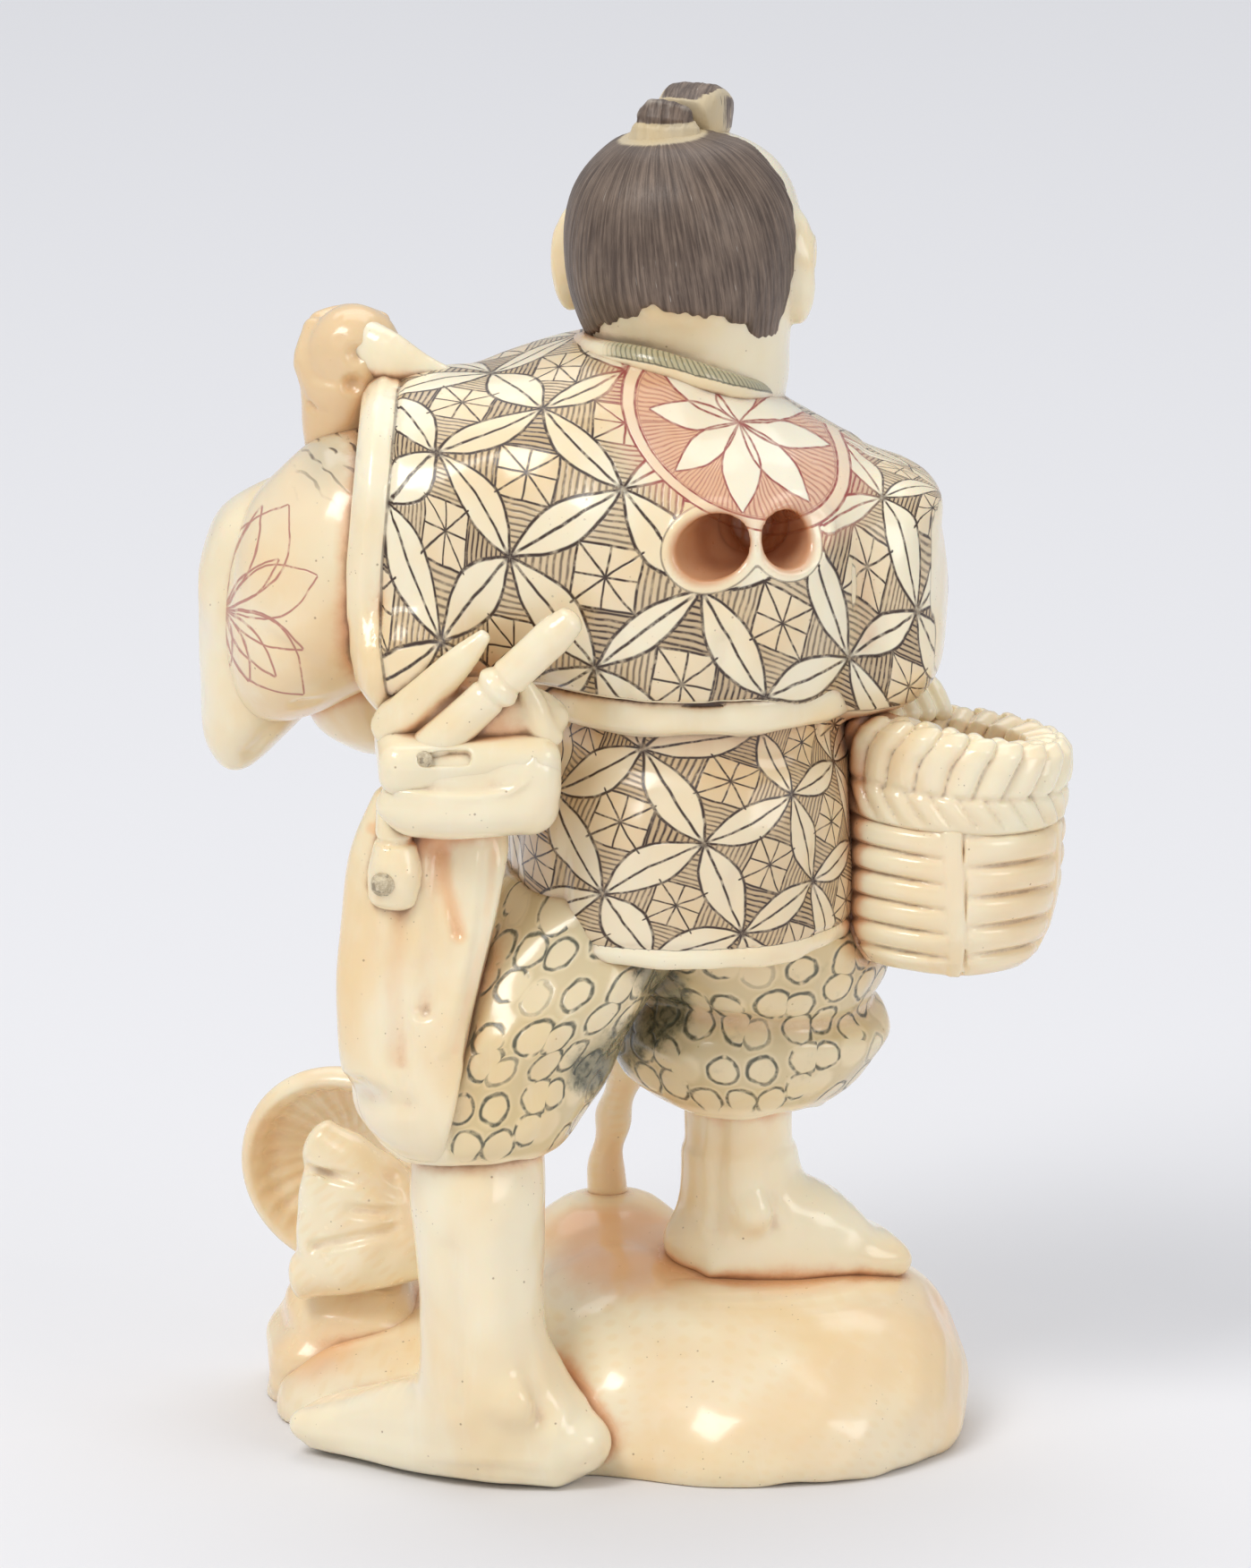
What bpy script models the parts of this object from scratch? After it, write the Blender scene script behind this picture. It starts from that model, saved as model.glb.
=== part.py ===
# An ivory netsuke: a standing figure in a patterned robe with a basket at the right hip,
# seen from behind when looking along +Y. The figure's face looks towards +Y.
# Every size below is in millimetres. MM turns it into metres when a mesh is made.

import bpy
import bmesh
from math import cos, pi, radians, sin
from mathutils import Matrix, Vector

MM = 0.001

# Fits between the carved pieces
SEAM = 0.3
INLAY_SEAM = 0.15

# Share of the facet counts written below that the solids get
FINENESS = 0.56

# Ground
MOUND_HALF_WIDTH = 9.0
MOUND_HALF_DEPTH = 10.2
MOUND_HEIGHT = 6.7
FOOT_PAD_HEIGHT = 0.7
ROCK_HEIGHT = 5.3
STRUT_RADIUS = 0.75
DISH_RADIUS = 4.7
DISH_THICKNESS = 0.8
DISH_DEPTH = 1.5
DISH_X = -12.6
DISH_Y = 6.4
DISH_TURN = -16.0
DISH_TILT = -82.0
FLUTE_COUNT = 4
FLUTE_RADIUS = 1.25

# Legs
LEFT_CALF_RADIUS = 2.75
RIGHT_CALF_RADIUS = 2.35
LEFT_KNEE_HEIGHT = 15.4
RIGHT_KNEE_HEIGHT = 16.4
LEFT_HEM_HEIGHT = 14.2
RIGHT_HEM_HEIGHT = 14.3

# Robe
HEM_HEIGHT = 22.5
WAIST_HEIGHT = 31.2
TROUSER_TUCK_SHARE = 0.31
CROTCH_HEIGHT = HEM_HEIGHT + TROUSER_TUCK_SHARE * (WAIST_HEIGHT - HEM_HEIGHT)
# The right trouser leg ends this much lower inside the skirt than the left one
RIGHT_TUCK_STEP = 0.5
SHOULDER_HEIGHT = 47.9
# The rise from waist to shoulder for which drops and half heights are written
DRAWN_RISE = 16.7
RISE_SCALE = (SHOULDER_HEIGHT - WAIST_HEIGHT) / DRAWN_RISE
WAIST_X = 2.5
WAIST_HALF_WIDTH = 6.3
WAIST_HALF_DEPTH = 6.3
HEM_HALF_WIDTH = 7.4
HEM_HALF_DEPTH = 8.1
BACK_HALF_WIDTH = 9.8
BACK_HALF_DEPTH = 8.6
LEFT_CUFF_X = -12.2
LEFT_CUFF_HALF_HEIGHT = 6.4 * RISE_SCALE
LEFT_CUFF_HALF_DEPTH = 6.3
RIGHT_SLEEVE_X = 9.7
RIGHT_SLEEVE_HALF_WIDTH = 3.5
RIGHT_SLEEVE_HALF_DEPTH = 5.5
SASH_HEIGHT = 2.4
SASH_PROUD = 0.75
KNOT_RADIUS = 1.9
COLLAR_RADIUS = 0.85
LEFT_CORD_HOLE_RADIUS = 1.45
RIGHT_CORD_HOLE_RADIUS = 1.3
CORD_HOLE_SPACING = 3.7
CORD_HOLE_DEPTH = 4.6
CORD_HOLE_X = 4.9
CORD_HOLE_DROP = 7.0

# Head and hair
HEAD_X = 2.0
HEAD_Y = 1.8
HEAD_RISE = 2.8
HEAD_HALF_WIDTH = 4.55
HEAD_HALF_DEPTH = 5.5
HEAD_HALF_HEIGHT = 5.55
HEAD_TURN = -14.0
NECK_RADIUS = 3.4
HAIR_THICKNESS = 0.5
HAIRLINE_TEETH = 9
EAR_HEIGHT = 3.0
TUFT_HALF_WIDTH = 1.1
FOLD_RADIUS = 1.35

# Arms
CUFF_LINING_HALF_HEIGHT = 6.0 * RISE_SCALE
CUFF_LINING_HALF_DEPTH = 5.4
DRAPE_HALF_DEPTH = 4.3
FIST_RADIUS = 2.1
LEFT_WRIST_RADIUS = 1.45
RIGHT_WRIST_RADIUS = 1.5
STRAP_RADIUS = 0.8
FINGER_RADIUS = 0.55
GRIP_TURN = 125.0

# Basket
BASKET_X = 12.9
BASKET_Y = -0.5
BASKET_DROP = 0.3
BASKET_RADIUS = 4.85
BASKET_HEIGHT = 9.9
BASKET_LEAN = 4.0
BASKET_WALL = 1.3
BASKET_HOLLOW = 3.2
BASKET_RIBS = 6
RIM_HEIGHT = 3.2
RIM_PETALS = 22
PETAL_RELIEF = 0.3

# Things on the belt
POUCH_X = -7.0
POUCH_Y = -8.2
POUCH_DROP = 0.3
POUCH_WIDTH = 7.6
POUCH_HEIGHT = 4.3
POUCH_DEPTH = 4.4
FLAP_HEIGHT = 2.2
SLOT_LENGTH = 2.9
SLOT_WIDTH = 0.75
POUCH_INLAY_RADIUS = 0.36
PIPE_RADIUS = 0.78
TOGGLE_HALF_WIDTH = 1.15
TOGGLE_INLAY_RADIUS = 0.5
APRON_THICKNESS = 1.3

# Colours as base colour and roughness
IVORY = ((0.88, 0.80, 0.62), 0.30)
IVORY_WARM = ((0.84, 0.68, 0.48), 0.35)
IVORY_PATTERNED = ((0.74, 0.66, 0.50), 0.32)
HAIR_STAIN = ((0.085, 0.065, 0.058), 0.45)
INLAY_GREY = ((0.36, 0.33, 0.28), 0.40)


def clear_scene():
    for item in list(bpy.data.objects):
        bpy.data.objects.remove(item)


def material(name, finish):
    colour, roughness = finish
    made = bpy.data.materials.new(name)
    made.use_nodes = True
    shader = made.node_tree.nodes["Principled BSDF"]
    shader.inputs["Base Color"].default_value = (*colour, 1.0)
    shader.inputs["Roughness"].default_value = roughness
    shader.inputs["Metallic"].default_value = 0.0
    return made


# Curves and sections


def between(a, b, t):
    return tuple(x + (y - x) * t for x, y in zip(a, b))


def below(drop):
    """A height under the shoulder, which follows the robe's rise above the waist."""
    return SHOULDER_HEIGHT - drop * RISE_SCALE


def smooth_stations(stations, rows):
    """Rows of numbers on a smooth curve through the stations, ends included."""
    last = len(stations) - 1
    found = []
    for step in range(rows):
        place = last * step / (rows - 1)
        k = min(int(place), last - 1)
        t = place - k
        p1 = stations[k]
        p2 = stations[k + 1]
        p0 = stations[k - 1] if k > 0 else p1
        p3 = stations[k + 2] if k + 2 <= last else p2
        row = []
        for a, b, c, d in zip(p0, p1, p2, p3):
            slope_in = (c - a) / 2
            slope_out = (d - b) / 2
            row.append(
                b * (2 * t**3 - 3 * t**2 + 1)
                + c * (3 * t**2 - 2 * t**3)
                + slope_in * (t**3 - 2 * t**2 + t)
                + slope_out * (t**3 - t**2)
            )
        found.append(tuple(row))
    return found


def oval(centre, across, up, half_across, half_up, sides, power=2.0):
    """Points round a superellipse; a power over 2 squares its corners."""
    points = []
    for k in range(sides):
        turn = 2 * pi * k / sides
        c, s = cos(turn), sin(turn)
        u = half_across * (abs(c) ** (2 / power)) * (1 if c >= 0 else -1)
        v = half_up * (abs(s) ** (2 / power)) * (1 if s >= 0 else -1)
        points.append(Vector(centre) + Vector(across) * u + Vector(up) * v)
    return points


def stood_out(profile, by, closed=False):
    """A profile of (radius, height), moved out to the right of its direction."""
    count = len(profile)
    moved = []
    for k, (radius, height) in enumerate(profile):
        before = profile[k - 1] if closed or k else profile[0]
        after = profile[(k + 1) % count] if closed or k < count - 1 else profile[-1]
        along = Vector((after[0] - before[0], after[1] - before[1])).normalized()
        moved.append((radius + along.y * by, height - along.x * by))
    return moved


def solid_from(mesh_data, label):
    bmesh.ops.recalc_face_normals(mesh_data, faces=mesh_data.faces)
    mesh = bpy.data.meshes.new(label)
    mesh_data.to_mesh(mesh)
    mesh_data.free()
    made = bpy.data.objects.new(label + "_solid", mesh)
    bpy.context.collection.objects.link(made)
    return made


def skin(rings, label):
    """One closed body over rings that have the same number of points."""
    shape = bmesh.new()
    rows = [[shape.verts.new(Vector(p) * MM) for p in ring] for ring in rings]
    sides = len(rings[0])
    for low, high in zip(rows, rows[1:]):
        for k in range(sides):
            n = (k + 1) % sides
            shape.faces.new((low[k], low[n], high[n], high[k]))
    for row in (rows[0], rows[-1]):
        middle = shape.verts.new(sum((v.co for v in row), Vector()) / sides)
        for k in range(sides):
            shape.faces.new((row[k], row[(k + 1) % sides], middle))
    return solid_from(shape, label)


def fewer(count, least):
    return max(least, round(count * FINENESS))


class Carver:
    """Makes the solids. Their skins stand out by grow, which cuts a neighbour's seat."""

    def __init__(self, grow):
        self.grow = grow
        self.forms = {}

    def keep(self, name, *solids):
        self.forms[name] = solids

    def level_loft(self, stations, label, sides=24, rows=12, power=2.0):
        """Level sections, each (height, x, y, half width, half depth)."""
        g = self.grow
        sides, rows = fewer(sides, 8), fewer(rows, 4)
        found = smooth_stations(stations, rows)
        upward = 1 if found[-1][0] > found[0][0] else -1
        rings = []
        for k, (z, x, y, half_x, half_y) in enumerate(found):
            if k == 0:
                z -= g * upward
            if k == rows - 1:
                z += g * upward
            rings.append(
                oval((x, y, z), (1, 0, 0), (0, 1, 0), half_x + g, half_y + g, sides, power)
            )
        return skin(rings, label)

    def path_loft(
        self, stations, label, sides=14, rows=10, side_axis=(0, 0, 1), nose=0.5, power=2.0
    ):
        """Sections square to a path, each (x, y, z, half across, half along side_axis)."""
        g = self.grow
        sides, rows = fewer(sides, 7), fewer(rows, 2)
        found = smooth_stations(stations, rows)
        centres = [Vector(row[:3]) for row in found]
        last = len(found) - 1
        dome = (38, 72) if sides > 7 else (50,)
        rings = []

        def domed(k, ahead, across, up, turns):
            for turn in turns:
                reach = (nose * found[k][3] + g) * sin(radians(turn))
                shrink = cos(radians(turn))
                rings.append(
                    oval(
                        centres[k] + ahead * reach,
                        across,
                        up,
                        (found[k][3] + g) * shrink,
                        (found[k][4] + g) * shrink,
                        sides,
                        power,
                    )
                )

        for k, row in enumerate(found):
            ahead = centres[min(k + 1, last)] - centres[max(k - 1, 0)]
            ahead.normalize()
            across = ahead.cross(Vector(side_axis)).normalized()
            up = across.cross(ahead).normalized()
            if k == 0 and nose:
                domed(k, -ahead, across, up, reversed(dome))
            centre = centres[k]
            if not nose and k in (0, last):
                centre = centre + ahead * g * (1 if k else -1)
            rings.append(oval(centre, across, up, row[3] + g, row[4] + g, sides, power))
            if k == last and nose:
                domed(k, ahead, across, up, dome)
        return skin(rings, label)

    def ball(self, centre, halves, label, sides=16, rings=10, turn=0.0):
        """An ellipsoid, turned about the vertical by some degrees."""
        shape = bmesh.new()
        bmesh.ops.create_uvsphere(
            shape, u_segments=fewer(sides, 8), v_segments=fewer(rings, 6), radius=1.0
        )
        placed = (
            Matrix.Translation(Vector(centre) * MM)
            @ Matrix.Rotation(radians(turn), 4, "Z")
            @ Matrix.Diagonal((*((h + self.grow) * MM for h in halves), 1.0))
        )
        bmesh.ops.transform(shape, matrix=placed, verts=shape.verts)
        return solid_from(shape, label)

    def block(self, centre, sizes, label, tilt=(0.0, 0.0, 0.0), round_by=0.0, steps=2):
        """A box, turned by degrees about X, Y and Z, with rounded edges."""
        shape = bmesh.new()
        bmesh.ops.create_cube(shape, size=1.0)
        stretched = Matrix.Diagonal((*((s + 2 * self.grow) * MM for s in sizes), 1.0))
        bmesh.ops.transform(shape, matrix=stretched, verts=shape.verts)
        if round_by:
            bmesh.ops.bevel(
                shape,
                geom=shape.edges[:],
                offset=(round_by + self.grow) * MM,
                segments=steps,
                profile=0.5,
                affect="EDGES",
            )
        turned_by = Matrix.Translation(Vector(centre) * MM)
        for angle, axis in zip(tilt, "XYZ"):
            turned_by = turned_by @ Matrix.Rotation(radians(angle), 4, axis)
        bmesh.ops.transform(shape, matrix=turned_by, verts=shape.verts)
        return solid_from(shape, label)

    def rod(self, start, end, radius, label, sides=20):
        """A straight cylinder between two points."""
        g = self.grow
        a, b = Vector(start), Vector(end)
        ahead = (b - a).normalized()
        reference = Vector((0, 0, 1)) if abs(ahead.z) < 0.9 else Vector((1, 0, 0))
        across = ahead.cross(reference).normalized()
        up = across.cross(ahead)
        return skin(
            [
                oval(p, across, up, radius + g, radius + g, sides)
                for p in (a - ahead * g, b + ahead * g)
            ],
            label,
        )

    def turned(self, profile, label, sides=32):
        """A profile of (radius, height), with the solid on its left, about the Z axis."""
        rings = [
            oval((0, 0, height), (1, 0, 0), (0, 1, 0), radius, radius, sides)
            for radius, height in stood_out(profile, self.grow)
        ]
        return skin(rings, label)


# Joining and cutting


def apply_boolean(body, other, operation):
    cutter = body.modifiers.new(operation.title(), "BOOLEAN")
    cutter.operation = operation
    cutter.object = other
    cutter.solver = "EXACT"
    scene_state = bpy.context.evaluated_depsgraph_get()
    result = bpy.data.meshes.new_from_object(body.evaluated_get(scene_state))
    body.modifiers.clear()
    old = body.data
    body.data = result
    bpy.data.meshes.remove(old)


def keep_largest(body):
    """Drops crumbs that a cut left apart from the piece."""
    shape = bmesh.new()
    shape.from_mesh(body.data)
    unseen = set(shape.verts)
    groups = []
    while unseen:
        start = unseen.pop()
        group = {start}
        waiting = [start]
        while waiting:
            v = waiting.pop()
            for edge in v.link_edges:
                far = edge.other_vert(v)
                if far not in group:
                    group.add(far)
                    waiting.append(far)
        unseen -= group
        groups.append(group)
    groups.sort(key=len, reverse=True)
    for group in groups[1:]:
        bmesh.ops.delete(shape, geom=list(group), context="VERTS")
    shape.to_mesh(body.data)
    shape.free()


WHOLE = Carver(0.0)
SEATS = Carver(SEAM)
INLAY_SEATS = Carver(INLAY_SEAM)
PIECES = []


def piece(name, finish, seats=(), inlays=(), cuts=()):
    """Joins the form's solids and cuts the seats of the pieces that enter it."""
    first, *others = WHOLE.forms[name]
    body = bpy.data.objects.new(name, first.data.copy())
    bpy.context.collection.objects.link(body)
    for other in others:
        apply_boolean(body, other, "UNION")
    cutters = [solid for seat in seats for solid in SEATS.forms[seat]]
    cutters += [solid for seat in inlays for solid in INLAY_SEATS.forms[seat]]
    for cutter in [*cutters, *cuts]:
        apply_boolean(body, cutter, "DIFFERENCE")
    keep_largest(body)
    body.data.materials.clear()
    body.data.materials.append(material(name, finish))
    body.data.shade_smooth()
    body.data.set_sharp_from_angle(angle=radians(40))
    PIECES.append(body)


# Ground, rock, shell and strut


def ground_forms(carver):
    w, d, h = MOUND_HALF_WIDTH, MOUND_HALF_DEPTH, MOUND_HEIGHT
    mound = carver.level_loft(
        [
            (0.0, 5.2, 1.0, w - 0.35, d - 0.3),
            (0.16 * h, 5.3, 1.0, w, d),
            (0.45 * h, 5.3, 1.3, w - 0.2, d - 0.6),
            (0.7 * h, 5.2, 1.9, w - 0.9, d - 1.8),
            (0.88 * h, 5.0, 2.6, w - 2.0, d - 3.2),
            (0.97 * h, 4.8, 3.0, w - 3.8, d - 5.0),
            (1.0 * h, 4.7, 3.2, w - 6.0, d - 7.2),
        ],
        "mound",
        sides=36,
        rows=13,
        power=2.2,
    )
    left_ground = carver.level_loft(
        [
            (0.0, -8.3, 3.4, 7.3, 6.9),
            (1.4, -8.2, 3.5, 7.2, 6.8),
            (2.8, -7.4, 4.4, 6.6, 5.7),
            (4.0, -5.5, 5.6, 5.4, 4.4),
            (4.8, -4.0, 6.4, 3.0, 2.6),
        ],
        "left_ground",
        sides=28,
        rows=8,
        power=2.2,
    )
    rear_hump = carver.level_loft(
        [
            (0.0, -2.0, 3.0, 5.2, 8.2),
            (2.0, -2.0, 4.2, 5.1, 7.0),
            (4.5, -1.8, 6.0, 4.6, 5.2),
            (6.5, -1.5, 7.2, 3.6, 3.7),
            (7.9, -1.3, 8.0, 2.0, 2.0),
            (8.2, -1.3, 8.2, 0.9, 0.9),
        ],
        "rear_hump",
        sides=20,
        rows=8,
    )
    foot_pad = carver.path_loft(
        [
            (-3.4, -7.8, FOOT_PAD_HEIGHT / 2, 1.8, FOOT_PAD_HEIGHT / 2),
            (-6.4, -6.4, FOOT_PAD_HEIGHT / 2, 2.5, FOOT_PAD_HEIGHT / 2),
            (-9.6, -4.4, FOOT_PAD_HEIGHT / 2, 2.5, FOOT_PAD_HEIGHT / 2),
            (-12.2, -2.6, FOOT_PAD_HEIGHT / 2, 2.0, FOOT_PAD_HEIGHT / 2),
        ],
        "foot_pad",
        sides=12,
        rows=7,
        nose=0.6,
        power=4.0,
    )
    carver.keep("base_mound", mound, left_ground, rear_hump, foot_pad)

    rock = carver.level_loft(
        [
            (0.0, -12.4, 6.0, 3.5, 4.3),
            (1.8, -12.4, 6.0, 3.6, 4.3),
            (0.72 * ROCK_HEIGHT, -12.3, 6.0, 3.1, 3.7),
            (1.0 * ROCK_HEIGHT, -12.0, 6.1, 2.2, 2.8),
        ],
        "rock",
        sides=14,
        rows=6,
        power=3.0,
    )
    carver.keep("rock", rock)

    strut = carver.path_loft(
        [
            (-1.2, 8.4, 6.6, STRUT_RADIUS * 1.5, STRUT_RADIUS * 1.4),
            (-1.3, 8.2, 9.2, STRUT_RADIUS, STRUT_RADIUS),
            (-0.9, 7.4, 12.0, STRUT_RADIUS, STRUT_RADIUS),
            (-0.1, 6.0, 15.2, STRUT_RADIUS * 1.3, STRUT_RADIUS * 1.2),
            (0.9, 4.2, 18.2, STRUT_RADIUS * 1.4, STRUT_RADIUS * 1.3),
        ],
        "strut",
        sides=10,
        rows=10,
        side_axis=(1, 0, 0),
    )
    carver.keep("strut", strut)


def dish_form(carver):
    """A round dish with a thick rim, turned a little to the left."""
    r, t, deep = DISH_RADIUS, DISH_THICKNESS, DISH_DEPTH
    profile = [
        (0.5, deep),
        (0.4 * r, deep * 0.8),
        (0.72 * r, deep * 0.35),
        (r - t, -0.3 * t),
        (r - 0.45 * t, -0.75 * t),
        (r, -0.3 * t),
        (r, 0.55 * t),
        (0.8 * r, deep * 0.4 + t),
        (0.45 * r, deep * 0.85 + t),
        (0.5, deep + t),
    ]
    made = carver.turned(profile, "dish", sides=20)
    centre = (DISH_X, DISH_Y, ROCK_HEIGHT + r - 0.3)
    placed = (
        Matrix.Translation(Vector(centre) * MM)
        @ Matrix.Rotation(radians(DISH_TURN), 4, "Z")
        @ Matrix.Rotation(radians(DISH_TILT), 4, "X")
    )
    made.data.transform(placed)
    carver.keep("shell_back_valve", made)


def flute_form(carver):
    """Flutes that fan out from a hidden hinge beside the left calf."""
    hinge = Vector((-7.6, 4.4, ROCK_HEIGHT + 1.7))
    flutes = []
    for k in range(FLUTE_COUNT):
        share = k / (FLUTE_COUNT - 1)
        tip_height = ROCK_HEIGHT + 6.7 - 5.9 * share
        tip = Vector((DISH_X - 1.0 - 0.9 * share, 3.0 - 0.7 * share, tip_height))
        middle = hinge.lerp(tip, 0.6) + Vector((0, -0.9, 0.3))
        flutes.append(
            carver.path_loft(
                [
                    (*hinge, 1.1, 1.3),
                    (*middle, FLUTE_RADIUS, FLUTE_RADIUS * 1.15),
                    (*tip, FLUTE_RADIUS * 0.8, FLUTE_RADIUS * 0.75),
                ],
                "flute",
                sides=10,
                rows=6,
                side_axis=(0, 1, 0),
            )
        )
    carver.keep("shell_front_valve", *flutes)


# Legs and trousers


def leg_forms(carver):
    r = LEFT_CALF_RADIUS
    left_calf = carver.level_loft(
        [
            (1.4, -5.4, -7.0, r + 1.0, r + 0.1),
            (3.6, -5.9, -7.1, r + 0.75, r + 0.3),
            (6.2, -6.4, -7.1, r, r + 0.1),
            (9.0, -6.6, -6.9, r - 0.05, r),
            (12.4, -6.7, -6.5, r + 0.1, r + 0.15),
            (LEFT_KNEE_HEIGHT, -6.7, -6.1, r - 0.1, r),
        ],
        "left_calf",
        sides=20,
        rows=11,
    )
    low = FOOT_PAD_HEIGHT
    left_foot = carver.path_loft(
        [
            (-3.0, -8.0, low + 1.5, 1.75, 1.5),
            (-5.6, -7.0, low + 2.0, 2.5, 2.0),
            (-8.4, -5.4, low + 1.7, 2.75, 1.7),
            (-10.9, -3.6, low + 1.15, 2.6, 1.15),
            (-12.2, -2.7, low + 0.8, 2.4, 0.8),
        ],
        "left_foot",
        sides=16,
        rows=9,
        nose=0.35,
        power=2.6,
    )
    left_toes = toes(carver, (-12.7, -2.35, low + 0.75), (-0.86, 0.5), 2.05, 0.72, 5)
    carver.keep("left_leg", left_calf, left_foot, *left_toes)

    r = RIGHT_CALF_RADIUS
    sole = MOUND_HEIGHT
    right_calf = carver.level_loft(
        [
            (sole + 0.5, 4.3, 1.9, r + 0.3, r - 0.1),
            (sole + 2.2, 4.5, 1.9, r + 0.15, r),
            (sole + 4.2, 4.4, 1.8, r, r + 0.1),
            (sole + 6.6, 4.4, 1.8, r - 0.05, r + 0.15),
            (RIGHT_KNEE_HEIGHT, 4.4, 1.9, r, r + 0.1),
        ],
        "right_calf",
        sides=18,
        rows=8,
    )
    right_foot = carver.path_loft(
        [
            (3.0, 1.5, sole + 1.3, 1.6, 1.4),
            (5.2, 2.0, sole + 2.1, 2.1, 2.1),
            (7.6, 2.8, sole + 1.7, 2.25, 1.75),
            (9.4, 3.4, sole + 0.85, 2.2, 0.95),
            (10.2, 3.7, sole + 0.6, 2.05, 0.7),
        ],
        "right_foot",
        sides=16,
        rows=8,
        nose=0.35,
        power=2.6,
    )
    right_toes = toes(carver, (10.6, 3.85, sole + 0.5), (0.94, 0.33), 1.75, 0.62, 5)
    carver.keep("right_leg", right_calf, right_foot, *right_toes)


def toes(carver, ball_of_foot, ahead, half_spread, radius, count):
    """Short round toes side by side, the inner one the longest."""
    x, y, z = ball_of_foot
    ax, ay = ahead
    made = []
    for k in range(count):
        side = half_spread * (2 * k / (count - 1) - 1)
        inner = 1 - k / (count - 1) if ax < 0 else k / (count - 1)
        reach = 0.15 + 0.35 * (1 - inner)
        size = radius * (0.8 + 0.3 * (1 - inner))
        start = (x - ay * side - ax * 0.6, y + ax * side - ay * 0.6, z)
        end = (x - ay * side + ax * reach, y + ax * side + ay * reach, z - 0.1)
        made.append(
            carver.path_loft(
                [(*start, size, size * 0.9), (*end, size * 0.95, size * 0.85)],
                "toe",
                sides=8,
                rows=2,
                nose=0.9,
            )
        )
    return made


def trouser_forms(carver):
    top, low = CROTCH_HEIGHT, LEFT_HEM_HEIGHT
    drop = top - low
    left = carver.level_loft(
        [
            (top, -1.4, -1.0, 4.4, 5.4),
            (top - 0.18 * drop, -2.6, -1.8, 5.2, 5.8),
            (top - 0.40 * drop, -4.4, -3.2, 5.5, 5.7),
            (top - 0.62 * drop, -5.9, -4.4, 5.3, 5.3),
            (top - 0.79 * drop, -6.7, -5.2, 5.0, 4.9),
            (top - 0.92 * drop, -6.9, -5.7, 4.4, 4.3),
            (low, -6.9, -5.9, 3.5, 3.5),
        ],
        "left_trousers",
        sides=26,
        rows=12,
    )
    carver.keep("left_trouser_leg", left)
    top, low = CROTCH_HEIGHT - RIGHT_TUCK_STEP, RIGHT_HEM_HEIGHT
    drop = top - low
    right = carver.level_loft(
        [
            (top, 3.6, 0.4, 4.8, 5.6),
            (top - 0.2 * drop, 4.4, 0.8, 5.7, 5.9),
            (top - 0.42 * drop, 4.9, 1.4, 6.0, 5.8),
            (top - 0.58 * drop, 4.9, 1.6, 5.5, 5.2),
            (top - 0.72 * drop, 4.8, 1.7, 6.0, 5.6),
            (top - 0.88 * drop, 4.6, 1.8, 5.2, 5.0),
            (low, 4.5, 1.9, 3.6, 3.6),
        ],
        "right_trousers",
        sides=26,
        rows=13,
    )
    carver.keep("right_trouser_leg", right)


# Robe, belt and collar


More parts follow.
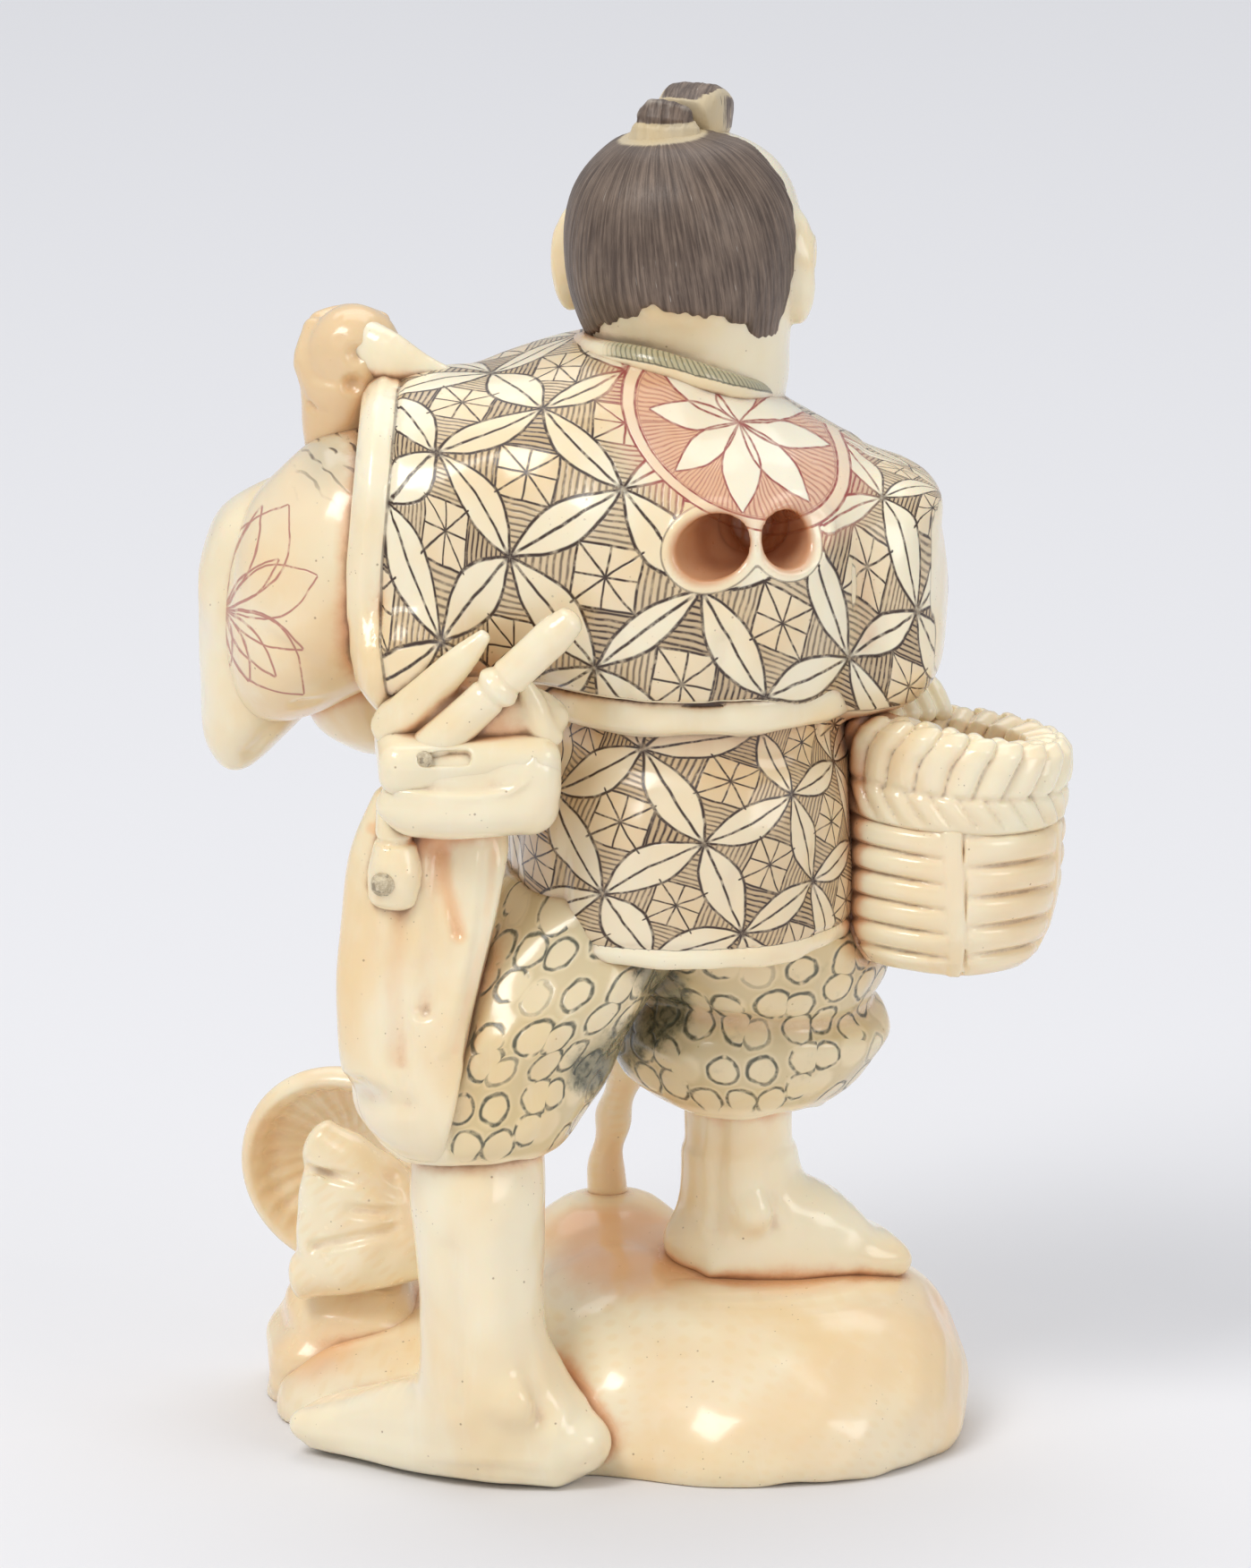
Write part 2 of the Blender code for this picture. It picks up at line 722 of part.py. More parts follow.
def robe_forms(carver):
    w, d = BACK_HALF_WIDTH, BACK_HALF_DEPTH
    low, s = WAIST_HEIGHT, SHOULDER_HEIGHT
    rise = s - low
    torso = carver.level_loft(
        [
            (low - 1.6, WAIST_X, -0.6, WAIST_HALF_WIDTH - 0.7, WAIST_HALF_DEPTH - 0.7),
            (low, WAIST_X, -0.6, WAIST_HALF_WIDTH - 0.3, WAIST_HALF_DEPTH - 0.3),
            (low + 0.13 * rise, 2.3, -0.7, WAIST_HALF_WIDTH + 0.5, WAIST_HALF_DEPTH + 0.9),
            (low + 0.27 * rise, 1.9, -0.8, w - 1.5, d - 0.4),
            (low + 0.45 * rise, 1.3, -0.7, w - 0.2, d),
            (low + 0.62 * rise, 1.0, -0.5, w - 0.2, d - 0.3),
            (low + 0.73 * rise, 0.2, -0.2, w - 0.8, d - 1.0),
            (low + 0.82 * rise, -0.9, 0.1, w - 2.2, d - 2.0),
            (low + 0.90 * rise, -1.1, 0.4, w - 3.9, d - 3.2),
            (low + 0.96 * rise, -0.2, 0.7, w - 5.6, d - 4.3),
            (low + 1.0 * rise, 0.7, 0.9, w - 7.4, d - 5.8),
        ],
        "torso",
        sides=34,
        rows=20,
        power=2.15,
    )
    cuff_x, half_d, half_h = LEFT_CUFF_X, LEFT_CUFF_HALF_DEPTH, LEFT_CUFF_HALF_HEIGHT
    left_sleeve = carver.path_loft(
        [
            (1.0, -0.4, below(7.6), half_d + 0.9, half_h - 0.2),
            (cuff_x + 9.2, -0.6, below(7.8), half_d + 1.1, half_h + 0.4),
            (cuff_x + 5.2, -0.6, below(8.3), half_d + 0.8, half_h + 0.7),
            (cuff_x + 2.2, -0.5, below(8.8), half_d + 0.4, half_h + 0.6),
            (cuff_x + 0.8, -0.5, below(9.2), half_d, half_h + 0.2),
            (cuff_x, -0.5, below(9.3), half_d - 0.2, half_h),
        ],
        "left_sleeve",
        sides=28,
        rows=11,
        nose=0.0,
        power=2.2,
    )
    x, hw, hd = RIGHT_SLEEVE_X, RIGHT_SLEEVE_HALF_WIDTH, RIGHT_SLEEVE_HALF_DEPTH
    right_sleeve = carver.level_loft(
        [
            (below(15.8), x - 0.7, 0.6, hw - 1.3, hd - 2.0),
            (below(15.0), x - 0.4, 0.5, hw - 0.5, hd - 0.9),
            (below(13.4), x - 0.1, 0.4, hw - 0.05, hd - 0.1),
            (below(10.4), x, 0.3, hw, hd),
            (below(8.1), x - 0.1, 0.2, hw - 0.15, hd - 0.3),
            (below(6.6), x - 0.2, 0.2, hw - 0.2, hd - 1.0),
            (below(5.6), x - 0.9, 0.2, hw - 0.7, hd - 2.0),
            (below(4.8), x - 1.9, 0.2, hw - 1.9, hd - 3.2),
        ],
        "right_sleeve",
        sides=20,
        rows=13,
        power=2.3,
    )
    carver.keep("robe_body", torso, left_sleeve, right_sleeve)
    carver.keep("torso", torso)

    w, d = HEM_HALF_WIDTH, HEM_HALF_DEPTH
    drop = WAIST_HEIGHT - HEM_HEIGHT
    skirt = carver.level_loft(
        [
            (WAIST_HEIGHT, WAIST_X, -0.5, WAIST_HALF_WIDTH - 0.2, WAIST_HALF_DEPTH - 0.1),
            (HEM_HEIGHT + 0.86 * drop, 2.4, -0.5, w - 0.6, d - 1.1),
            (HEM_HEIGHT + 0.62 * drop, 2.1, -0.4, w - 0.1, d - 0.25),
            (HEM_HEIGHT + 0.34 * drop, 2.0, -0.3, w, d),
            (HEM_HEIGHT + 0.1 * drop, 1.9, -0.3, w + 0.05, d + 0.05),
            (HEM_HEIGHT, 1.9, -0.3, w - 0.15, d - 0.15),
        ],
        "skirt",
        sides=34,
        rows=10,
        power=2.15,
    )
    carver.keep("robe_skirt", skirt)

    half = SASH_HEIGHT / 2
    wide, deep = WAIST_HALF_WIDTH + SASH_PROUD, WAIST_HALF_DEPTH + SASH_PROUD
    sash = carver.level_loft(
        [
            (WAIST_HEIGHT - half, WAIST_X, -0.55, wide - 0.6, deep - 0.6),
            (WAIST_HEIGHT - 0.7 * half, WAIST_X, -0.55, wide - 0.1, deep - 0.1),
            (WAIST_HEIGHT, WAIST_X, -0.55, wide, deep),
            (WAIST_HEIGHT + 0.7 * half, WAIST_X, -0.55, wide - 0.1, deep - 0.1),
            (WAIST_HEIGHT + half, WAIST_X, -0.55, wide - 0.6, deep - 0.6),
        ],
        "sash",
        sides=34,
        rows=6,
        power=2.1,
    )
    carver.keep("sash", sash)

    front = deep - 0.55
    knot_x = WAIST_X - 0.6
    knot = carver.ball(
        (knot_x, front + 0.3, WAIST_HEIGHT),
        (KNOT_RADIUS, 0.65 * KNOT_RADIUS, 0.8 * KNOT_RADIUS),
        "knot",
        sides=14,
        rings=8,
    )
    tails = [
        carver.path_loft(
            [
                (knot_x + side * 0.5, front + 0.3, WAIST_HEIGHT - 0.2 * side, 0.8, 0.5),
                (knot_x + side * 1.3, front + 1.0, WAIST_HEIGHT - 3.2, 1.1, 0.5),
                (knot_x + side * 1.9, front + 1.3, WAIST_HEIGHT - 5.8, 1.3, 0.45),
            ],
            "tail",
            sides=10,
            rows=6,
            side_axis=(0, 1, 0),
            nose=0.2,
            power=2.6,
        )
        for side in (-1, 1)
    ]
    carver.keep("sash_knot", knot, *tails)

    r = COLLAR_RADIUS
    collar = carver.path_loft(
        [
            (3.2, BACK_HALF_DEPTH - 0.5, below(8.4), r * 1.2, r * 0.8),
            (0.9, BACK_HALF_DEPTH - 0.8, below(5.8), r * 1.2, r * 0.8),
            (-1.6, BACK_HALF_DEPTH - 2.5, below(2.6), r * 1.15, r * 0.85),
            (-2.4, 2.6, below(0.2), r, r),
            (-1.7, -1.0, below(-0.1), r, r),
            (1.0, -3.0, below(0.35), r, r),
            (3.9, -2.4, below(1.2), r, r),
            (5.2, 0.6, below(2.1), r, r),
            (5.4, 4.0, below(3.1), r * 1.15, r * 0.85),
            (4.6, BACK_HALF_DEPTH - 1.6, below(5.0), r * 1.2, r * 0.8),
        ],
        "collar",
        sides=10,
        rows=30,
        nose=0.4,
    )
    carver.keep("collar", collar)


def cord_holes():
    """Two bores that meet inside the back, as the cord of a netsuke needs."""
    back = -BACK_HALF_DEPTH - 2.2
    height = below(CORD_HOLE_DROP)
    meet = (CORD_HOLE_X, -BACK_HALF_DEPTH + CORD_HOLE_DEPTH - 0.7, height)
    bores = []
    for side, radius in ((-1, LEFT_CORD_HOLE_RADIUS), (1, RIGHT_CORD_HOLE_RADIUS)):
        mouth_x = CORD_HOLE_X + side * (CORD_HOLE_SPACING / 2 + 0.8)
        mouth = (mouth_x, back, height + 0.1 * side)
        past = between(mouth, meet, 1.12)
        bores.append(WHOLE.rod(mouth, past, radius, "bore", sides=16))
    return bores


# Head, hair and topknot


def at_head(right, ahead, up):
    """A point given from the middle of the turned head."""
    offset = Matrix.Rotation(radians(HEAD_TURN), 3, "Z") @ Vector((right, ahead, up))
    return tuple(Vector((HEAD_X, HEAD_Y, SHOULDER_HEIGHT + HEAD_RISE)) + offset)


def head_forms(carver):
    x, y, s = HEAD_X, HEAD_Y, SHOULDER_HEIGHT
    w, d, h = HEAD_HALF_WIDTH, HEAD_HALF_DEPTH, HEAD_HALF_HEIGHT
    skull = carver.ball(at_head(0, 0, 0), (w, d, h), "skull", sides=22, rings=14, turn=HEAD_TURN)
    jaw = carver.ball(
        at_head(0, 0.34 * d, -0.42 * h),
        (0.78 * w, 0.66 * d, 0.56 * h),
        "jaw",
        sides=18,
        rings=10,
        turn=HEAD_TURN,
    )
    nose = carver.ball(
        at_head(0, 1.0 * d, -0.18 * h),
        (0.62, 0.75, 1.05),
        "nose",
        sides=10,
        rings=8,
        turn=HEAD_TURN,
    )
    ears = [
        carver.ball(
            at_head(side * 0.99 * w, -0.04 * d, -0.08 * h),
            (0.55, 0.95, EAR_HEIGHT / 2 + 0.2),
            "ear",
            sides=10,
            rings=8,
            turn=HEAD_TURN + side * 18,
        )
        for side in (-1, 1)
    ]
    neck = carver.path_loft(
        [
            (x - 0.3, y - 0.9, s - 3.3, NECK_RADIUS, NECK_RADIUS),
            (x - 0.2, y - 0.8, s - 0.9, NECK_RADIUS, NECK_RADIUS),
            (x, y - 0.4, s + 1.7, NECK_RADIUS + 0.2, NECK_RADIUS + 0.2),
        ],
        "neck",
        sides=20,
        rows=5,
        side_axis=(0, 1, 0),
        nose=0.0,
    )
    carver.keep("head", skull, jaw, nose, neck, *ears)
    carver.keep("head_in_robe", skull, jaw, neck)

    t = HAIR_THICKNESS
    cap = carver.ball(
        at_head(0, -0.1, -0.05),
        (w + t, d + t, h + t),
        "cap",
        sides=28,
        rings=17,
        turn=HEAD_TURN,
    )
    carver.keep("hair_cap", cap)


def hair_cuts():
    """The shaved crown and face in front, and the uneven neckline below."""
    w, d, h = HEAD_HALF_WIDTH, HEAD_HALF_DEPTH, HEAD_HALF_HEIGHT
    reach = 4 * w
    front = WHOLE.block(
        at_head(0, 0.30 * d + reach / 2, 0),
        (reach, reach, reach),
        "front_cut",
        tilt=(0, 0, HEAD_TURN),
    )
    front.data.transform(
        Matrix.Translation(Vector(at_head(0, 0, 0)) * MM)
        @ Matrix.Rotation(radians(HEAD_TURN), 4, "Z")
        @ Matrix.Rotation(radians(24), 4, "X")
        @ Matrix.Rotation(radians(-HEAD_TURN), 4, "Z")
        @ Matrix.Translation(Vector(at_head(0, 0, 0)) * -MM)
    )
    shape = bmesh.new()
    count = 2 * HAIRLINE_TEETH
    ring_low, ring_high = [], []
    for k in range(count):
        angle = 2 * pi * k / count
        across = sin(angle)
        lift = 0.35 if k % 2 else 0.0
        side_drop = 2.3 * across**2
        edge = at_head(
            2 * w * across,
            -2 * w * cos(angle),
            -0.14 * h - side_drop + lift,
        )
        ring_high.append(shape.verts.new(Vector(edge) * MM))
        ring_low.append(
            shape.verts.new(Vector((edge[0], edge[1], edge[2] - 2 * h)) * MM)
        )
    for k in range(count):
        n = (k + 1) % count
        shape.faces.new((ring_low[k], ring_low[n], ring_high[n], ring_high[k]))
    for ring in (ring_low, ring_high):
        middle = shape.verts.new(sum((v.co for v in ring), Vector()) / count)
        for k in range(count):
            shape.faces.new((ring[k], ring[(k + 1) % count], middle))
    neckline = solid_from(shape, "neckline")
    return [front, neckline]


def topknot_forms(carver):
    h = HEAD_HALF_HEIGHT
    t = TUFT_HALF_WIDTH
    tuft = carver.path_loft(
        [
            (*at_head(-0.6, -1.2, h - 0.6), t * 1.35, t * 1.1),
            (*at_head(-0.6, -1.0, h + 0.9), t * 1.1, t * 0.85),
            (*at_head(-0.4, -0.5, h + 1.75), t * 0.95, t * 0.75),
        ],
        "tuft",
        sides=12,
        rows=6,
        side_axis=(0, 1, 0),
        nose=0.4,
    )
    carver.keep("topknot_tuft", tuft)
    f = FOLD_RADIUS
    fold = carver.path_loft(
        [
            (*at_head(-0.3, 0.2, h + 1.2), f * 0.85, f * 0.55),
            (*at_head(-0.1, 1.4, h + 1.35), f * 0.95, f * 0.75),
            (*at_head(0.1, 2.9, h + 0.75), f * 0.95, f * 0.6),
            (*at_head(0.15, 3.8, h + 0.0), f * 0.7, f * 0.45),
        ],
        "fold",
        sides=14,
        rows=8,
        nose=0.5,
        power=2.5,
    )
    carver.keep("topknot_fold", fold)


# Arms and hands


def left_arm_forms(carver):
    """The plain sleeve out of the left cuff, its hanging cloth and the raised fist."""
    hd, hh = CUFF_LINING_HALF_DEPTH, CUFF_LINING_HALF_HEIGHT
    c = LEFT_CUFF_X
    lining = carver.path_loft(
        [
            (c + 2.8, -0.5, below(9.1), 0.89 * hd, 0.85 * hh),
            (c + 0.8, -0.4, below(9.4), 0.94 * hd, 0.90 * hh),
            (c - 1.2, 0.0, below(10.3), hd, 0.98 * hh),
            (c - 3.2, 0.7, below(11.5), 0.89 * hd, 0.83 * hh),
            (c - 4.3, 1.2, below(12.1), 0.63 * hd, 0.60 * hh),
            (c - 4.8, 1.5, below(12.4), 0.33 * hd, 0.28 * hh),
        ],
        "lining",
        sides=24,
        rows=11,
        nose=0.3,
    )
    carver.keep("left_under_sleeve", lining)

    d = DRAPE_HALF_DEPTH
    drape = carver.level_loft(
        [
            (below(6.7), c - 1.8, 2.9, 1.5, 0.45 * d),
            (below(8.3), c - 2.8, 2.8, 2.9, 0.85 * d),
            (below(10.9), c - 3.2, 2.7, 3.2, d),
            (below(13.9), c - 3.4, 2.6, 3.0, d),
            (below(16.5), c - 4.0, 2.3, 2.35, 0.75 * d),
            (below(18.0), c - 4.6, 2.0, 1.5, 0.48 * d),
            (below(19.1), c - 4.9, 1.8, 0.5, 0.18 * d),
        ],
        "drape",
        sides=22,
        rows=12,
    )
    inner_fold = carver.ball(
        (c + 1.3, 3.6, below(15.9)), (3.4, 3.6, 2.9), "inner_fold", sides=14, rings=8
    )
    carver.keep("left_sleeve_drape", drape, inner_fold)

    r = FIST_RADIUS
    fist_at = Vector((c - 0.3, 1.5, below(1.0)))
    fist = carver.ball(fist_at, (r, r * 0.95, r * 1.02), "fist", sides=16, rings=10)
    wrist = carver.path_loft(
        [
            (c - 0.8, 1.2, below(6.9), LEFT_WRIST_RADIUS, LEFT_WRIST_RADIUS),
            (c - 0.7, 1.3, below(4.3), LEFT_WRIST_RADIUS, LEFT_WRIST_RADIUS),
            (c - 0.4, 1.5, below(1.9), LEFT_WRIST_RADIUS * 1.15, LEFT_WRIST_RADIUS * 1.1),
        ],
        "wrist",
        sides=14,
        rows=5,
        side_axis=(0, 1, 0),
    )
    f = FINGER_RADIUS
    fingers = []
    for k in range(4):
        knuckle = fist_at + Vector((0, 0, -1.9 * f * k))
        fingers.append(
            carver.path_loft(
                [
                    (*(knuckle + Vector((0.52 * r, 0.67 * r, 0.52 * r))), f, f),
                    (*(knuckle + Vector((-0.05 * r, 1.0 * r, 0.57 * r))), f * 1.05, f * 1.05),
                    (*(knuckle + Vector((-0.67 * r, 0.67 * r, 0.48 * r))), f, f),
                ],
                "finger",
                sides=8,
                rows=5,
                nose=0.9,
            )
        )
    thumb = carver.path_loft(
        [
            (*(fist_at + Vector((-1.0, -0.9, -1.6))), f * 1.27, f * 1.27),
            (*(fist_at + Vector((-1.8, -0.3, -0.3))), f * 1.24, f * 1.24),
            (*(fist_at + Vector((-1.6, 0.5, 1.0))), f * 1.1, f * 1.1),
        ],
        "thumb",
        sides=9,
        rows=5,
        side_axis=(0, 1, 0),
        nose=0.9,
    )
    carver.keep("left_hand", fist, wrist, thumb, *fingers)

    t = STRAP_RADIUS
    strap = carver.path_loft(
        [
            (*(fist_at + Vector((0.7, -0.5, 1.0))), t, t * 1.15),
            (c + 1.8, 0.6, below(0.4), t * 0.9, t),
            (c + 3.2, 0.2, below(1.3), t * 0.75, t * 0.8),
            (c + 4.6, 0.0, below(2.0), t * 0.6, t * 0.6),
        ],
        "strap",
        sides=10,
        rows=7,
    )
    carver.keep("shoulder_strap", strap)


def basket_place(unit=1.0):
    """Where the basket stands: its foot's middle, and its lean to the right."""
    foot = Vector((BASKET_X, BASKET_Y, WAIST_HEIGHT - BASKET_DROP - BASKET_HEIGHT))
    return Matrix.Translation(foot * unit) @ Matrix.Rotation(radians(BASKET_LEAN), 4, "Y")


def at_rim(beyond, aside, up):
    """A point near the gripped place of the basket's rim, given from that place."""
    turn = radians(GRIP_TURN)
    out = Vector((cos(turn), sin(turn), 0))
    along = Vector((-sin(turn), cos(turn), 0))
    spot = out * (BASKET_RADIUS + beyond) + along * aside
    return tuple(basket_place() @ (spot + Vector((0, 0, BASKET_HEIGHT + up))))


def right_arm_forms(carver):
    """The hand that comes down out of the right sleeve and hooks over the rim."""
    wr = RIGHT_WRIST_RADIUS
    sleeve = carver.path_loft(
        [
            (RIGHT_SLEEVE_X - 0.6, 3.1, below(11.3), wr * 1.05, wr * 1.1),
            (*at_rim(1.85, 0.1, 2.3), wr * 1.2, wr * 1.25),
        ],
        "forearm_sleeve",
        sides=14,
        rows=6,
        side_axis=(1, 0, 0),
        nose=0.2,
    )
    carver.keep("right_under_sleeve", sleeve)

    palm = carver.path_loft(
        [
            (*at_rim(1.72, 0.1, 3.0), wr * 0.75, wr * 0.7),
            (*at_rim(1.7, 0.0, 0.9), wr * 0.95, wr * 0.75),
            (*at_rim(1.6, 0.0, -0.8), wr * 1.1, wr * 0.6),
        ],
        "palm",
        sides=12,
        rows=6,
        side_axis=(1, 0, 0),
    )
    f = FINGER_RADIUS * 0.9
    grip = []
    for k in range(4):
        aside = (k - 1.5) * 1.9 * f
        grip.append(
            carver.path_loft(
                [
                    (*at_rim(1.3, aside * 0.9, 0.1), f, f),
                    (*at_rim(0.2, aside, 1.0), f * 1.05, f * 1.05),
                    (*at_rim(-1.0, aside, 0.9), f, f),
                    (*at_rim(-2.1, aside * 0.9, 0.2), f * 0.9, f * 0.9),
                ],
                "grip",
                sides=8,
                rows=7,
                nose=0.9,
            )
        )
    carver.keep("right_hand", palm, *grip)
    carver.keep("right_palm", palm)


# Basket


def basket_forms(carver):
    r, tall = BASKET_RADIUS, BASKET_HEIGHT
    rim_low = tall - RIM_HEIGHT
    placed = basket_place(MM)
    profile = [(0.62 * r, 0.0), (0.78 * r, 0.25)]
    for k in range(BASKET_RIBS):
        low = 0.5 + (rim_low - 0.6) * k / BASKET_RIBS
        high = 0.5 + (rim_low - 0.6) * (k + 1) / BASKET_RIBS
        bulge = r * (0.86 + 0.14 * min(1.0, (k + 0.8) / 2.4))
        profile.append((bulge - 0.22, low))
        profile.append((bulge, low + 0.3 * (high - low)))
        profile.append((bulge, low + 0.75 * (high - low)))
    profile.append((r - 0.25, rim_low - 0.1))
    profile.append((r - 0.7, rim_low))
    profile.append((r - 0.7, tall - 0.9))
    profile.append((r - BASKET_WALL, tall - 0.9))
    profile.append((r - BASKET_WALL - 0.3, tall - BASKET_HOLLOW))
    body = carver.turned(profile, "basket_body", sides=22)
    body.data.transform(placed)
    carver.keep("basket", body)

    section = [
        (r - BASKET_WALL + 0.1, rim_low + 1.6),
        (r - 0.1, rim_low + 0.3),
        (r + 0.0, rim_low + 0.9),
        (r - 0.05, rim_low + 1.5),
        (r + 0.05, rim_low + 2.3),
        (r - 0.25, tall - 0.15),
        (r - 0.8, tall + 0.1),
        (r - BASKET_WALL, tall - 0.3),
    ]
    slants = (0.0, 0.0, 0.5, 0.9, 0.3, -0.2, -0.6, -0.9)
    reliefs = (0.0, 0.0, 1.0, 1.0, 1.0, 1.0, 1.0, 1.0)
    steps = 3 * RIM_PETALS
    shape = bmesh.new()
    rings = []
    for k in range(steps):
        turn = 2 * pi * k / steps
        ring = []
        for (radius, height), slant, relief in zip(
            stood_out(section, carver.grow, closed=True), slants, reliefs
        ):
            phase = RIM_PETALS * turn + slant * pi
            out = radius + relief * PETAL_RELIEF * (abs(cos(phase / 2)) - 0.5)
            point = Vector((out * cos(turn), out * sin(turn), height))
            ring.append(shape.verts.new(point * MM))
        rings.append(ring)
    for k in range(steps):
        here, there = rings[k], rings[(k + 1) % steps]
        for n in range(len(section)):
            m = (n + 1) % len(section)
            shape.faces.new((here[n], there[n], there[m], here[m]))
    rim = solid_from(shape, "rim")
    rim.data.transform(placed)
    carver.keep("basket_rim", rim)


# Pouch, pipe case, toggle and apron


def pouch_centre():
    return (POUCH_X, POUCH_Y, WAIST_HEIGHT - POUCH_DROP)


def slot_centre():
    """The middle of the long slot on the flap's outer face."""
    x, y, z = pouch_centre()
    return (
        x - 0.9,
        y - 0.4 - POUCH_DEPTH / 2,
        z + POUCH_HEIGHT / 2 - FLAP_HEIGHT / 2 + 0.25,
    )


def pouch_slot():
    return WHOLE.block(
        slot_centre(),
        (SLOT_LENGTH, 0.9, SLOT_WIDTH),
        "slot",
        tilt=(4, 0, 3),
        round_by=0.3,
    )


def belt_forms(carver):
    x, y, z = pouch_centre()
    w, d, h = POUCH_WIDTH, POUCH_DEPTH, POUCH_HEIGHT
    waist = WAIST_HEIGHT
    pouch = carver.block(
        (x, y + 0.2, z - 0.15),
        (w - 0.3, d - 0.2, h),
        "pouch",
        tilt=(4, 0, 3),
        round_by=0.9,
        steps=3,
    )
    carver.keep("pouch_body", pouch)
    flap = carver.block(
        (x - 0.1, y - 0.35, z + h / 2 - FLAP_HEIGHT / 2 + 0.15),
        (w + 0.2, d + 0.1, FLAP_HEIGHT),
        "flap",
        tilt=(4, 0, 3),
        round_by=0.55,
        steps=3,
    )
    carver.keep("pouch_flap", flap)
    slot_x, face_y, slot_z = slot_centre()
    pin_x = slot_x - SLOT_LENGTH / 2 + POUCH_INLAY_RADIUS + INLAY_SEAM
    pin = carver.rod(
        (pin_x, face_y + 1.2, slot_z),
        (pin_x, face_y + 0.15, slot_z),
        POUCH_INLAY_RADIUS,
        "pin",
        sides=14,
    )
    carver.keep("pouch_inlay", pin)

    p = PIPE_RADIUS
    top = Vector((x + 4.4, y - 1.7, waist + 6.8))
    low = Vector((x - 1.3, y, waist + 1.0))
    stations = []
    for share, swell in (
        (0.0, 0.75),
        (0.10, 1.0),
        (0.22, 1.0),
        (0.45, 0.92),
        (0.52, 1.12),
        (0.58, 0.95),
        (0.80, 1.05),
        (1.0, 1.1),
    ):
        stations.append((*top.lerp(low, share), p * swell, p * swell))
    pipe = carver.path_loft(stations, "pipe", sides=12, rows=15, nose=0.6)
    carver.keep("pipe_case", pipe)

    fold = carver.path_loft(
        [
            (x - 3.0, y + 1.3, waist + 2.2, 1.5, 1.0),
            (x - 1.0, y + 0.9, waist + 3.2, 1.7, 1.5),
            (x + 1.4, y + 0.4, waist + 3.4, 1.7, 1.6),
            (x + 3.0, y + 0.4, waist + 2.8, 1.3, 1.2),
        ],
        "cloth_fold",
        sides=14,
        rows=7,
        nose=0.5,
    )
    carver.keep("belt_fold", fold)

    t = TOGGLE_HALF_WIDTH
    bead = carver.path_loft(
        [
            (x - 3.2, y + 0.2, z - 1.5, t * 0.6, t * 0.6),
            (x - 3.1, y - 0.1, z - 2.7, t * 0.75, t * 0.8),
            (x - 3.1, y - 0.3, z - 4.0, t, t * 1.05),
            (x - 3.2, y - 0.3, z - 5.1, t * 0.9, t * 0.95),
        ],
        "bead",
        sides=14,
        rows=8,
        side_axis=(0, 1, 0),
        nose=0.5,
        power=2.5,
    )
    carver.keep("toggle_bead", bead)
    disc = carver.rod(
        (x - 3.5, y + 0.3, z - 4.2),
        (x - 3.6, y - 0.35 - 1.05 * t, z - 4.3),
        TOGGLE_INLAY_RADIUS,
        "disc",
        sides=16,
    )
    carver.keep("toggle_inlay", disc)

    a, hem = APRON_THICKNESS, LEFT_HEM_HEIGHT
    apron = carver.level_loft(
        [
            (waist - 1.2, -8.4, -6.1, 2.6, a + 0.5),
            (waist - 4.2, -8.6, -7.0, 3.4, a + 0.4),
            (waist - 7.7, -9.0, -7.6, 3.6, a + 0.3),
            (hem + 6.5, -9.1, -7.7, 3.5, a + 0.9),
            (hem + 3.5, -9.0, -7.6, 3.3, a + 1.3),
            (hem + 1.4, -8.6, -7.4, 2.7, a + 1.2),
            (hem + 0.4, -8.0, -7.3, 1.8, a + 0.6),
        ],
        "apron",
        sides=22,
        rows=13,
        power=2.3,
    )
    carver.keep("apron_cloth", apron)


def make_forms(carver):
    ground_forms(carver)
    dish_form(carver)
    flute_form(carver)
    leg_forms(carver)
    trouser_forms(carver)
    robe_forms(carver)
    head_forms(carver)
    topknot_forms(carver)
    left_arm_forms(carver)
    right_arm_forms(carver)
    basket_forms(carver)
    belt_forms(carver)


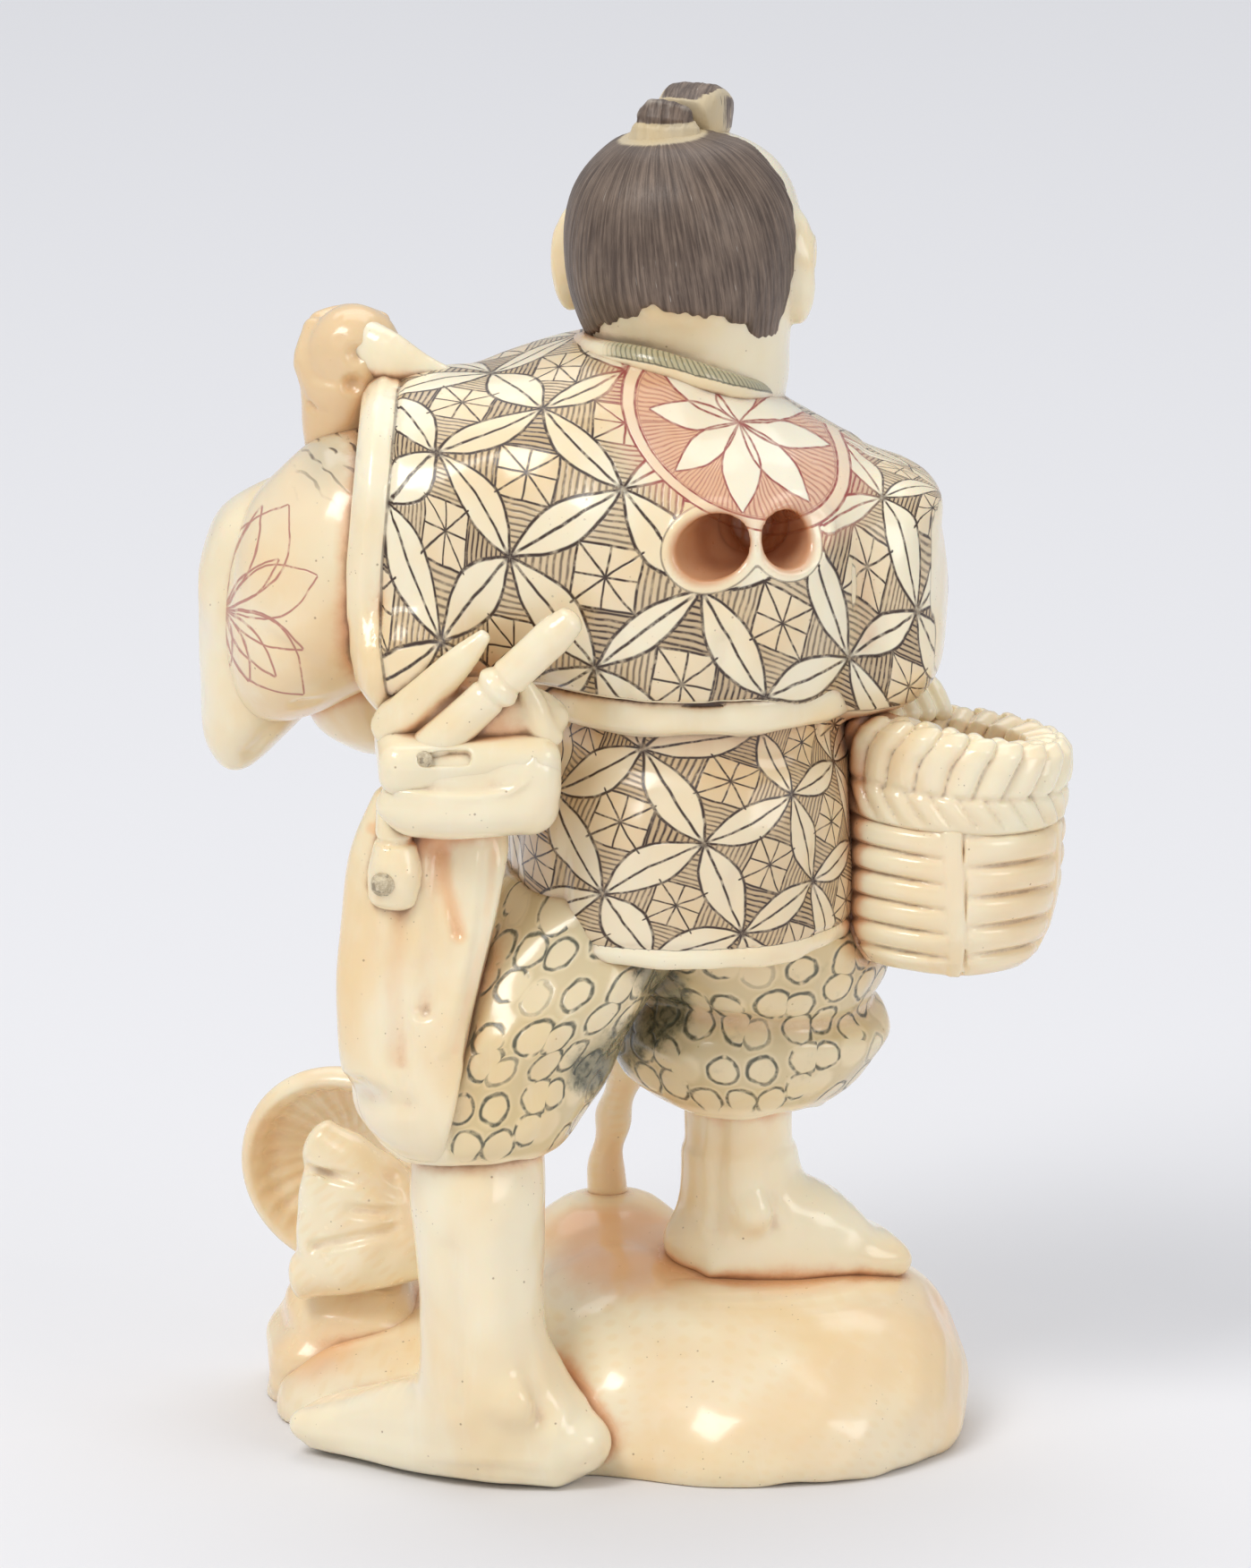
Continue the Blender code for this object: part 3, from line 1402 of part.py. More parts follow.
def make_netsuke():
    clear_scene()
    for carver in (WHOLE, SEATS, INLAY_SEATS):
        make_forms(carver)

    piece("base_mound", IVORY_WARM, seats=("left_leg", "right_leg", "strut"))
    piece("rock", IVORY, seats=("base_mound",))
    piece("shell_back_valve", IVORY_WARM, seats=("rock", "base_mound"))
    piece(
        "shell_front_valve",
        IVORY,
        seats=("shell_back_valve", "rock", "base_mound", "left_leg"),
    )
    piece("strut", IVORY_WARM)
    piece("left_leg", IVORY)
    piece("right_leg", IVORY)
    piece("left_trouser_leg", IVORY_PATTERNED, seats=("left_leg", "strut"))
    piece(
        "right_trouser_leg",
        IVORY_PATTERNED,
        seats=("left_trouser_leg", "right_leg", "strut"),
    )
    piece(
        "robe_skirt",
        IVORY_PATTERNED,
        seats=("left_trouser_leg", "right_trouser_leg", "robe_body"),
    )
    piece(
        "robe_body",
        IVORY_PATTERNED,
        seats=("head_in_robe", "left_under_sleeve", "right_under_sleeve", "right_hand"),
        cuts=cord_holes(),
    )
    piece("sash", IVORY, seats=("robe_body", "robe_skirt"))
    piece("sash_knot", IVORY, seats=("sash", "robe_body", "robe_skirt"))
    piece("collar", IVORY, seats=("torso", "head_in_robe"))
    piece("head", IVORY)
    piece("hair_cap", HAIR_STAIN, seats=("head", "collar"), cuts=hair_cuts())
    piece("topknot_tuft", HAIR_STAIN, seats=("hair_cap",))
    piece("topknot_fold", HAIR_STAIN, seats=("topknot_tuft", "hair_cap"))
    piece("left_under_sleeve", IVORY, seats=("left_hand",))
    piece(
        "left_sleeve_drape",
        IVORY,
        seats=("left_under_sleeve", "robe_body", "left_hand", "pouch_body", "pouch_flap"),
    )
    piece("left_hand", IVORY, seats=("robe_body",))
    piece("shoulder_strap", IVORY, seats=("left_hand", "robe_body"))
    piece("right_under_sleeve", IVORY, seats=("right_palm", "basket", "basket_rim"))
    piece("right_hand", IVORY, seats=("basket_rim", "basket"))
    piece(
        "basket",
        IVORY,
        seats=("robe_skirt", "robe_body", "right_trouser_leg", "sash", "basket_rim"),
    )
    piece("basket_rim", IVORY, seats=("robe_skirt", "robe_body", "sash"))
    piece(
        "pouch_body",
        IVORY,
        seats=("robe_body", "robe_skirt", "sash", "pouch_flap"),
    )
    piece(
        "pouch_flap",
        IVORY,
        seats=("robe_body", "robe_skirt", "sash"),
        inlays=("pouch_inlay",),
        cuts=[pouch_slot()],
    )
    piece("pouch_inlay", INLAY_GREY)
    piece(
        "pipe_case",
        IVORY,
        seats=("robe_body", "pouch_body", "pouch_flap", "sash"),
    )
    piece(
        "belt_fold",
        IVORY,
        seats=("robe_body", "pipe_case", "pouch_body", "pouch_flap", "sash"),
    )
    piece("toggle_bead", IVORY, seats=("pouch_body",), inlays=("toggle_inlay",))
    piece("toggle_inlay", INLAY_GREY)
    piece(
        "apron_cloth",
        IVORY,
        seats=(
            "left_trouser_leg",
            "robe_skirt",
            "pouch_body",
            "toggle_bead",
            "toggle_inlay",
            "left_leg",
            "sash",
            "robe_body",
        ),
    )
    for item in list(bpy.data.objects):
        if item not in PIECES:
            bpy.data.objects.remove(item)


make_netsuke()
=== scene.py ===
from math import cos, pi, radians, sin
import bpy
import numpy as np
from mathutils import Matrix, Vector


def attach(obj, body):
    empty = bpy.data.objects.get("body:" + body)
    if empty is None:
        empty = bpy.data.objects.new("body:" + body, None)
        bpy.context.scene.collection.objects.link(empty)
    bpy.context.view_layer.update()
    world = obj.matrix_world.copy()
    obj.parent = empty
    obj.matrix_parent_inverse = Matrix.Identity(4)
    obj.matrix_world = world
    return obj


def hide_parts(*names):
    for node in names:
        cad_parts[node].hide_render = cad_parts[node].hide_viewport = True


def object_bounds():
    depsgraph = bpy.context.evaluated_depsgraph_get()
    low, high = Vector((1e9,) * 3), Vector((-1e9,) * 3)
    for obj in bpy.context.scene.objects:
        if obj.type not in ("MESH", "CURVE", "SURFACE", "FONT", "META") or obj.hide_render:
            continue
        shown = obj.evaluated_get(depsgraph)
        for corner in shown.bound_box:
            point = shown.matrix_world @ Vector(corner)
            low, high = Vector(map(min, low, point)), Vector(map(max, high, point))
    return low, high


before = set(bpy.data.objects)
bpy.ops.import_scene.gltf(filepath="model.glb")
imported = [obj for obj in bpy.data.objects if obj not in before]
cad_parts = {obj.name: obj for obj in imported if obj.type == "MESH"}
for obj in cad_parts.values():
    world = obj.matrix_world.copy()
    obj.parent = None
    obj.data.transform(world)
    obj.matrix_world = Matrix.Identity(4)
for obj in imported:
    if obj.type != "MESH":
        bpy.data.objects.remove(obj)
cad_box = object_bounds()

MM = 0.001
FAR = 9.0
COARSE = 1.0
TABLE_ACROSS, TABLE_UP = 240, 320


# Curves, and solids as signed distances in millimetres


def smooth_rows(stations, rows):
    """Rows of numbers on a smooth curve through the stations."""
    s = np.array(stations, float)
    last = len(s) - 1
    place = np.linspace(0, last, rows)
    k = np.minimum(place.astype(int), last - 1)
    t = (place - k)[:, None]
    p0, p1, p2, p3 = s[np.maximum(k - 1, 0)], s[k], s[k + 1], s[np.minimum(k + 2, last)]
    return (
        p1 * (2 * t**3 - 3 * t**2 + 1)
        + p2 * (3 * t**2 - 2 * t**3)
        + (p2 - p0) / 2 * (t**3 - 2 * t**2 + t)
        + (p3 - p1) / 2 * (t**3 - t**2)
    )


def smin(a, b, k):
    h = np.maximum(k - np.abs(a - b), 0.0) / k
    return np.minimum(a, b) - h * h * (k / 4)


def smax(a, b, k):
    return -smin(-a, -b, k)


def step_up(x, low, high):
    t = np.clip((x - low) / (high - low), 0.0, 1.0)
    return t * t * (3 - 2 * t)


def bump(x, width):
    """1 at 0, falling smoothly to 0 at the width."""
    return np.exp(-((x / width) ** 2) * 2.5)


class Level:
    """Superellipse sections across an axis: (place, u, v, half u, half v)."""

    def __init__(self, stations, power=2.0, axis=2, cap=0.35):
        rows = smooth_rows(stations, 160)
        if rows[0, 0] > rows[-1, 0]:
            rows = rows[::-1]
        self.rows, self.power, self.axis, self.cap = rows, power, axis, cap
        half = rows[:, 3:5]
        low = [rows[0, 0], *(rows[:, 1:3] - half).min(0)]
        high = [rows[-1, 0], *(rows[:, 1:3] + half).max(0)]
        order = {2: (1, 2, 0), 0: (0, 1, 2)}[axis]
        self.low = [low[i] for i in order]
        self.high = [high[i] for i in order]

    def __call__(self, x, y, z):
        along, u, v = (z, x, y) if self.axis == 2 else (x, y, z)
        table = self.rows
        cu, cv, a, b = (np.interp(along, table[:, 0], table[:, i]) for i in range(1, 5))
        du, dv = np.abs(u - cu), np.abs(v - cv)
        p = self.power
        n = ((du / a) ** p + (dv / b) ** p) ** (1 / p)
        side = np.hypot(du, dv) * (1 - 1 / np.maximum(n, 0.03))
        ends = np.maximum(along - table[-1, 0], table[0, 0] - along)
        return smax(side, ends + 0 * side, self.cap)


class Tube:
    """Oval sections square to a path: (x, y, z, half across, half along side_axis)."""

    def __init__(self, stations, side_axis=(0, 0, 1), nose=0.5, power=2.0):
        s = np.array(stations, float)
        length = np.linalg.norm(np.diff(s[:, :3], axis=0), axis=1).sum()
        rows = smooth_rows(s, max(5, int(length / 0.45) + 2))
        self.rows, self.nose, self.power = rows, max(nose, 0.02), power
        self.side_axis = Vector(side_axis)
        reach = rows[:, 3:5].max(1)[:, None] * 1.05
        self.low = (rows[:, :3] - reach).min(0)
        self.high = (rows[:, :3] + reach).max(0)

    def fill(self, field, margin):
        """The least distance over the path's short pieces, each in its own box."""
        rows = self.rows
        last = len(rows) - 2
        for k in range(last + 1):
            a, b = Vector(rows[k, :3]), Vector(rows[k + 1, :3])
            ahead = b - a
            length = ahead.length
            ahead.normalize()
            across = ahead.cross(self.side_axis).normalized()
            up = across.cross(ahead)
            reach = max(rows[k, 3:5].max(), rows[k + 1, 3:5].max()) + margin
            cut, x, y, z = field.part(
                [min(a[i], b[i]) - reach for i in range(3)],
                [max(a[i], b[i]) + reach for i in range(3)],
            )
            if 0 in field.work[cut].shape:
                continue
            dx, dy, dz = x - a.x, y - a.y, z - a.z
            w = dx * ahead.x + dy * ahead.y + dz * ahead.z
            t = np.clip(w / length, 0, 1)
            ra = rows[k, 3] + (rows[k + 1, 3] - rows[k, 3]) * t
            rb = rows[k, 4] + (rows[k + 1, 4] - rows[k, 4]) * t
            u = dx * across.x + dy * across.y + dz * across.z
            v = dx * up.x + dy * up.y + dz * up.z
            ends = (k == 0) * (w < 0) + (k == last) * (w > length)
            w = w - t * length
            nose = np.where(ends > 0, ra * self.nose, np.minimum(ra, 1.2 * length))
            p = self.power
            flat = (np.abs(u / ra) ** p + np.abs(v / rb) ** p) ** (1 / p)
            n = np.hypot(flat, w / nose)
            away = np.sqrt(u * u + v * v + w * w)
            d = away * (1 - 1 / np.maximum(n, 0.03))
            field.work[cut] = np.minimum(field.work[cut], d)


class Ball:
    def __init__(self, centre, halves, turn=0.0):
        self.centre, self.halves = Vector(centre), halves
        self.back = Matrix.Rotation(radians(turn), 3, "Z").transposed()
        reach = max(halves)
        self.low = [c - reach for c in centre]
        self.high = [c + reach for c in centre]

    def __call__(self, x, y, z):
        dx, dy, dz = x - self.centre.x, y - self.centre.y, z - self.centre.z
        n2, r2 = 0.0, dx * dx + dy * dy + dz * dz
        for row, half in zip(self.back, self.halves):
            n2 = n2 + ((row[0] * dx + row[1] * dy + row[2] * dz) / half) ** 2
        return np.sqrt(r2) * (1 - 1 / np.maximum(np.sqrt(n2), 0.03))


class Block:
    def __init__(self, centre, sizes, tilt=(0.0, 0.0, 0.0), round_by=0.1):
        self.centre, self.half, self.round_by = Vector(centre), [s / 2 for s in sizes], round_by
        turn = Matrix.Identity(3)
        for angle, axis in zip(tilt, "XYZ"):
            turn = turn @ Matrix.Rotation(radians(angle), 3, axis)
        self.back = turn.transposed()
        reach = sum(h * h for h in self.half) ** 0.5
        self.low = [c - reach for c in centre]
        self.high = [c + reach for c in centre]

    def __call__(self, x, y, z):
        dx, dy, dz = x - self.centre.x, y - self.centre.y, z - self.centre.z
        out, deep = 0.0, -FAR
        for row, half in zip(self.back, self.half):
            q = np.abs(row[0] * dx + row[1] * dy + row[2] * dz) - half + self.round_by
            out = out + np.maximum(q, 0) ** 2
            deep = np.maximum(deep, q)
        return np.sqrt(out) + np.minimum(deep, 0) - self.round_by


def placed_box(place, low, high):
    """The low and high corners of the box that holds a turned and moved box."""
    ends = list(zip(low, high))
    corners = [place @ Vector((x, y, z)) for x in ends[0] for y in ends[1] for z in ends[2]]
    return [[end(c[i] for c in corners) for i in range(3)] for end in (min, max)]


def moved(m, x, y, z):
    return tuple(m[i][0] * x + m[i][1] * y + m[i][2] * z + m[i][3] for i in range(3))


class Placed:
    """A shape given in a turned and moved frame."""

    def __init__(self, shape, place):
        self.shape, self.back = shape, place.inverted()
        self.low, self.high = placed_box(place, shape.low, shape.high)

    def __call__(self, x, y, z):
        return self.shape(*moved(self.back, x, y, z))


class Turned:
    """A closed outline of (radius, height) turned about the Z axis of a placed frame."""

    def __init__(self, outline, place, reach, relief=None, lift=None):
        self.back, self.relief, self.lift = place.inverted(), relief, lift
        r = np.linspace(0, reach[0], TABLE_ACROSS)[:, None]
        h = np.linspace(reach[1], reach[2], TABLE_UP)[None, :]
        pts = np.array(outline)
        best, inside = FAR + 0 * (r + h), 0 * (r + h)
        for (r0, h0), (r1, h1) in zip(pts, np.roll(pts, -1, 0)):
            er, eh = r1 - r0, h1 - h0
            t = np.clip(((r - r0) * er + (h - h0) * eh) / (er * er + eh * eh + 1e-9), 0, 1)
            best = np.minimum(best, np.hypot(r - r0 - t * er, h - h0 - t * eh))
            crosses = ((h0 > h) != (h1 > h)) & (r < r0 + (h - h0) * er / (eh if eh else 1e-9))
            inside = inside + crosses
        self.table = np.where(inside % 2 == 1, -best, best)
        self.reach = reach
        out, bottom, top = reach
        self.low, self.high = placed_box(place, (-out, -out, bottom), (out, out, top))

    def __call__(self, x, y, z):
        lx, ly, lz = moved(self.back, x, y, z)
        radius = np.hypot(lx, ly)
        if self.lift:
            lz = lz - self.lift(np.arctan2(ly, lx), lz)
        out, bottom, top = self.reach
        last_r, last_h = TABLE_ACROSS - 1, TABLE_UP - 1
        fr = np.clip(radius / out * last_r, 0, last_r - 0.001)
        fh = np.clip((lz - bottom) / (top - bottom) * last_h, 0, last_h - 0.001)
        i, j = fr.astype(int), fh.astype(int)
        u, v = fr - i, fh - j
        t = self.table
        d = (t[i, j] * (1 - u) + t[i + 1, j] * u) * (1 - v)
        d = d + (t[i, j + 1] * (1 - u) + t[i + 1, j + 1] * u) * v
        d = d + np.maximum(radius - self.reach[0], 0)
        if self.relief:
            d = d - self.relief(np.arctan2(ly, lx), radius, lz)
        return d


class Field:
    """A carved piece on a grid of distances, which ends as a fine mesh."""

    def __init__(self, shapes, step, blend=0.4, margin=0.7):
        step *= COARSE
        low = np.min([s.low for s in shapes], 0) - margin
        high = np.max([s.high for s in shapes], 0) + margin
        low[2] = max(low[2], -2.4 * step)
        count = np.ceil((high - low) / step).astype(int) + 1
        self.low, self.step, self.count = low, step, count
        self.axes = [low[i] + step * np.arange(count[i]) for i in range(3)]
        self.d = np.full(count, FAR, np.float32)
        self.attributes = {}
        for shape in shapes:
            self.add(shape, blend)

    def part(self, low, high):
        cut = []
        for i in range(3):
            a = int(np.floor((low[i] - self.low[i]) / self.step))
            b = int(np.ceil((high[i] - self.low[i]) / self.step)) + 1
            cut.append(slice(min(max(a, 0), self.count[i]), min(max(b, 0), self.count[i])))
        x = self.axes[0][cut[0]][:, None, None]
        y = self.axes[1][cut[1]][None, :, None]
        z = self.axes[2][cut[2]][None, None, :]
        return tuple(cut), x, y, z

    def distance(self, shape, margin):
        cut, x, y, z = self.part(np.subtract(shape.low, margin), np.add(shape.high, margin))
        if isinstance(shape, Tube):
            self.work = np.full(self.count, FAR, np.float32)
            shape.fill(self, margin)
            return cut, self.work[cut]
        return cut, shape(x, y, z)

    def add(self, shape, blend=0.4):
        cut, d = self.distance(shape, blend + 0.9)
        self.d[cut] = smin(self.d[cut], d, blend)

    def cut(self, shape, blend=0.15):
        cut, d = self.distance(shape, blend + 0.9)
        self.d[cut] = smax(self.d[cut], -d, blend)

    def groove(self, points, width, depth):
        """A soft line carved along a path; a negative depth raises it."""
        rows = [(*p, width, width) for p in points]
        tube = Tube(rows, nose=1.0)
        cut, d = self.distance(tube, 2.2 * width)
        self.d[cut] += depth * bump(np.maximum(d + width, 0), 1.6 * width)

    def whole(self):
        return self.part(self.low, self.low + self.step * self.count)

    def carve(self, depth):
        """Moves the skin in by depth(x, y, z)."""
        cut, x, y, z = self.whole()
        self.d[cut] += depth(x, y, z)

    def by_hand(self, share=1.0, x_by=1.0, y_by=1.0, z_by=1.0):
        """The soft unevenness of a face worked by hand."""
        self.carve(lambda x, y, z: share * hand_cut(x * x_by, y * y_by, z * z_by))

    def end_at(self, bottom=0.0):
        """Cuts the piece off level."""
        self.d = np.maximum(self.d, bottom - self.axes[2][None, None, :]).astype(np.float32)

    def sample(self, points):
        """Distances and slopes at points, by straight interpolation."""
        f = (points - self.low) / self.step
        i = np.clip(f.astype(int), 0, self.count - 2)
        t = np.clip(f - i, 0, 1)
        total = np.zeros(len(points))
        slope = np.zeros((len(points), 3))
        for c in range(8):
            o = np.array([c & 1, c >> 1 & 1, c >> 2 & 1])
            value = self.d[tuple((i + o).T)]
            w = np.where(o, t, 1 - t)
            total += value * w.prod(1)
            for axis in range(3):
                others = np.delete(w, axis, 1).prod(1)
                slope[:, axis] += value * others * (1 if o[axis] else -1) / self.step
        return total, slope

    def skin(self):
        """Points and four-sided faces where the distance is 0, from surface nets."""
        d = self.d
        inside = d < 0
        n = np.array(self.count) - 1
        offsets = np.array([(i, j, k) for i in (0, 1) for j in (0, 1) for k in (0, 1)])
        corner = [inside[i : i + n[0], j : j + n[1], k : k + n[2]] for i, j, k in offsets]
        filled = np.add.reduce([c.astype(np.int8) for c in corner])
        cells = np.argwhere((filled > 0) & (filled < 8))
        index = np.full(n, -1, np.int32)
        index[tuple(cells.T)] = np.arange(len(cells))
        values = np.stack([d[tuple((cells + o).T)] for o in offsets], 1)
        total = np.zeros((len(cells), 3))
        hits = np.zeros(len(cells))
        for a in range(8):
            for b in range(a + 1, 8):
                if np.abs(offsets[a] - offsets[b]).sum() != 1:
                    continue
                va, vb = values[:, a], values[:, b]
                cross = (va < 0) != (vb < 0)
                t = np.where(cross, va / np.where(cross, va - vb, 1), 0)[:, None]
                total += np.where(cross[:, None], offsets[a] + (offsets[b] - offsets[a]) * t, 0)
                hits += cross
        points = self.low + self.step * (cells + total / hits[:, None])
        faces = []
        for axis in range(3):
            u, v = [i for i in range(3) if i != axis]
            lo, hi = [slice(None)] * 3, [slice(None)] * 3
            lo[axis], hi[axis] = slice(0, -1), slice(1, None)
            first, second = inside[tuple(lo)], inside[tuple(hi)]
            at = np.argwhere(first != second)
            ok = (at[:, u] > 0) & (at[:, v] > 0) & (at[:, u] < n[u]) & (at[:, v] < n[v])
            at = at[ok]
            flip = first[tuple(at.T)]
            ring = []
            for du, dv in ((1, 1), (0, 1), (0, 0), (1, 0)):
                o = np.zeros(3, int)
                o[u], o[v] = du, dv
                ring.append(index[tuple((at - o).T)])
            quad = np.stack(ring, 1)
            if axis == 1:
                flip = ~flip
            quad[~flip] = quad[~flip][:, ::-1]
            faces.append(quad)
        return points, np.concatenate(faces)

    def mesh(self):
        points, faces = self.skin()
        for _ in range(2):
            d, slope = self.sample(points)
            size = np.maximum((slope**2).sum(1), 0.25)
            move = -(d / size)[:, None] * slope
            points += np.clip(move, -0.4 * self.step, 0.4 * self.step)
        return points, faces


# The view from 14 degrees above the back: what a millimetre up and one ahead rise in it
VIEW_UP, VIEW_AHEAD = 0.970, 0.242
PIXELS_PER_MM = 26.3

# The same sizes as the solids have, in millimetres
INLAY_SEAM = 0.15
# Ground
MOUND_HALF_WIDTH = 9.0
MOUND_HALF_DEPTH = 10.2
MOUND_HEIGHT = 6.7
FOOT_PAD_HEIGHT = 0.7
ROCK_HEIGHT = 5.3
STRUT_RADIUS = 0.75
DISH_RADIUS = 4.7
DISH_THICKNESS = 0.8
DISH_DEPTH = 1.5
DISH_X = -12.6
DISH_Y = 6.4
DISH_TURN = -16.0
DISH_TILT = -82.0
FLUTE_COUNT = 4
FLUTE_RADIUS = 1.25

# Legs
LEFT_CALF_RADIUS = 2.75
RIGHT_CALF_RADIUS = 2.35
LEFT_KNEE_HEIGHT = 15.4
RIGHT_KNEE_HEIGHT = 16.4
LEFT_HEM_HEIGHT = 14.2
RIGHT_HEM_HEIGHT = 14.3

# Robe
HEM_HEIGHT = 22.5
WAIST_HEIGHT = 31.2
CROTCH_HEIGHT = 25.2
SHOULDER_HEIGHT = 47.9
WAIST_X = 2.5
WAIST_HALF_WIDTH = 6.3
WAIST_HALF_DEPTH = 6.3
HEM_HALF_WIDTH = 7.4
HEM_HALF_DEPTH = 8.1
BACK_HALF_WIDTH = 9.8
BACK_HALF_DEPTH = 8.6
LEFT_CUFF_X = -12.2
LEFT_CUFF_HALF_HEIGHT = 6.4
LEFT_CUFF_HALF_DEPTH = 6.3
RIGHT_SLEEVE_X = 9.7
RIGHT_SLEEVE_HALF_WIDTH = 3.5
RIGHT_SLEEVE_HALF_DEPTH = 5.5
SASH_HEIGHT = 2.4
BELT_LIFT = 2.0
SASH_PROUD = 0.75
KNOT_RADIUS = 1.9
COLLAR_RADIUS = 0.6
LEFT_CORD_HOLE_RADIUS = 1.45
RIGHT_CORD_HOLE_RADIUS = 1.3
CORD_HOLE_SPACING = 3.7
CORD_HOLE_DEPTH = 4.6
CORD_HOLE_X = 4.9
CORD_HOLE_DROP = 7.0

# Head and hair
HEAD_X = 2.0
HEAD_Y = 1.8
HEAD_RISE = 2.8
HEAD_HALF_WIDTH = 4.55
HEAD_HALF_DEPTH = 5.5
HEAD_HALF_HEIGHT = 5.55
HEAD_TURN = -14.0
NECK_RADIUS = 3.4
HAIRLINE_TEETH = 9
EAR_HEIGHT = 3.0
TUFT_HALF_WIDTH = 1.1
FOLD_RADIUS = 1.35

# Arms
CUFF_LINING_HALF_HEIGHT = 6.0
CUFF_LINING_HALF_DEPTH = 5.4
DRAPE_HALF_DEPTH = 4.3
FIST_RADIUS = 2.1
LEFT_WRIST_RADIUS = 1.45
RIGHT_WRIST_RADIUS = 1.5
STRAP_RADIUS = 0.8
FINGER_RADIUS = 0.55
GRIP_TURN = 125.0

# Basket
BASKET_X = 12.9
BASKET_Y = -0.5
BASKET_DROP = 0.3
BASKET_RADIUS = 4.85
BASKET_HEIGHT = 9.9
BASKET_LEAN = 4.0
BASKET_WALL = 1.3
BASKET_HOLLOW = 3.2
RIM_HEIGHT = 3.2
RIM_PETALS = 22

# Things on the belt
POUCH_X = -7.0
POUCH_Y = -8.2
POUCH_DROP = 0.3
POUCH_WIDTH = 7.6
POUCH_HEIGHT = 4.3
POUCH_DEPTH = 4.4
FLAP_HEIGHT = 2.2
SLOT_LENGTH = 2.9
POUCH_INLAY_RADIUS = 0.36
PIPE_RADIUS = 0.84
TOGGLE_HALF_WIDTH = 1.15
TOGGLE_INLAY_RADIUS = 0.5
APRON_THICKNESS = 1.3


def below(drop):
    """A height under the shoulder."""
    return SHOULDER_HEIGHT - drop


def between(a, b, t):
    return tuple(x + (y - x) * t for x, y in zip(a, b))


def stand(at, *turns):
    """A frame moved to a place and turned about its own axes: (degrees, axis) each."""
    place = Matrix.Translation(Vector(at))
    for degrees, axis in turns:
        place = place @ Matrix.Rotation(radians(degrees), 4, axis)
    return place


def loop(count, place):
    """A closed path: what place gives for each turn round a full circle."""
    return [place(2 * pi * k / count) for k in range(count + 1)]


def rod(start, end, radius):
    return Tube([(*start, radius, radius), (*end, radius, radius)], nose=0.02)


FORMS = {}

# Ground, rock, shell and strut


def ground_forms():
    w, d, h = MOUND_HALF_WIDTH, MOUND_HALF_DEPTH, MOUND_HEIGHT
    mound = Level([(0.0, 5.2, 1.0, w - 0.35, d - 0.3), (0.16 * h, 5.3, 1.0, w, d),
        (0.45 * h, 5.3, 1.3, w - 0.2, d - 0.6), (0.7 * h, 5.2, 1.9, w - 0.9, d - 1.8),
        (0.88 * h, 5.0, 2.6, w - 2.0, d - 3.2), (0.97 * h, 4.8, 3.0, w - 3.8, d - 5.0),
        (1.0 * h, 4.7, 3.2, w - 6.0, d - 7.2)], power=2.2)
    left_ground = Level([(0.0, -8.3, 3.4, 7.3, 6.9), (1.4, -8.2, 3.5, 7.2, 6.8),
        (2.8, -7.4, 4.4, 6.6, 5.7), (4.0, -5.5, 5.6, 5.4, 4.4), (4.8, -4.0, 6.4, 3.0, 2.6)],
        power=2.2)
    rear_hump = Level([(0.0, -2.0, 3.0, 5.2, 8.2), (2.0, -2.0, 4.2, 5.1, 7.0),
        (4.5, -1.8, 6.0, 4.6, 5.2), (6.5, -1.5, 7.2, 3.6, 3.7), (7.9, -1.3, 8.0, 2.0, 2.0),
        (8.2, -1.3, 8.2, 0.9, 0.9)])
    foot_pad = Tube([(-3.6, -7.4, FOOT_PAD_HEIGHT / 2, 1.2, FOOT_PAD_HEIGHT / 2),
        (-6.4, -6.0, FOOT_PAD_HEIGHT / 2, 1.8, FOOT_PAD_HEIGHT / 2),
        (-9.6, -4.2, FOOT_PAD_HEIGHT / 2, 1.9, FOOT_PAD_HEIGHT / 2),
        (-11.6, -2.6, FOOT_PAD_HEIGHT / 2, 1.5, FOOT_PAD_HEIGHT / 2)], nose=0.6, power=4.0)
    FORMS["base_mound"] = [mound, left_ground, rear_hump, foot_pad]

    rock = Level([(0.0, -12.4, 6.0, 3.5, 4.3), (1.8, -12.4, 6.0, 3.6, 4.3),
        (0.72 * ROCK_HEIGHT, -12.3, 6.0, 3.1, 3.7), (1.0 * ROCK_HEIGHT, -12.0, 6.1, 2.2, 2.8)],
        power=3.0)
    FORMS["rock"] = [rock]

    strut = Tube([(-1.2, 8.4, 6.6, STRUT_RADIUS * 1.5, STRUT_RADIUS * 1.4),
        (-1.3, 8.2, 9.2, STRUT_RADIUS, STRUT_RADIUS),
        (-0.9, 7.4, 12.0, STRUT_RADIUS, STRUT_RADIUS),
        (-0.1, 6.0, 15.2, STRUT_RADIUS * 1.3, STRUT_RADIUS * 1.2),
        (0.9, 4.2, 18.2, STRUT_RADIUS * 1.4, STRUT_RADIUS * 1.3)], side_axis=(1, 0, 0))
    FORMS["strut"] = [strut]


def flute_form():
    """Flutes that fan out from a hidden hinge beside the left calf."""
    hinge = Vector((-7.6, 4.4, ROCK_HEIGHT + 1.7))
    flutes = []
    for k in range(FLUTE_COUNT):
        share = k / (FLUTE_COUNT - 1)
        tip_height = ROCK_HEIGHT + 6.7 - 5.9 * share
        tip = Vector((DISH_X - 1.0 - 0.9 * share, 3.0 - 0.7 * share, tip_height))
        middle = hinge.lerp(tip, 0.6) + Vector((0, -0.9, 0.3))
        flutes.append(Tube([(*hinge, 1.1, 1.3), (*middle, FLUTE_RADIUS, FLUTE_RADIUS * 1.15),
            (*tip, FLUTE_RADIUS * 0.8, FLUTE_RADIUS * 0.75)], side_axis=(0, 1, 0)))
    FORMS["shell_front_valve"] = [*flutes]


# Legs and trousers


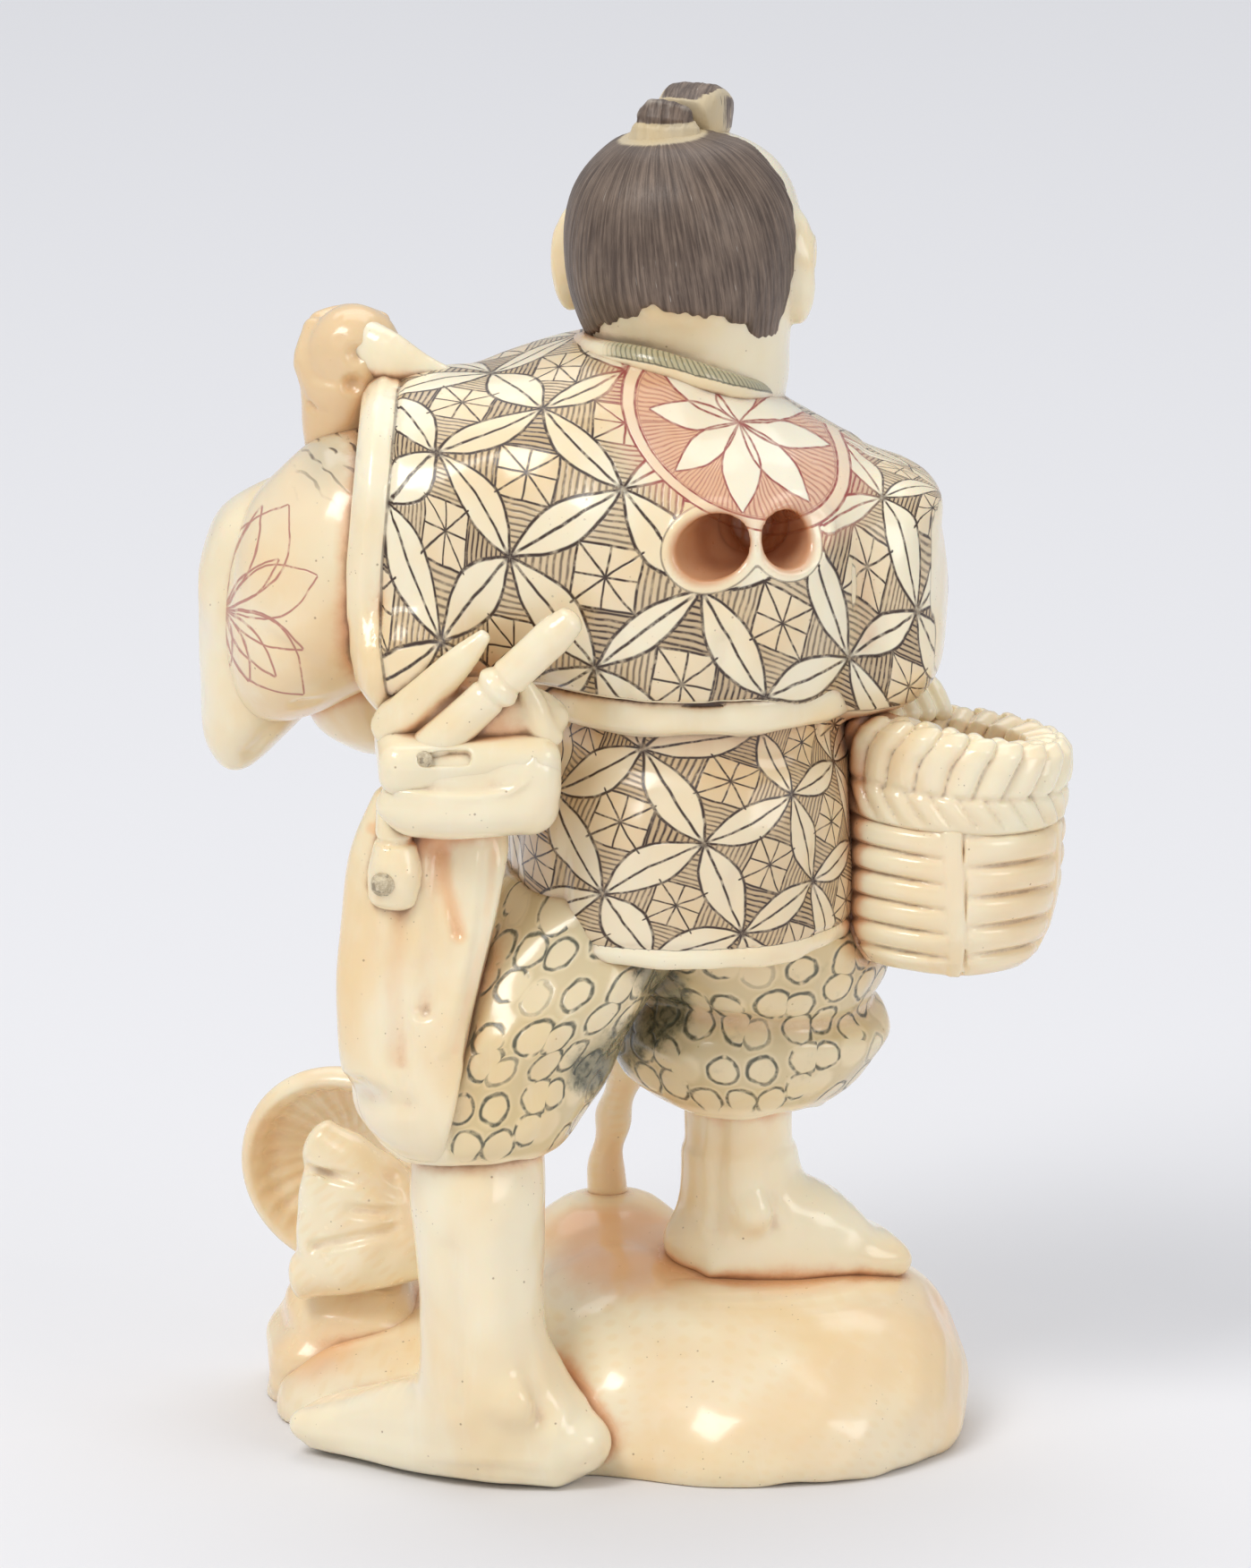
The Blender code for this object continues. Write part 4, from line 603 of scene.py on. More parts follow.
def leg_forms():
    r = LEFT_CALF_RADIUS
    left_calf = Level([(1.4, -5.4, -7.0, r + 1.0, r + 0.1), (3.6, -5.9, -7.1, r + 0.75, r + 0.3),
        (6.2, -6.4, -7.1, r, r + 0.1), (9.0, -6.6, -6.9, r - 0.05, r),
        (12.4, -6.7, -6.5, r + 0.1, r + 0.15), (LEFT_KNEE_HEIGHT, -6.7, -6.1, r - 0.1, r)])
    low = FOOT_PAD_HEIGHT
    left_foot = Tube([(-3.0, -8.0, low + 1.5, 1.75, 1.5), (-5.6, -7.0, low + 2.0, 2.5, 2.0),
        (-8.4, -5.4, low + 1.7, 2.75, 1.7), (-10.9, -3.6, low + 1.15, 2.6, 1.15),
        (-12.2, -2.7, low + 0.8, 2.4, 0.8)], nose=0.35, power=2.6)
    left_toes = toes((-12.7, -2.35, low + 0.75), (-0.86, 0.5), 2.05, 0.72, 5)
    left_sole = Tube([(-3.1, -7.9, 1.0, 1.8, 0.98), (-5.8, -6.9, 1.1, 2.55, 1.08),
        (-8.8, -5.1, 1.05, 2.75, 1.03), (-11.6, -3.1, 0.9, 2.5, 0.88),
        (-12.6, -2.4, 0.8, 2.3, 0.78)], nose=0.4, power=2.8)
    FORMS["left_leg"] = [left_calf, left_foot, left_sole, *left_toes]

    r = RIGHT_CALF_RADIUS
    sole = MOUND_HEIGHT
    right_calf = Level([(sole + 0.5, 4.3, 1.9, r + 0.3, r - 0.1),
        (sole + 2.2, 4.5, 1.9, r + 0.15, r), (sole + 4.2, 4.4, 1.8, r, r + 0.1),
        (sole + 6.6, 4.4, 1.8, r - 0.05, r + 0.15), (RIGHT_KNEE_HEIGHT, 4.4, 1.9, r, r + 0.1)])
    right_foot = Tube([(3.0, 1.5, sole + 1.3, 1.6, 1.4), (5.2, 2.0, sole + 2.1, 2.1, 2.1),
        (7.6, 2.8, sole + 1.7, 2.25, 1.75), (9.4, 3.4, sole + 0.85, 2.2, 0.95),
        (10.2, 3.7, sole + 0.6, 2.05, 0.7)], nose=0.35, power=2.6)
    right_sole = Tube([(2.9, 1.4, sole + 0.5, 1.75, 0.9), (5.4, 2.1, sole + 0.6, 2.3, 1.3),
        (8.0, 2.9, sole + 0.3, 2.4, 1.2), (10.2, 3.7, sole - 0.1, 2.1, 0.9)], nose=0.4, power=2.6)
    right_toes = toes((10.2, 3.75, sole + 0.25), (0.94, 0.33), 1.75, 0.62, 5)
    flare = Level([(sole + 0.1, 6.2, 2.3, 4.5, 2.3), (sole + 1.4, 5.85, 2.3, 4.2, 2.35),
        (sole + 2.6, 5.35, 2.2, 3.5, 2.3), (sole + 3.8, 4.65, 2.0, 2.6, 2.2),
        (sole + 5.2, 4.4, 1.9, r, r)])
    FORMS["right_leg"] = [right_calf, right_foot, right_sole, flare, *right_toes]


def toes(ball_of_foot, ahead, half_spread, radius, count):
    """Short round toes side by side, the inner one the longest."""
    x, y, z = ball_of_foot
    ax, ay = ahead
    made = []
    for k in range(count):
        side = half_spread * (2 * k / (count - 1) - 1)
        inner = 1 - k / (count - 1) if ax < 0 else k / (count - 1)
        reach = 0.15 + 0.35 * (1 - inner)
        size = radius * (0.8 + 0.3 * (1 - inner))
        start = (x - ay * side - ax * 0.6, y + ax * side - ay * 0.6, z)
        end = (x - ay * side + ax * reach, y + ax * side + ay * reach, z - 0.1)
        made.append(Tube([(*start, size, size * 0.9), (*end, size * 0.95, size * 0.85)],
            nose=0.9))
    return made


def trouser_forms():
    top, low = CROTCH_HEIGHT, LEFT_HEM_HEIGHT
    drop = top - low
    left = Level([(top, -1.4, -1.0, 4.4, 5.4), (top - 0.18 * drop, -2.6, -1.8, 5.2, 5.8),
        (top - 0.40 * drop, -4.4, -3.2, 5.5, 5.7), (top - 0.62 * drop, -5.9, -4.4, 5.3, 5.3),
        (top - 0.79 * drop, -6.7, -5.2, 5.0, 4.9), (top - 0.92 * drop, -6.9, -5.7, 4.4, 4.3),
        (low, -6.9, -5.9, 3.5, 3.5)])
    FORMS["left_trouser_leg"] = [left]
    low = RIGHT_HEM_HEIGHT
    drop = top - low
    right = Level([(top, 3.6, 0.4, 4.8, 5.6), (top - 0.2 * drop, 4.4, 0.8, 5.7, 5.9),
        (top - 0.42 * drop, 4.9, 1.4, 6.0, 5.8), (top - 0.58 * drop, 4.9, 1.6, 5.5, 5.2),
        (top - 0.72 * drop, 4.8, 1.7, 6.0, 5.6), (top - 0.88 * drop, 4.6, 1.8, 5.2, 5.0),
        (low, 4.5, 1.9, 3.6, 3.6)])
    FORMS["right_trouser_leg"] = [right]


# Robe, belt and collar


def robe_forms():
    w, d = BACK_HALF_WIDTH, BACK_HALF_DEPTH
    low, s = WAIST_HEIGHT, SHOULDER_HEIGHT
    rise = s - low
    torso = Level([(low - 1.6, WAIST_X, -0.6, WAIST_HALF_WIDTH - 0.7, WAIST_HALF_DEPTH - 0.7),
        (low, WAIST_X, -0.6, WAIST_HALF_WIDTH - 0.3, WAIST_HALF_DEPTH - 0.3),
        (low + 0.13 * rise, 2.3, -0.7, WAIST_HALF_WIDTH + 0.5, WAIST_HALF_DEPTH + 0.9),
        (low + 0.27 * rise, 1.9, -0.8, w - 1.5, d - 0.4),
        (low + 0.45 * rise, 1.3, -0.7, w - 0.2, d),
        (low + 0.62 * rise, 1.0, -0.5, w - 0.2, d - 0.3),
        (low + 0.73 * rise, 0.2, -0.2, w - 0.8, d - 1.0),
        (low + 0.82 * rise, -0.9, 0.1, w - 2.2, d - 2.0),
        (low + 0.90 * rise, -1.1, 0.4, w - 3.9, d - 3.2),
        (low + 0.96 * rise, -0.2, 0.7, w - 5.6, d - 4.3),
        (low + 1.0 * rise, 0.7, 0.9, w - 7.4, d - 5.8)], power=2.15)
    cuff_x, half_d, half_h = LEFT_CUFF_X, LEFT_CUFF_HALF_DEPTH, LEFT_CUFF_HALF_HEIGHT
    left_sleeve = Tube([(1.0, -0.4, below(7.6), half_d + 0.9, half_h - 0.2),
        (cuff_x + 9.2, -0.6, below(7.8), half_d + 1.1, half_h + 0.4),
        (cuff_x + 5.2, -0.6, below(8.3), half_d + 0.8, half_h + 0.7),
        (cuff_x + 2.2, -0.5, below(8.8), half_d + 0.4, half_h + 0.6),
        (cuff_x + 0.8, -0.5, below(9.2), half_d, half_h + 0.2),
        (cuff_x, -0.5, below(9.3), half_d - 0.2, half_h)], nose=0.0, power=2.2)
    x, hw, hd = RIGHT_SLEEVE_X, RIGHT_SLEEVE_HALF_WIDTH, RIGHT_SLEEVE_HALF_DEPTH
    right_sleeve = Level([(below(15.8), x - 0.7, 0.6, hw - 1.3, hd - 2.0),
        (below(15.0), x - 0.4, 0.5, hw - 0.5, hd - 0.9),
        (below(13.4), x - 0.1, 0.4, hw - 0.05, hd - 0.1), (below(10.4), x, 0.3, hw, hd),
        (below(8.1), x - 0.1, 0.2, hw - 0.15, hd - 0.3),
        (below(6.6), x - 0.2, 0.2, hw - 0.2, hd - 1.0),
        (below(5.6), x - 0.9, 0.2, hw - 0.7, hd - 2.0),
        (below(4.8), x - 1.9, 0.2, hw - 1.9, hd - 3.2)], power=2.3)
    FORMS["robe_body"] = [torso, left_sleeve, right_sleeve]

    w, d = HEM_HALF_WIDTH, HEM_HALF_DEPTH
    drop = WAIST_HEIGHT - HEM_HEIGHT
    skirt = Level([(WAIST_HEIGHT + BELT_LIFT, WAIST_X, -0.5, WAIST_HALF_WIDTH,
        WAIST_HALF_DEPTH + 0.1),
        (WAIST_HEIGHT, WAIST_X, -0.5, WAIST_HALF_WIDTH + 0.1, WAIST_HALF_DEPTH + 0.12),
        (HEM_HEIGHT + 0.86 * drop, 2.4, -0.5, w - 0.6, d - 1.1),
        (HEM_HEIGHT + 0.62 * drop, 2.1, -0.4, w - 0.1, d - 0.25),
        (HEM_HEIGHT + 0.34 * drop, 2.0, -0.3, w, d),
        (HEM_HEIGHT + 0.1 * drop, 1.9, -0.3, w + 0.05, d + 0.05),
        (HEM_HEIGHT, 1.9, -0.3, w - 0.15, d - 0.15)], power=2.15)
    FORMS["robe_skirt"] = [skirt]

    half, belt = 0.42 * SASH_HEIGHT, WAIST_HEIGHT + BELT_LIFT + 0.1
    wide, deep = WAIST_HALF_WIDTH + SASH_PROUD, WAIST_HALF_DEPTH + SASH_PROUD
    sash = Level([(belt - half, WAIST_X, -0.55, wide - 0.4, deep - 0.4),
        (belt - 0.6 * half, WAIST_X, -0.55, wide + 0.1, deep + 0.15),
        (belt + 0.1, WAIST_X, -0.55, wide + 0.2, deep + 0.3),
        (belt + 0.7 * half, WAIST_X, -0.55, wide + 0.1, deep + 0.2),
        (belt + 1.1 * half, WAIST_X, -0.55, wide - 0.4, deep - 0.3)], power=2.1)
    FORMS["sash"] = [sash]

    front = deep - 0.55
    knot_x = WAIST_X - 0.6
    knot = Ball((knot_x, front + 0.3, WAIST_HEIGHT + 0.6 * BELT_LIFT),
        (KNOT_RADIUS, 0.65 * KNOT_RADIUS, 0.8 * KNOT_RADIUS))
    tails = [Tube([(knot_x + side * 0.5, front + 0.3, WAIST_HEIGHT - 0.2 * side, 0.8, 0.5),
        (knot_x + side * 1.3, front + 1.0, WAIST_HEIGHT - 3.2, 1.1, 0.5),
        (knot_x + side * 1.9, front + 1.3, WAIST_HEIGHT - 5.8, 1.3, 0.45)], side_axis=(0, 1, 0),
        nose=0.2, power=2.6) for side in (-1, 1)]
    FORMS["sash_knot"] = [knot, *tails]

    r = COLLAR_RADIUS
    collar = Tube([(3.2, BACK_HALF_DEPTH - 0.5, below(8.4), r * 1.2, r * 0.8),
        (0.9, BACK_HALF_DEPTH - 0.8, below(5.8), r * 1.2, r * 0.8),
        (-1.6, BACK_HALF_DEPTH - 2.5, below(2.8), r * 1.15, r * 0.85),
        (-2.3, 2.6, below(1.0), r, r), (-1.6, -1.2, below(0.4), r, r),
        (0.8, -3.2, below(0.45), r, r), (3.9, -2.7, below(1.5), r, r),
        (5.4, 0.4, below(2.6), r, r), (5.4, 4.0, below(3.4), r * 1.15, r * 0.85),
        (4.6, BACK_HALF_DEPTH - 1.6, below(5.0), r * 1.2, r * 0.8)], nose=0.4)
    FORMS["collar"] = [collar]


# Head, hair and topknot


def at_head(right, ahead, up):
    """A point given from the middle of the turned head."""
    offset = Matrix.Rotation(radians(HEAD_TURN), 3, "Z") @ Vector((right, ahead, up))
    return tuple(Vector((HEAD_X, HEAD_Y, SHOULDER_HEIGHT + HEAD_RISE)) + offset)


def on_head(*rows):
    """A tube's rows, each given from the middle of the turned head."""
    return [(*at_head(*row[:3]), *row[3:]) for row in rows]


def head_egg(proud):
    """The skull, widest above the ears and narrowing down into the neck."""
    rows = [(5.72, 0.0, -0.5, 0.3, 0.4), (5.6, 0.0, -0.5, 1.2, 1.7), (5.2, 0.0, -0.4, 2.6, 3.3),
        (4.4, 0.0, -0.3, 3.75, 4.5), (3.3, 0.0, -0.2, 4.45, 5.2), (2.0, 0.0, -0.15, 4.78, 5.55),
        (0.6, 0.0, -0.15, 4.8, 5.65), (-0.8, 0.0, -0.05, 4.65, 5.45),
        (-2.2, 0.0, 0.25, 4.35, 4.9), (-3.4, 0.1, 0.6, 4.05, 4.3), (-4.6, 0.2, 0.9, 3.9, 3.9),
        (-5.6, 0.2, 1.0, 3.7, 3.7)]
    grown = [(up + proud * (up > 5), r + 0.1, a, wide + proud + 0.05, deep + proud)
        for up, r, a, wide, deep in rows]
    return Placed(Level(grown, power=2.05), stand(at_head(0, 0, 0), (HEAD_TURN, "Z")))


def head_forms():
    x, y, s = HEAD_X, HEAD_Y, SHOULDER_HEIGHT
    w, d, h = HEAD_HALF_WIDTH, HEAD_HALF_DEPTH, HEAD_HALF_HEIGHT
    skull = head_egg(0.0)
    jaw = Ball(at_head(0, 0.34 * d, -0.42 * h), (0.78 * w, 0.66 * d, 0.56 * h), turn=HEAD_TURN)
    nose = Ball(at_head(0, 1.0 * d, -0.18 * h), (0.62, 0.75, 1.05), turn=HEAD_TURN)
    ears = [Ball(at_head(side * (w + 0.45), 0.06 * d, -0.02 * h),
        (0.65, 1.1, EAR_HEIGHT / 2 + 0.7), turn=HEAD_TURN + side * 18) for side in (-1, 1)]
    neck = Tube([(x + 0.2, y - 0.9, s - 3.3, NECK_RADIUS + 0.5, NECK_RADIUS + 0.2),
        (x + 0.2, y - 0.8, s - 0.9, NECK_RADIUS + 0.5, NECK_RADIUS + 0.2),
        (x + 0.2, y - 0.4, s + 1.2, NECK_RADIUS + 0.4, NECK_RADIUS + 0.2)], side_axis=(0, 1, 0),
        nose=0.0)
    FORMS["head"] = [skull, jaw, nose, neck, *ears]
    FORMS["head_in_robe"] = [skull, jaw, neck]

    FORMS["hair_cap"] = [head_egg(0.2)]


def topknot_forms():
    h = HEAD_HALF_HEIGHT
    t = TUFT_HALF_WIDTH
    tuft = Tube(on_head((-0.5, -1.3, h - 0.6, t * 1.55, t * 1.15),
        (-0.5, -1.15, h + 0.6, t * 1.25, t * 0.9),
        (-0.4, -1.0, h + 1.3, t * 0.95, t * 0.65)), side_axis=(0, 1, 0), nose=0.3)
    FORMS["topknot_tuft"] = [tuft]
    f = FOLD_RADIUS
    fold = Tube(on_head((-0.1, 0.3, h + 0.45, f * 0.9, f * 0.85),
        (0.1, 1.3, h + 0.7, f * 0.98, f * 0.95), (0.2, 2.8, h + 0.4, f * 0.95, f * 0.75),
        (0.2, 3.7, h - 0.2, f * 0.7, f * 0.5)), nose=0.15, power=4.0)
    FORMS["topknot_fold"] = [fold]


# Arms and hands


def left_arm_forms():
    """The plain sleeve out of the left cuff, its hanging cloth and the raised fist."""
    hd, hh = CUFF_LINING_HALF_DEPTH, CUFF_LINING_HALF_HEIGHT
    c = LEFT_CUFF_X
    lining = Level([(c + 2.8, -0.5, below(9.1), 0.89 * hd, 0.85 * hh),
        (c + 0.8, -0.4, below(9.4), 0.95 * hd, 0.93 * hh),
        (c - 1.2, 0.0, below(10.2), 1.0 * hd, 0.98 * hh),
        (c - 3.2, 0.6, below(11.4), 0.93 * hd, 0.87 * hh),
        (c - 4.5, 1.0, below(12.1), 0.72 * hd, 0.68 * hh),
        (c - 5.2, 1.4, below(12.4), 0.40 * hd, 0.38 * hh),
        (c - 5.4, 1.5, below(12.5), 0.15 * hd, 0.15 * hh)], axis=0)
    FORMS["left_under_sleeve"] = [lining]

    d = DRAPE_HALF_DEPTH
    drape = Level([(below(6.7), c - 1.8, 2.9, 1.5, 0.45 * d),
        (below(8.3), c - 2.8, 2.8, 2.9, 0.85 * d), (below(10.9), c - 3.2, 2.7, 3.2, d),
        (below(13.9), c - 3.4, 2.6, 3.0, d), (below(16.5), c - 4.0, 2.3, 2.35, 0.75 * d),
        (below(18.0), c - 4.6, 2.0, 1.5, 0.48 * d), (below(19.1), c - 4.9, 1.8, 0.5, 0.18 * d)])
    inner_fold = Ball((c + 1.3, 3.6, below(15.9)), (3.4, 3.6, 2.9))
    FORMS["left_sleeve_drape"] = [drape, inner_fold]

    r = FIST_RADIUS
    fist_at = Vector((c + 0.25, 1.5, below(1.05)))
    fist = Ball(fist_at, (r, r * 0.95, r * 1.02))
    wrist = Tube([(c - 0.30, 1.2, below(6.9), LEFT_WRIST_RADIUS, LEFT_WRIST_RADIUS),
        (c - 0.20, 1.3, below(4.3), LEFT_WRIST_RADIUS, LEFT_WRIST_RADIUS),
        (c + 0.10, 1.5, below(1.9), LEFT_WRIST_RADIUS * 1.15, LEFT_WRIST_RADIUS * 1.1)],
        side_axis=(0, 1, 0))
    f = FINGER_RADIUS
    fingers = []
    for k in range(4):
        knuckle = fist_at + Vector((0, 0, -1.9 * f * k))
        fingers.append(Tube([(*(knuckle + Vector((0.52 * r, 0.67 * r, 0.52 * r))), f, f),
            (*(knuckle + Vector((-0.05 * r, 1.0 * r, 0.57 * r))), f * 1.05, f * 1.05),
            (*(knuckle + Vector((-0.67 * r, 0.67 * r, 0.48 * r))), f, f)], nose=0.9))
    thumb = Tube([(*(fist_at + Vector((-1.0, -0.9, -1.6))), f * 1.27, f * 1.27),
        (*(fist_at + Vector((-1.8, -0.3, -0.3))), f * 1.24, f * 1.24),
        (*(fist_at + Vector((-1.6, 0.5, 1.0))), f * 1.1, f * 1.1)], side_axis=(0, 1, 0), nose=0.9)
    heel = Tube([(c - 0.20, 1.2, below(6.0), 1.5, 1.5), (c - 0.25, 1.3, below(4.0), 1.65, 1.6),
        (c - 0.10, 1.4, below(2.4), 1.9, 1.8)], side_axis=(0, 1, 0))
    FORMS["left_hand"] = [fist, wrist, heel, thumb, *fingers]

    t = STRAP_RADIUS
    strap = Tube([(*(fist_at + Vector((0.4, -0.7, 0.7))), t * 1.1, t * 1.35),
        (c + 1.6, 0.1, below(0.8), t, t * 1.4), (c + 3.0, -0.1, below(1.5), t * 0.85, t * 1.1),
        (c + 4.8, -0.2, below(2.0), t * 0.6, t * 0.6)])
    FORMS["shoulder_strap"] = [strap]


def basket_place():
    """Where the basket stands: its foot's middle, and its lean to the right."""
    foot = (BASKET_X, BASKET_Y, WAIST_HEIGHT - BASKET_DROP - BASKET_HEIGHT)
    return stand(foot, (BASKET_LEAN, "Y"))


def at_rim(beyond, aside, up):
    """A point near the gripped place of the basket's rim, given from that place."""
    turn = radians(GRIP_TURN)
    out = Vector((cos(turn), sin(turn), 0))
    along = Vector((-sin(turn), cos(turn), 0))
    spot = out * (BASKET_RADIUS + beyond) + along * aside
    return tuple(basket_place() @ (spot + Vector((0, 0, BASKET_HEIGHT + up))))


def right_arm_forms():
    """The hand that comes down out of the right sleeve and hooks over the rim."""
    wr = RIGHT_WRIST_RADIUS
    sleeve = Tube([(RIGHT_SLEEVE_X - 0.6, 3.1, below(11.3), wr * 1.05, wr * 1.1),
        (*at_rim(1.85, 0.1, 2.3), wr * 1.2, wr * 1.25)], side_axis=(1, 0, 0), nose=0.2)
    FORMS["right_under_sleeve"] = [sleeve]

    palm = Tube([(*at_rim(1.72, 0.1, 3.0), wr * 0.75, wr * 0.7),
        (*at_rim(1.7, 0.0, 0.9), wr * 0.95, wr * 0.75),
        (*at_rim(1.6, 0.0, -0.8), wr * 1.1, wr * 0.6)], side_axis=(1, 0, 0))
    f = FINGER_RADIUS * 0.9
    grip = []
    for k in range(4):
        aside = (k - 1.5) * 1.9 * f
        grip.append(Tube([(*at_rim(1.3, aside * 0.9, 0.1), f, f),
            (*at_rim(0.2, aside, 1.0), f * 1.05, f * 1.05), (*at_rim(-1.0, aside, 0.9), f, f),
            (*at_rim(-2.1, aside * 0.9, 0.2), f * 0.9, f * 0.9)], nose=0.9))
    FORMS["right_hand"] = [palm, *grip]
    FORMS["right_palm"] = [palm]


# Pouch, pipe case, toggle and apron


def pouch_centre():
    return (POUCH_X, POUCH_Y, WAIST_HEIGHT - POUCH_DROP)


def slot_centre():
    """The middle of the long slot on the flap's outer face."""
    x, y, z = pouch_centre()
    return (x - 0.9, y - 0.4 - POUCH_DEPTH / 2, z + POUCH_HEIGHT / 2 - FLAP_HEIGHT / 2 + 0.25)


def pipe_ends():
    return (Vector((POUCH_X + 4.2, POUCH_Y - 1.8, WAIST_HEIGHT + 6.8)),
        Vector((POUCH_X - 1.5, POUCH_Y - 1.1, WAIST_HEIGHT + 1.2)))


def belt_forms():
    x, y, z = pouch_centre()
    w, d, h = POUCH_WIDTH, POUCH_DEPTH, POUCH_HEIGHT
    waist = WAIST_HEIGHT
    pouch = Block((x + 0.1, y + 0.1, z - 0.2), (w - 0.3, d + 0.2, h - 0.2), tilt=(4, 0, 3),
        round_by=1.35)
    FORMS["pouch_body"] = [pouch]
    flap = Block((x - 0.05, y - 0.05, z + h / 2 - FLAP_HEIGHT / 2 + 0.05),
        (w, d + 0.1, FLAP_HEIGHT + 0.1), tilt=(13, 0, 5), round_by=0.85)
    FORMS["pouch_flap"] = [flap]
    slot_x, face_y, slot_z = slot_centre()
    pin_x = slot_x - SLOT_LENGTH / 2 + POUCH_INLAY_RADIUS + INLAY_SEAM
    pin = rod((pin_x, face_y + 1.2, slot_z), (pin_x, face_y + 0.15, slot_z), POUCH_INLAY_RADIUS)
    FORMS["pouch_inlay"] = [pin]

    p = PIPE_RADIUS
    top, low = pipe_ends()
    swells = ((0.0, 0.75), (0.10, 1.0), (0.22, 1.0), (0.45, 0.92), (0.52, 1.12), (0.58, 0.95),
        (0.80, 1.05), (1.0, 1.1))
    pipe = Tube([(*top.lerp(low, share), p * swell, p * swell) for share, swell in swells],
        nose=0.6)
    FORMS["pipe_case"] = [pipe]

    lump = Ball((x + 0.2, y + 0.2, waist + 2.2), (4.0, 1.5, 1.7))
    left_fold = Tube([(x - 3.3, y + 0.1, waist + 1.6, 0.9, 0.9),
        (x - 2.2, y - 0.6, waist + 2.9, 0.95, 0.7), (x - 0.6, y - 0.9, waist + 4.6, 0.7, 0.5),
        (x + 0.7, y - 1.0, waist + 6.0, 0.3, 0.3)], side_axis=(0, 1, 0), nose=0.5)
    right_fold = Tube([(x + 3.2, y - 0.5, waist + 1.4, 0.8, 0.8),
        (x + 2.8, y - 0.7, waist + 2.8, 0.55, 0.6), (x + 2.3, y - 0.8, waist + 4.0, 0.3, 0.3)],
        side_axis=(0, 1, 0))
    FORMS["belt_fold"] = [lump, left_fold, right_fold]

    t = TOGGLE_HALF_WIDTH
    bead = Tube([(x - 3.2, y + 0.2, z - 1.5, t * 0.6, t * 0.6),
        (x - 3.1, y - 0.1, z - 2.7, t * 0.75, t * 0.8), (x - 3.1, y - 0.3, z - 4.0, t, t * 1.05),
        (x - 3.2, y - 0.3, z - 5.1, t * 0.9, t * 0.95)], side_axis=(0, 1, 0), nose=0.5, power=2.5)
    FORMS["toggle_bead"] = [bead]
    disc = rod((x - 3.5, y + 0.3, z - 4.2), (x - 3.6, y - 0.35 - 1.05 * t, z - 4.3),
        TOGGLE_INLAY_RADIUS)
    FORMS["toggle_inlay"] = [disc]

    a, hem = APRON_THICKNESS, LEFT_HEM_HEIGHT
    apron = Level([(waist - 1.2, -8.4, -6.1, 2.6, a + 0.5),
        (waist - 4.2, -8.6, -7.0, 3.4, a + 0.4), (waist - 7.7, -9.0, -7.6, 3.6, a + 0.3),
        (hem + 6.5, -9.1, -7.7, 3.5, a + 0.9), (hem + 3.5, -9.0, -7.6, 3.3, a + 1.3),
        (hem + 1.4, -8.6, -7.4, 2.7, a + 1.2), (hem + 0.4, -8.0, -7.3, 1.8, a + 0.6)], power=2.3)
    FORMS["apron_cloth"] = [apron]



def wave(*terms):
    """A soft uneven field from sines: (amplitude, fx, fy, fz, phase) each."""
    def field(x, y, z):
        return sum(a * np.sin(fx * x + fy * y + fz * z + p) for a, fx, fy, fz, p in terms)
    return field


hand_cut = wave((0.035, 1.1, 0.7, 0.5, 0.3), (0.030, -0.6, 1.3, 0.9, 1.9),
    (0.025, 0.4, -0.9, 1.6, 4.1), (0.012, 2.7, 1.9, -2.2, 0.7))


FIELDS = {}


def carved(name, step, blend=0.4, shapes=None):
    field = Field(shapes or FORMS[name], step, blend)
    FIELDS[name] = field
    return field


# Ground, rock and shell


def carve_ground():
    f = carved("base_mound", 0.17, 1.0)
    # the slope that joins the lobes
    f.add(Ball((-0.9, 1.2, 1.6), (5.2, 8.6, 5.8)), 2.4)
    f.add(Ball((1.6, 5.6, 3.0), (4.6, 3.6, 4.4)), 1.8)
    f.add(Tube([(2.2, 1.2, 5.6, 2.3, 1.0), (6.0, 2.2, 5.7, 2.7, 1.0), (9.8, 3.4, 5.3, 2.6, 0.9)]),
          1.0)
    f.by_hand(2.2, 0.8, 0.8)
    # ledges of the far side and a soft hollow between the lobes
    f.groove([(-3.5, -5.0, 1.4), (-3.2, -7.0, 1.2), (-3.0, -9.0, 0.6)], 0.5, 0.35)
    f.groove([(-7.0, 5.5, 3.2), (-10.5, 3.5, 2.6), (-13.5, 1.0, 2.0)], 0.5, 0.25)
    f.groove([(3.5, 9.6, 3.4), (9.5, 8.2, 3.2), (13.0, 4.0, 3.0)], 0.6, 0.18)
    f.end_at()

    f = carved("rock", 0.12, 0.4)
    f.carve(lambda x, y, z: 0.16 * np.sin(2.6 * z + 0.5 * x) * step_up(z, 0.4, 1.5)
            + 2.5 * hand_cut(x, y, z * 1.5))
    f.end_at()

    f = carved("strut", 0.1, 0.3)
    f.carve(lambda x, y, z: 0.06 * np.sin(2.1 * z + x) + hand_cut(x, y, z * 1.4))


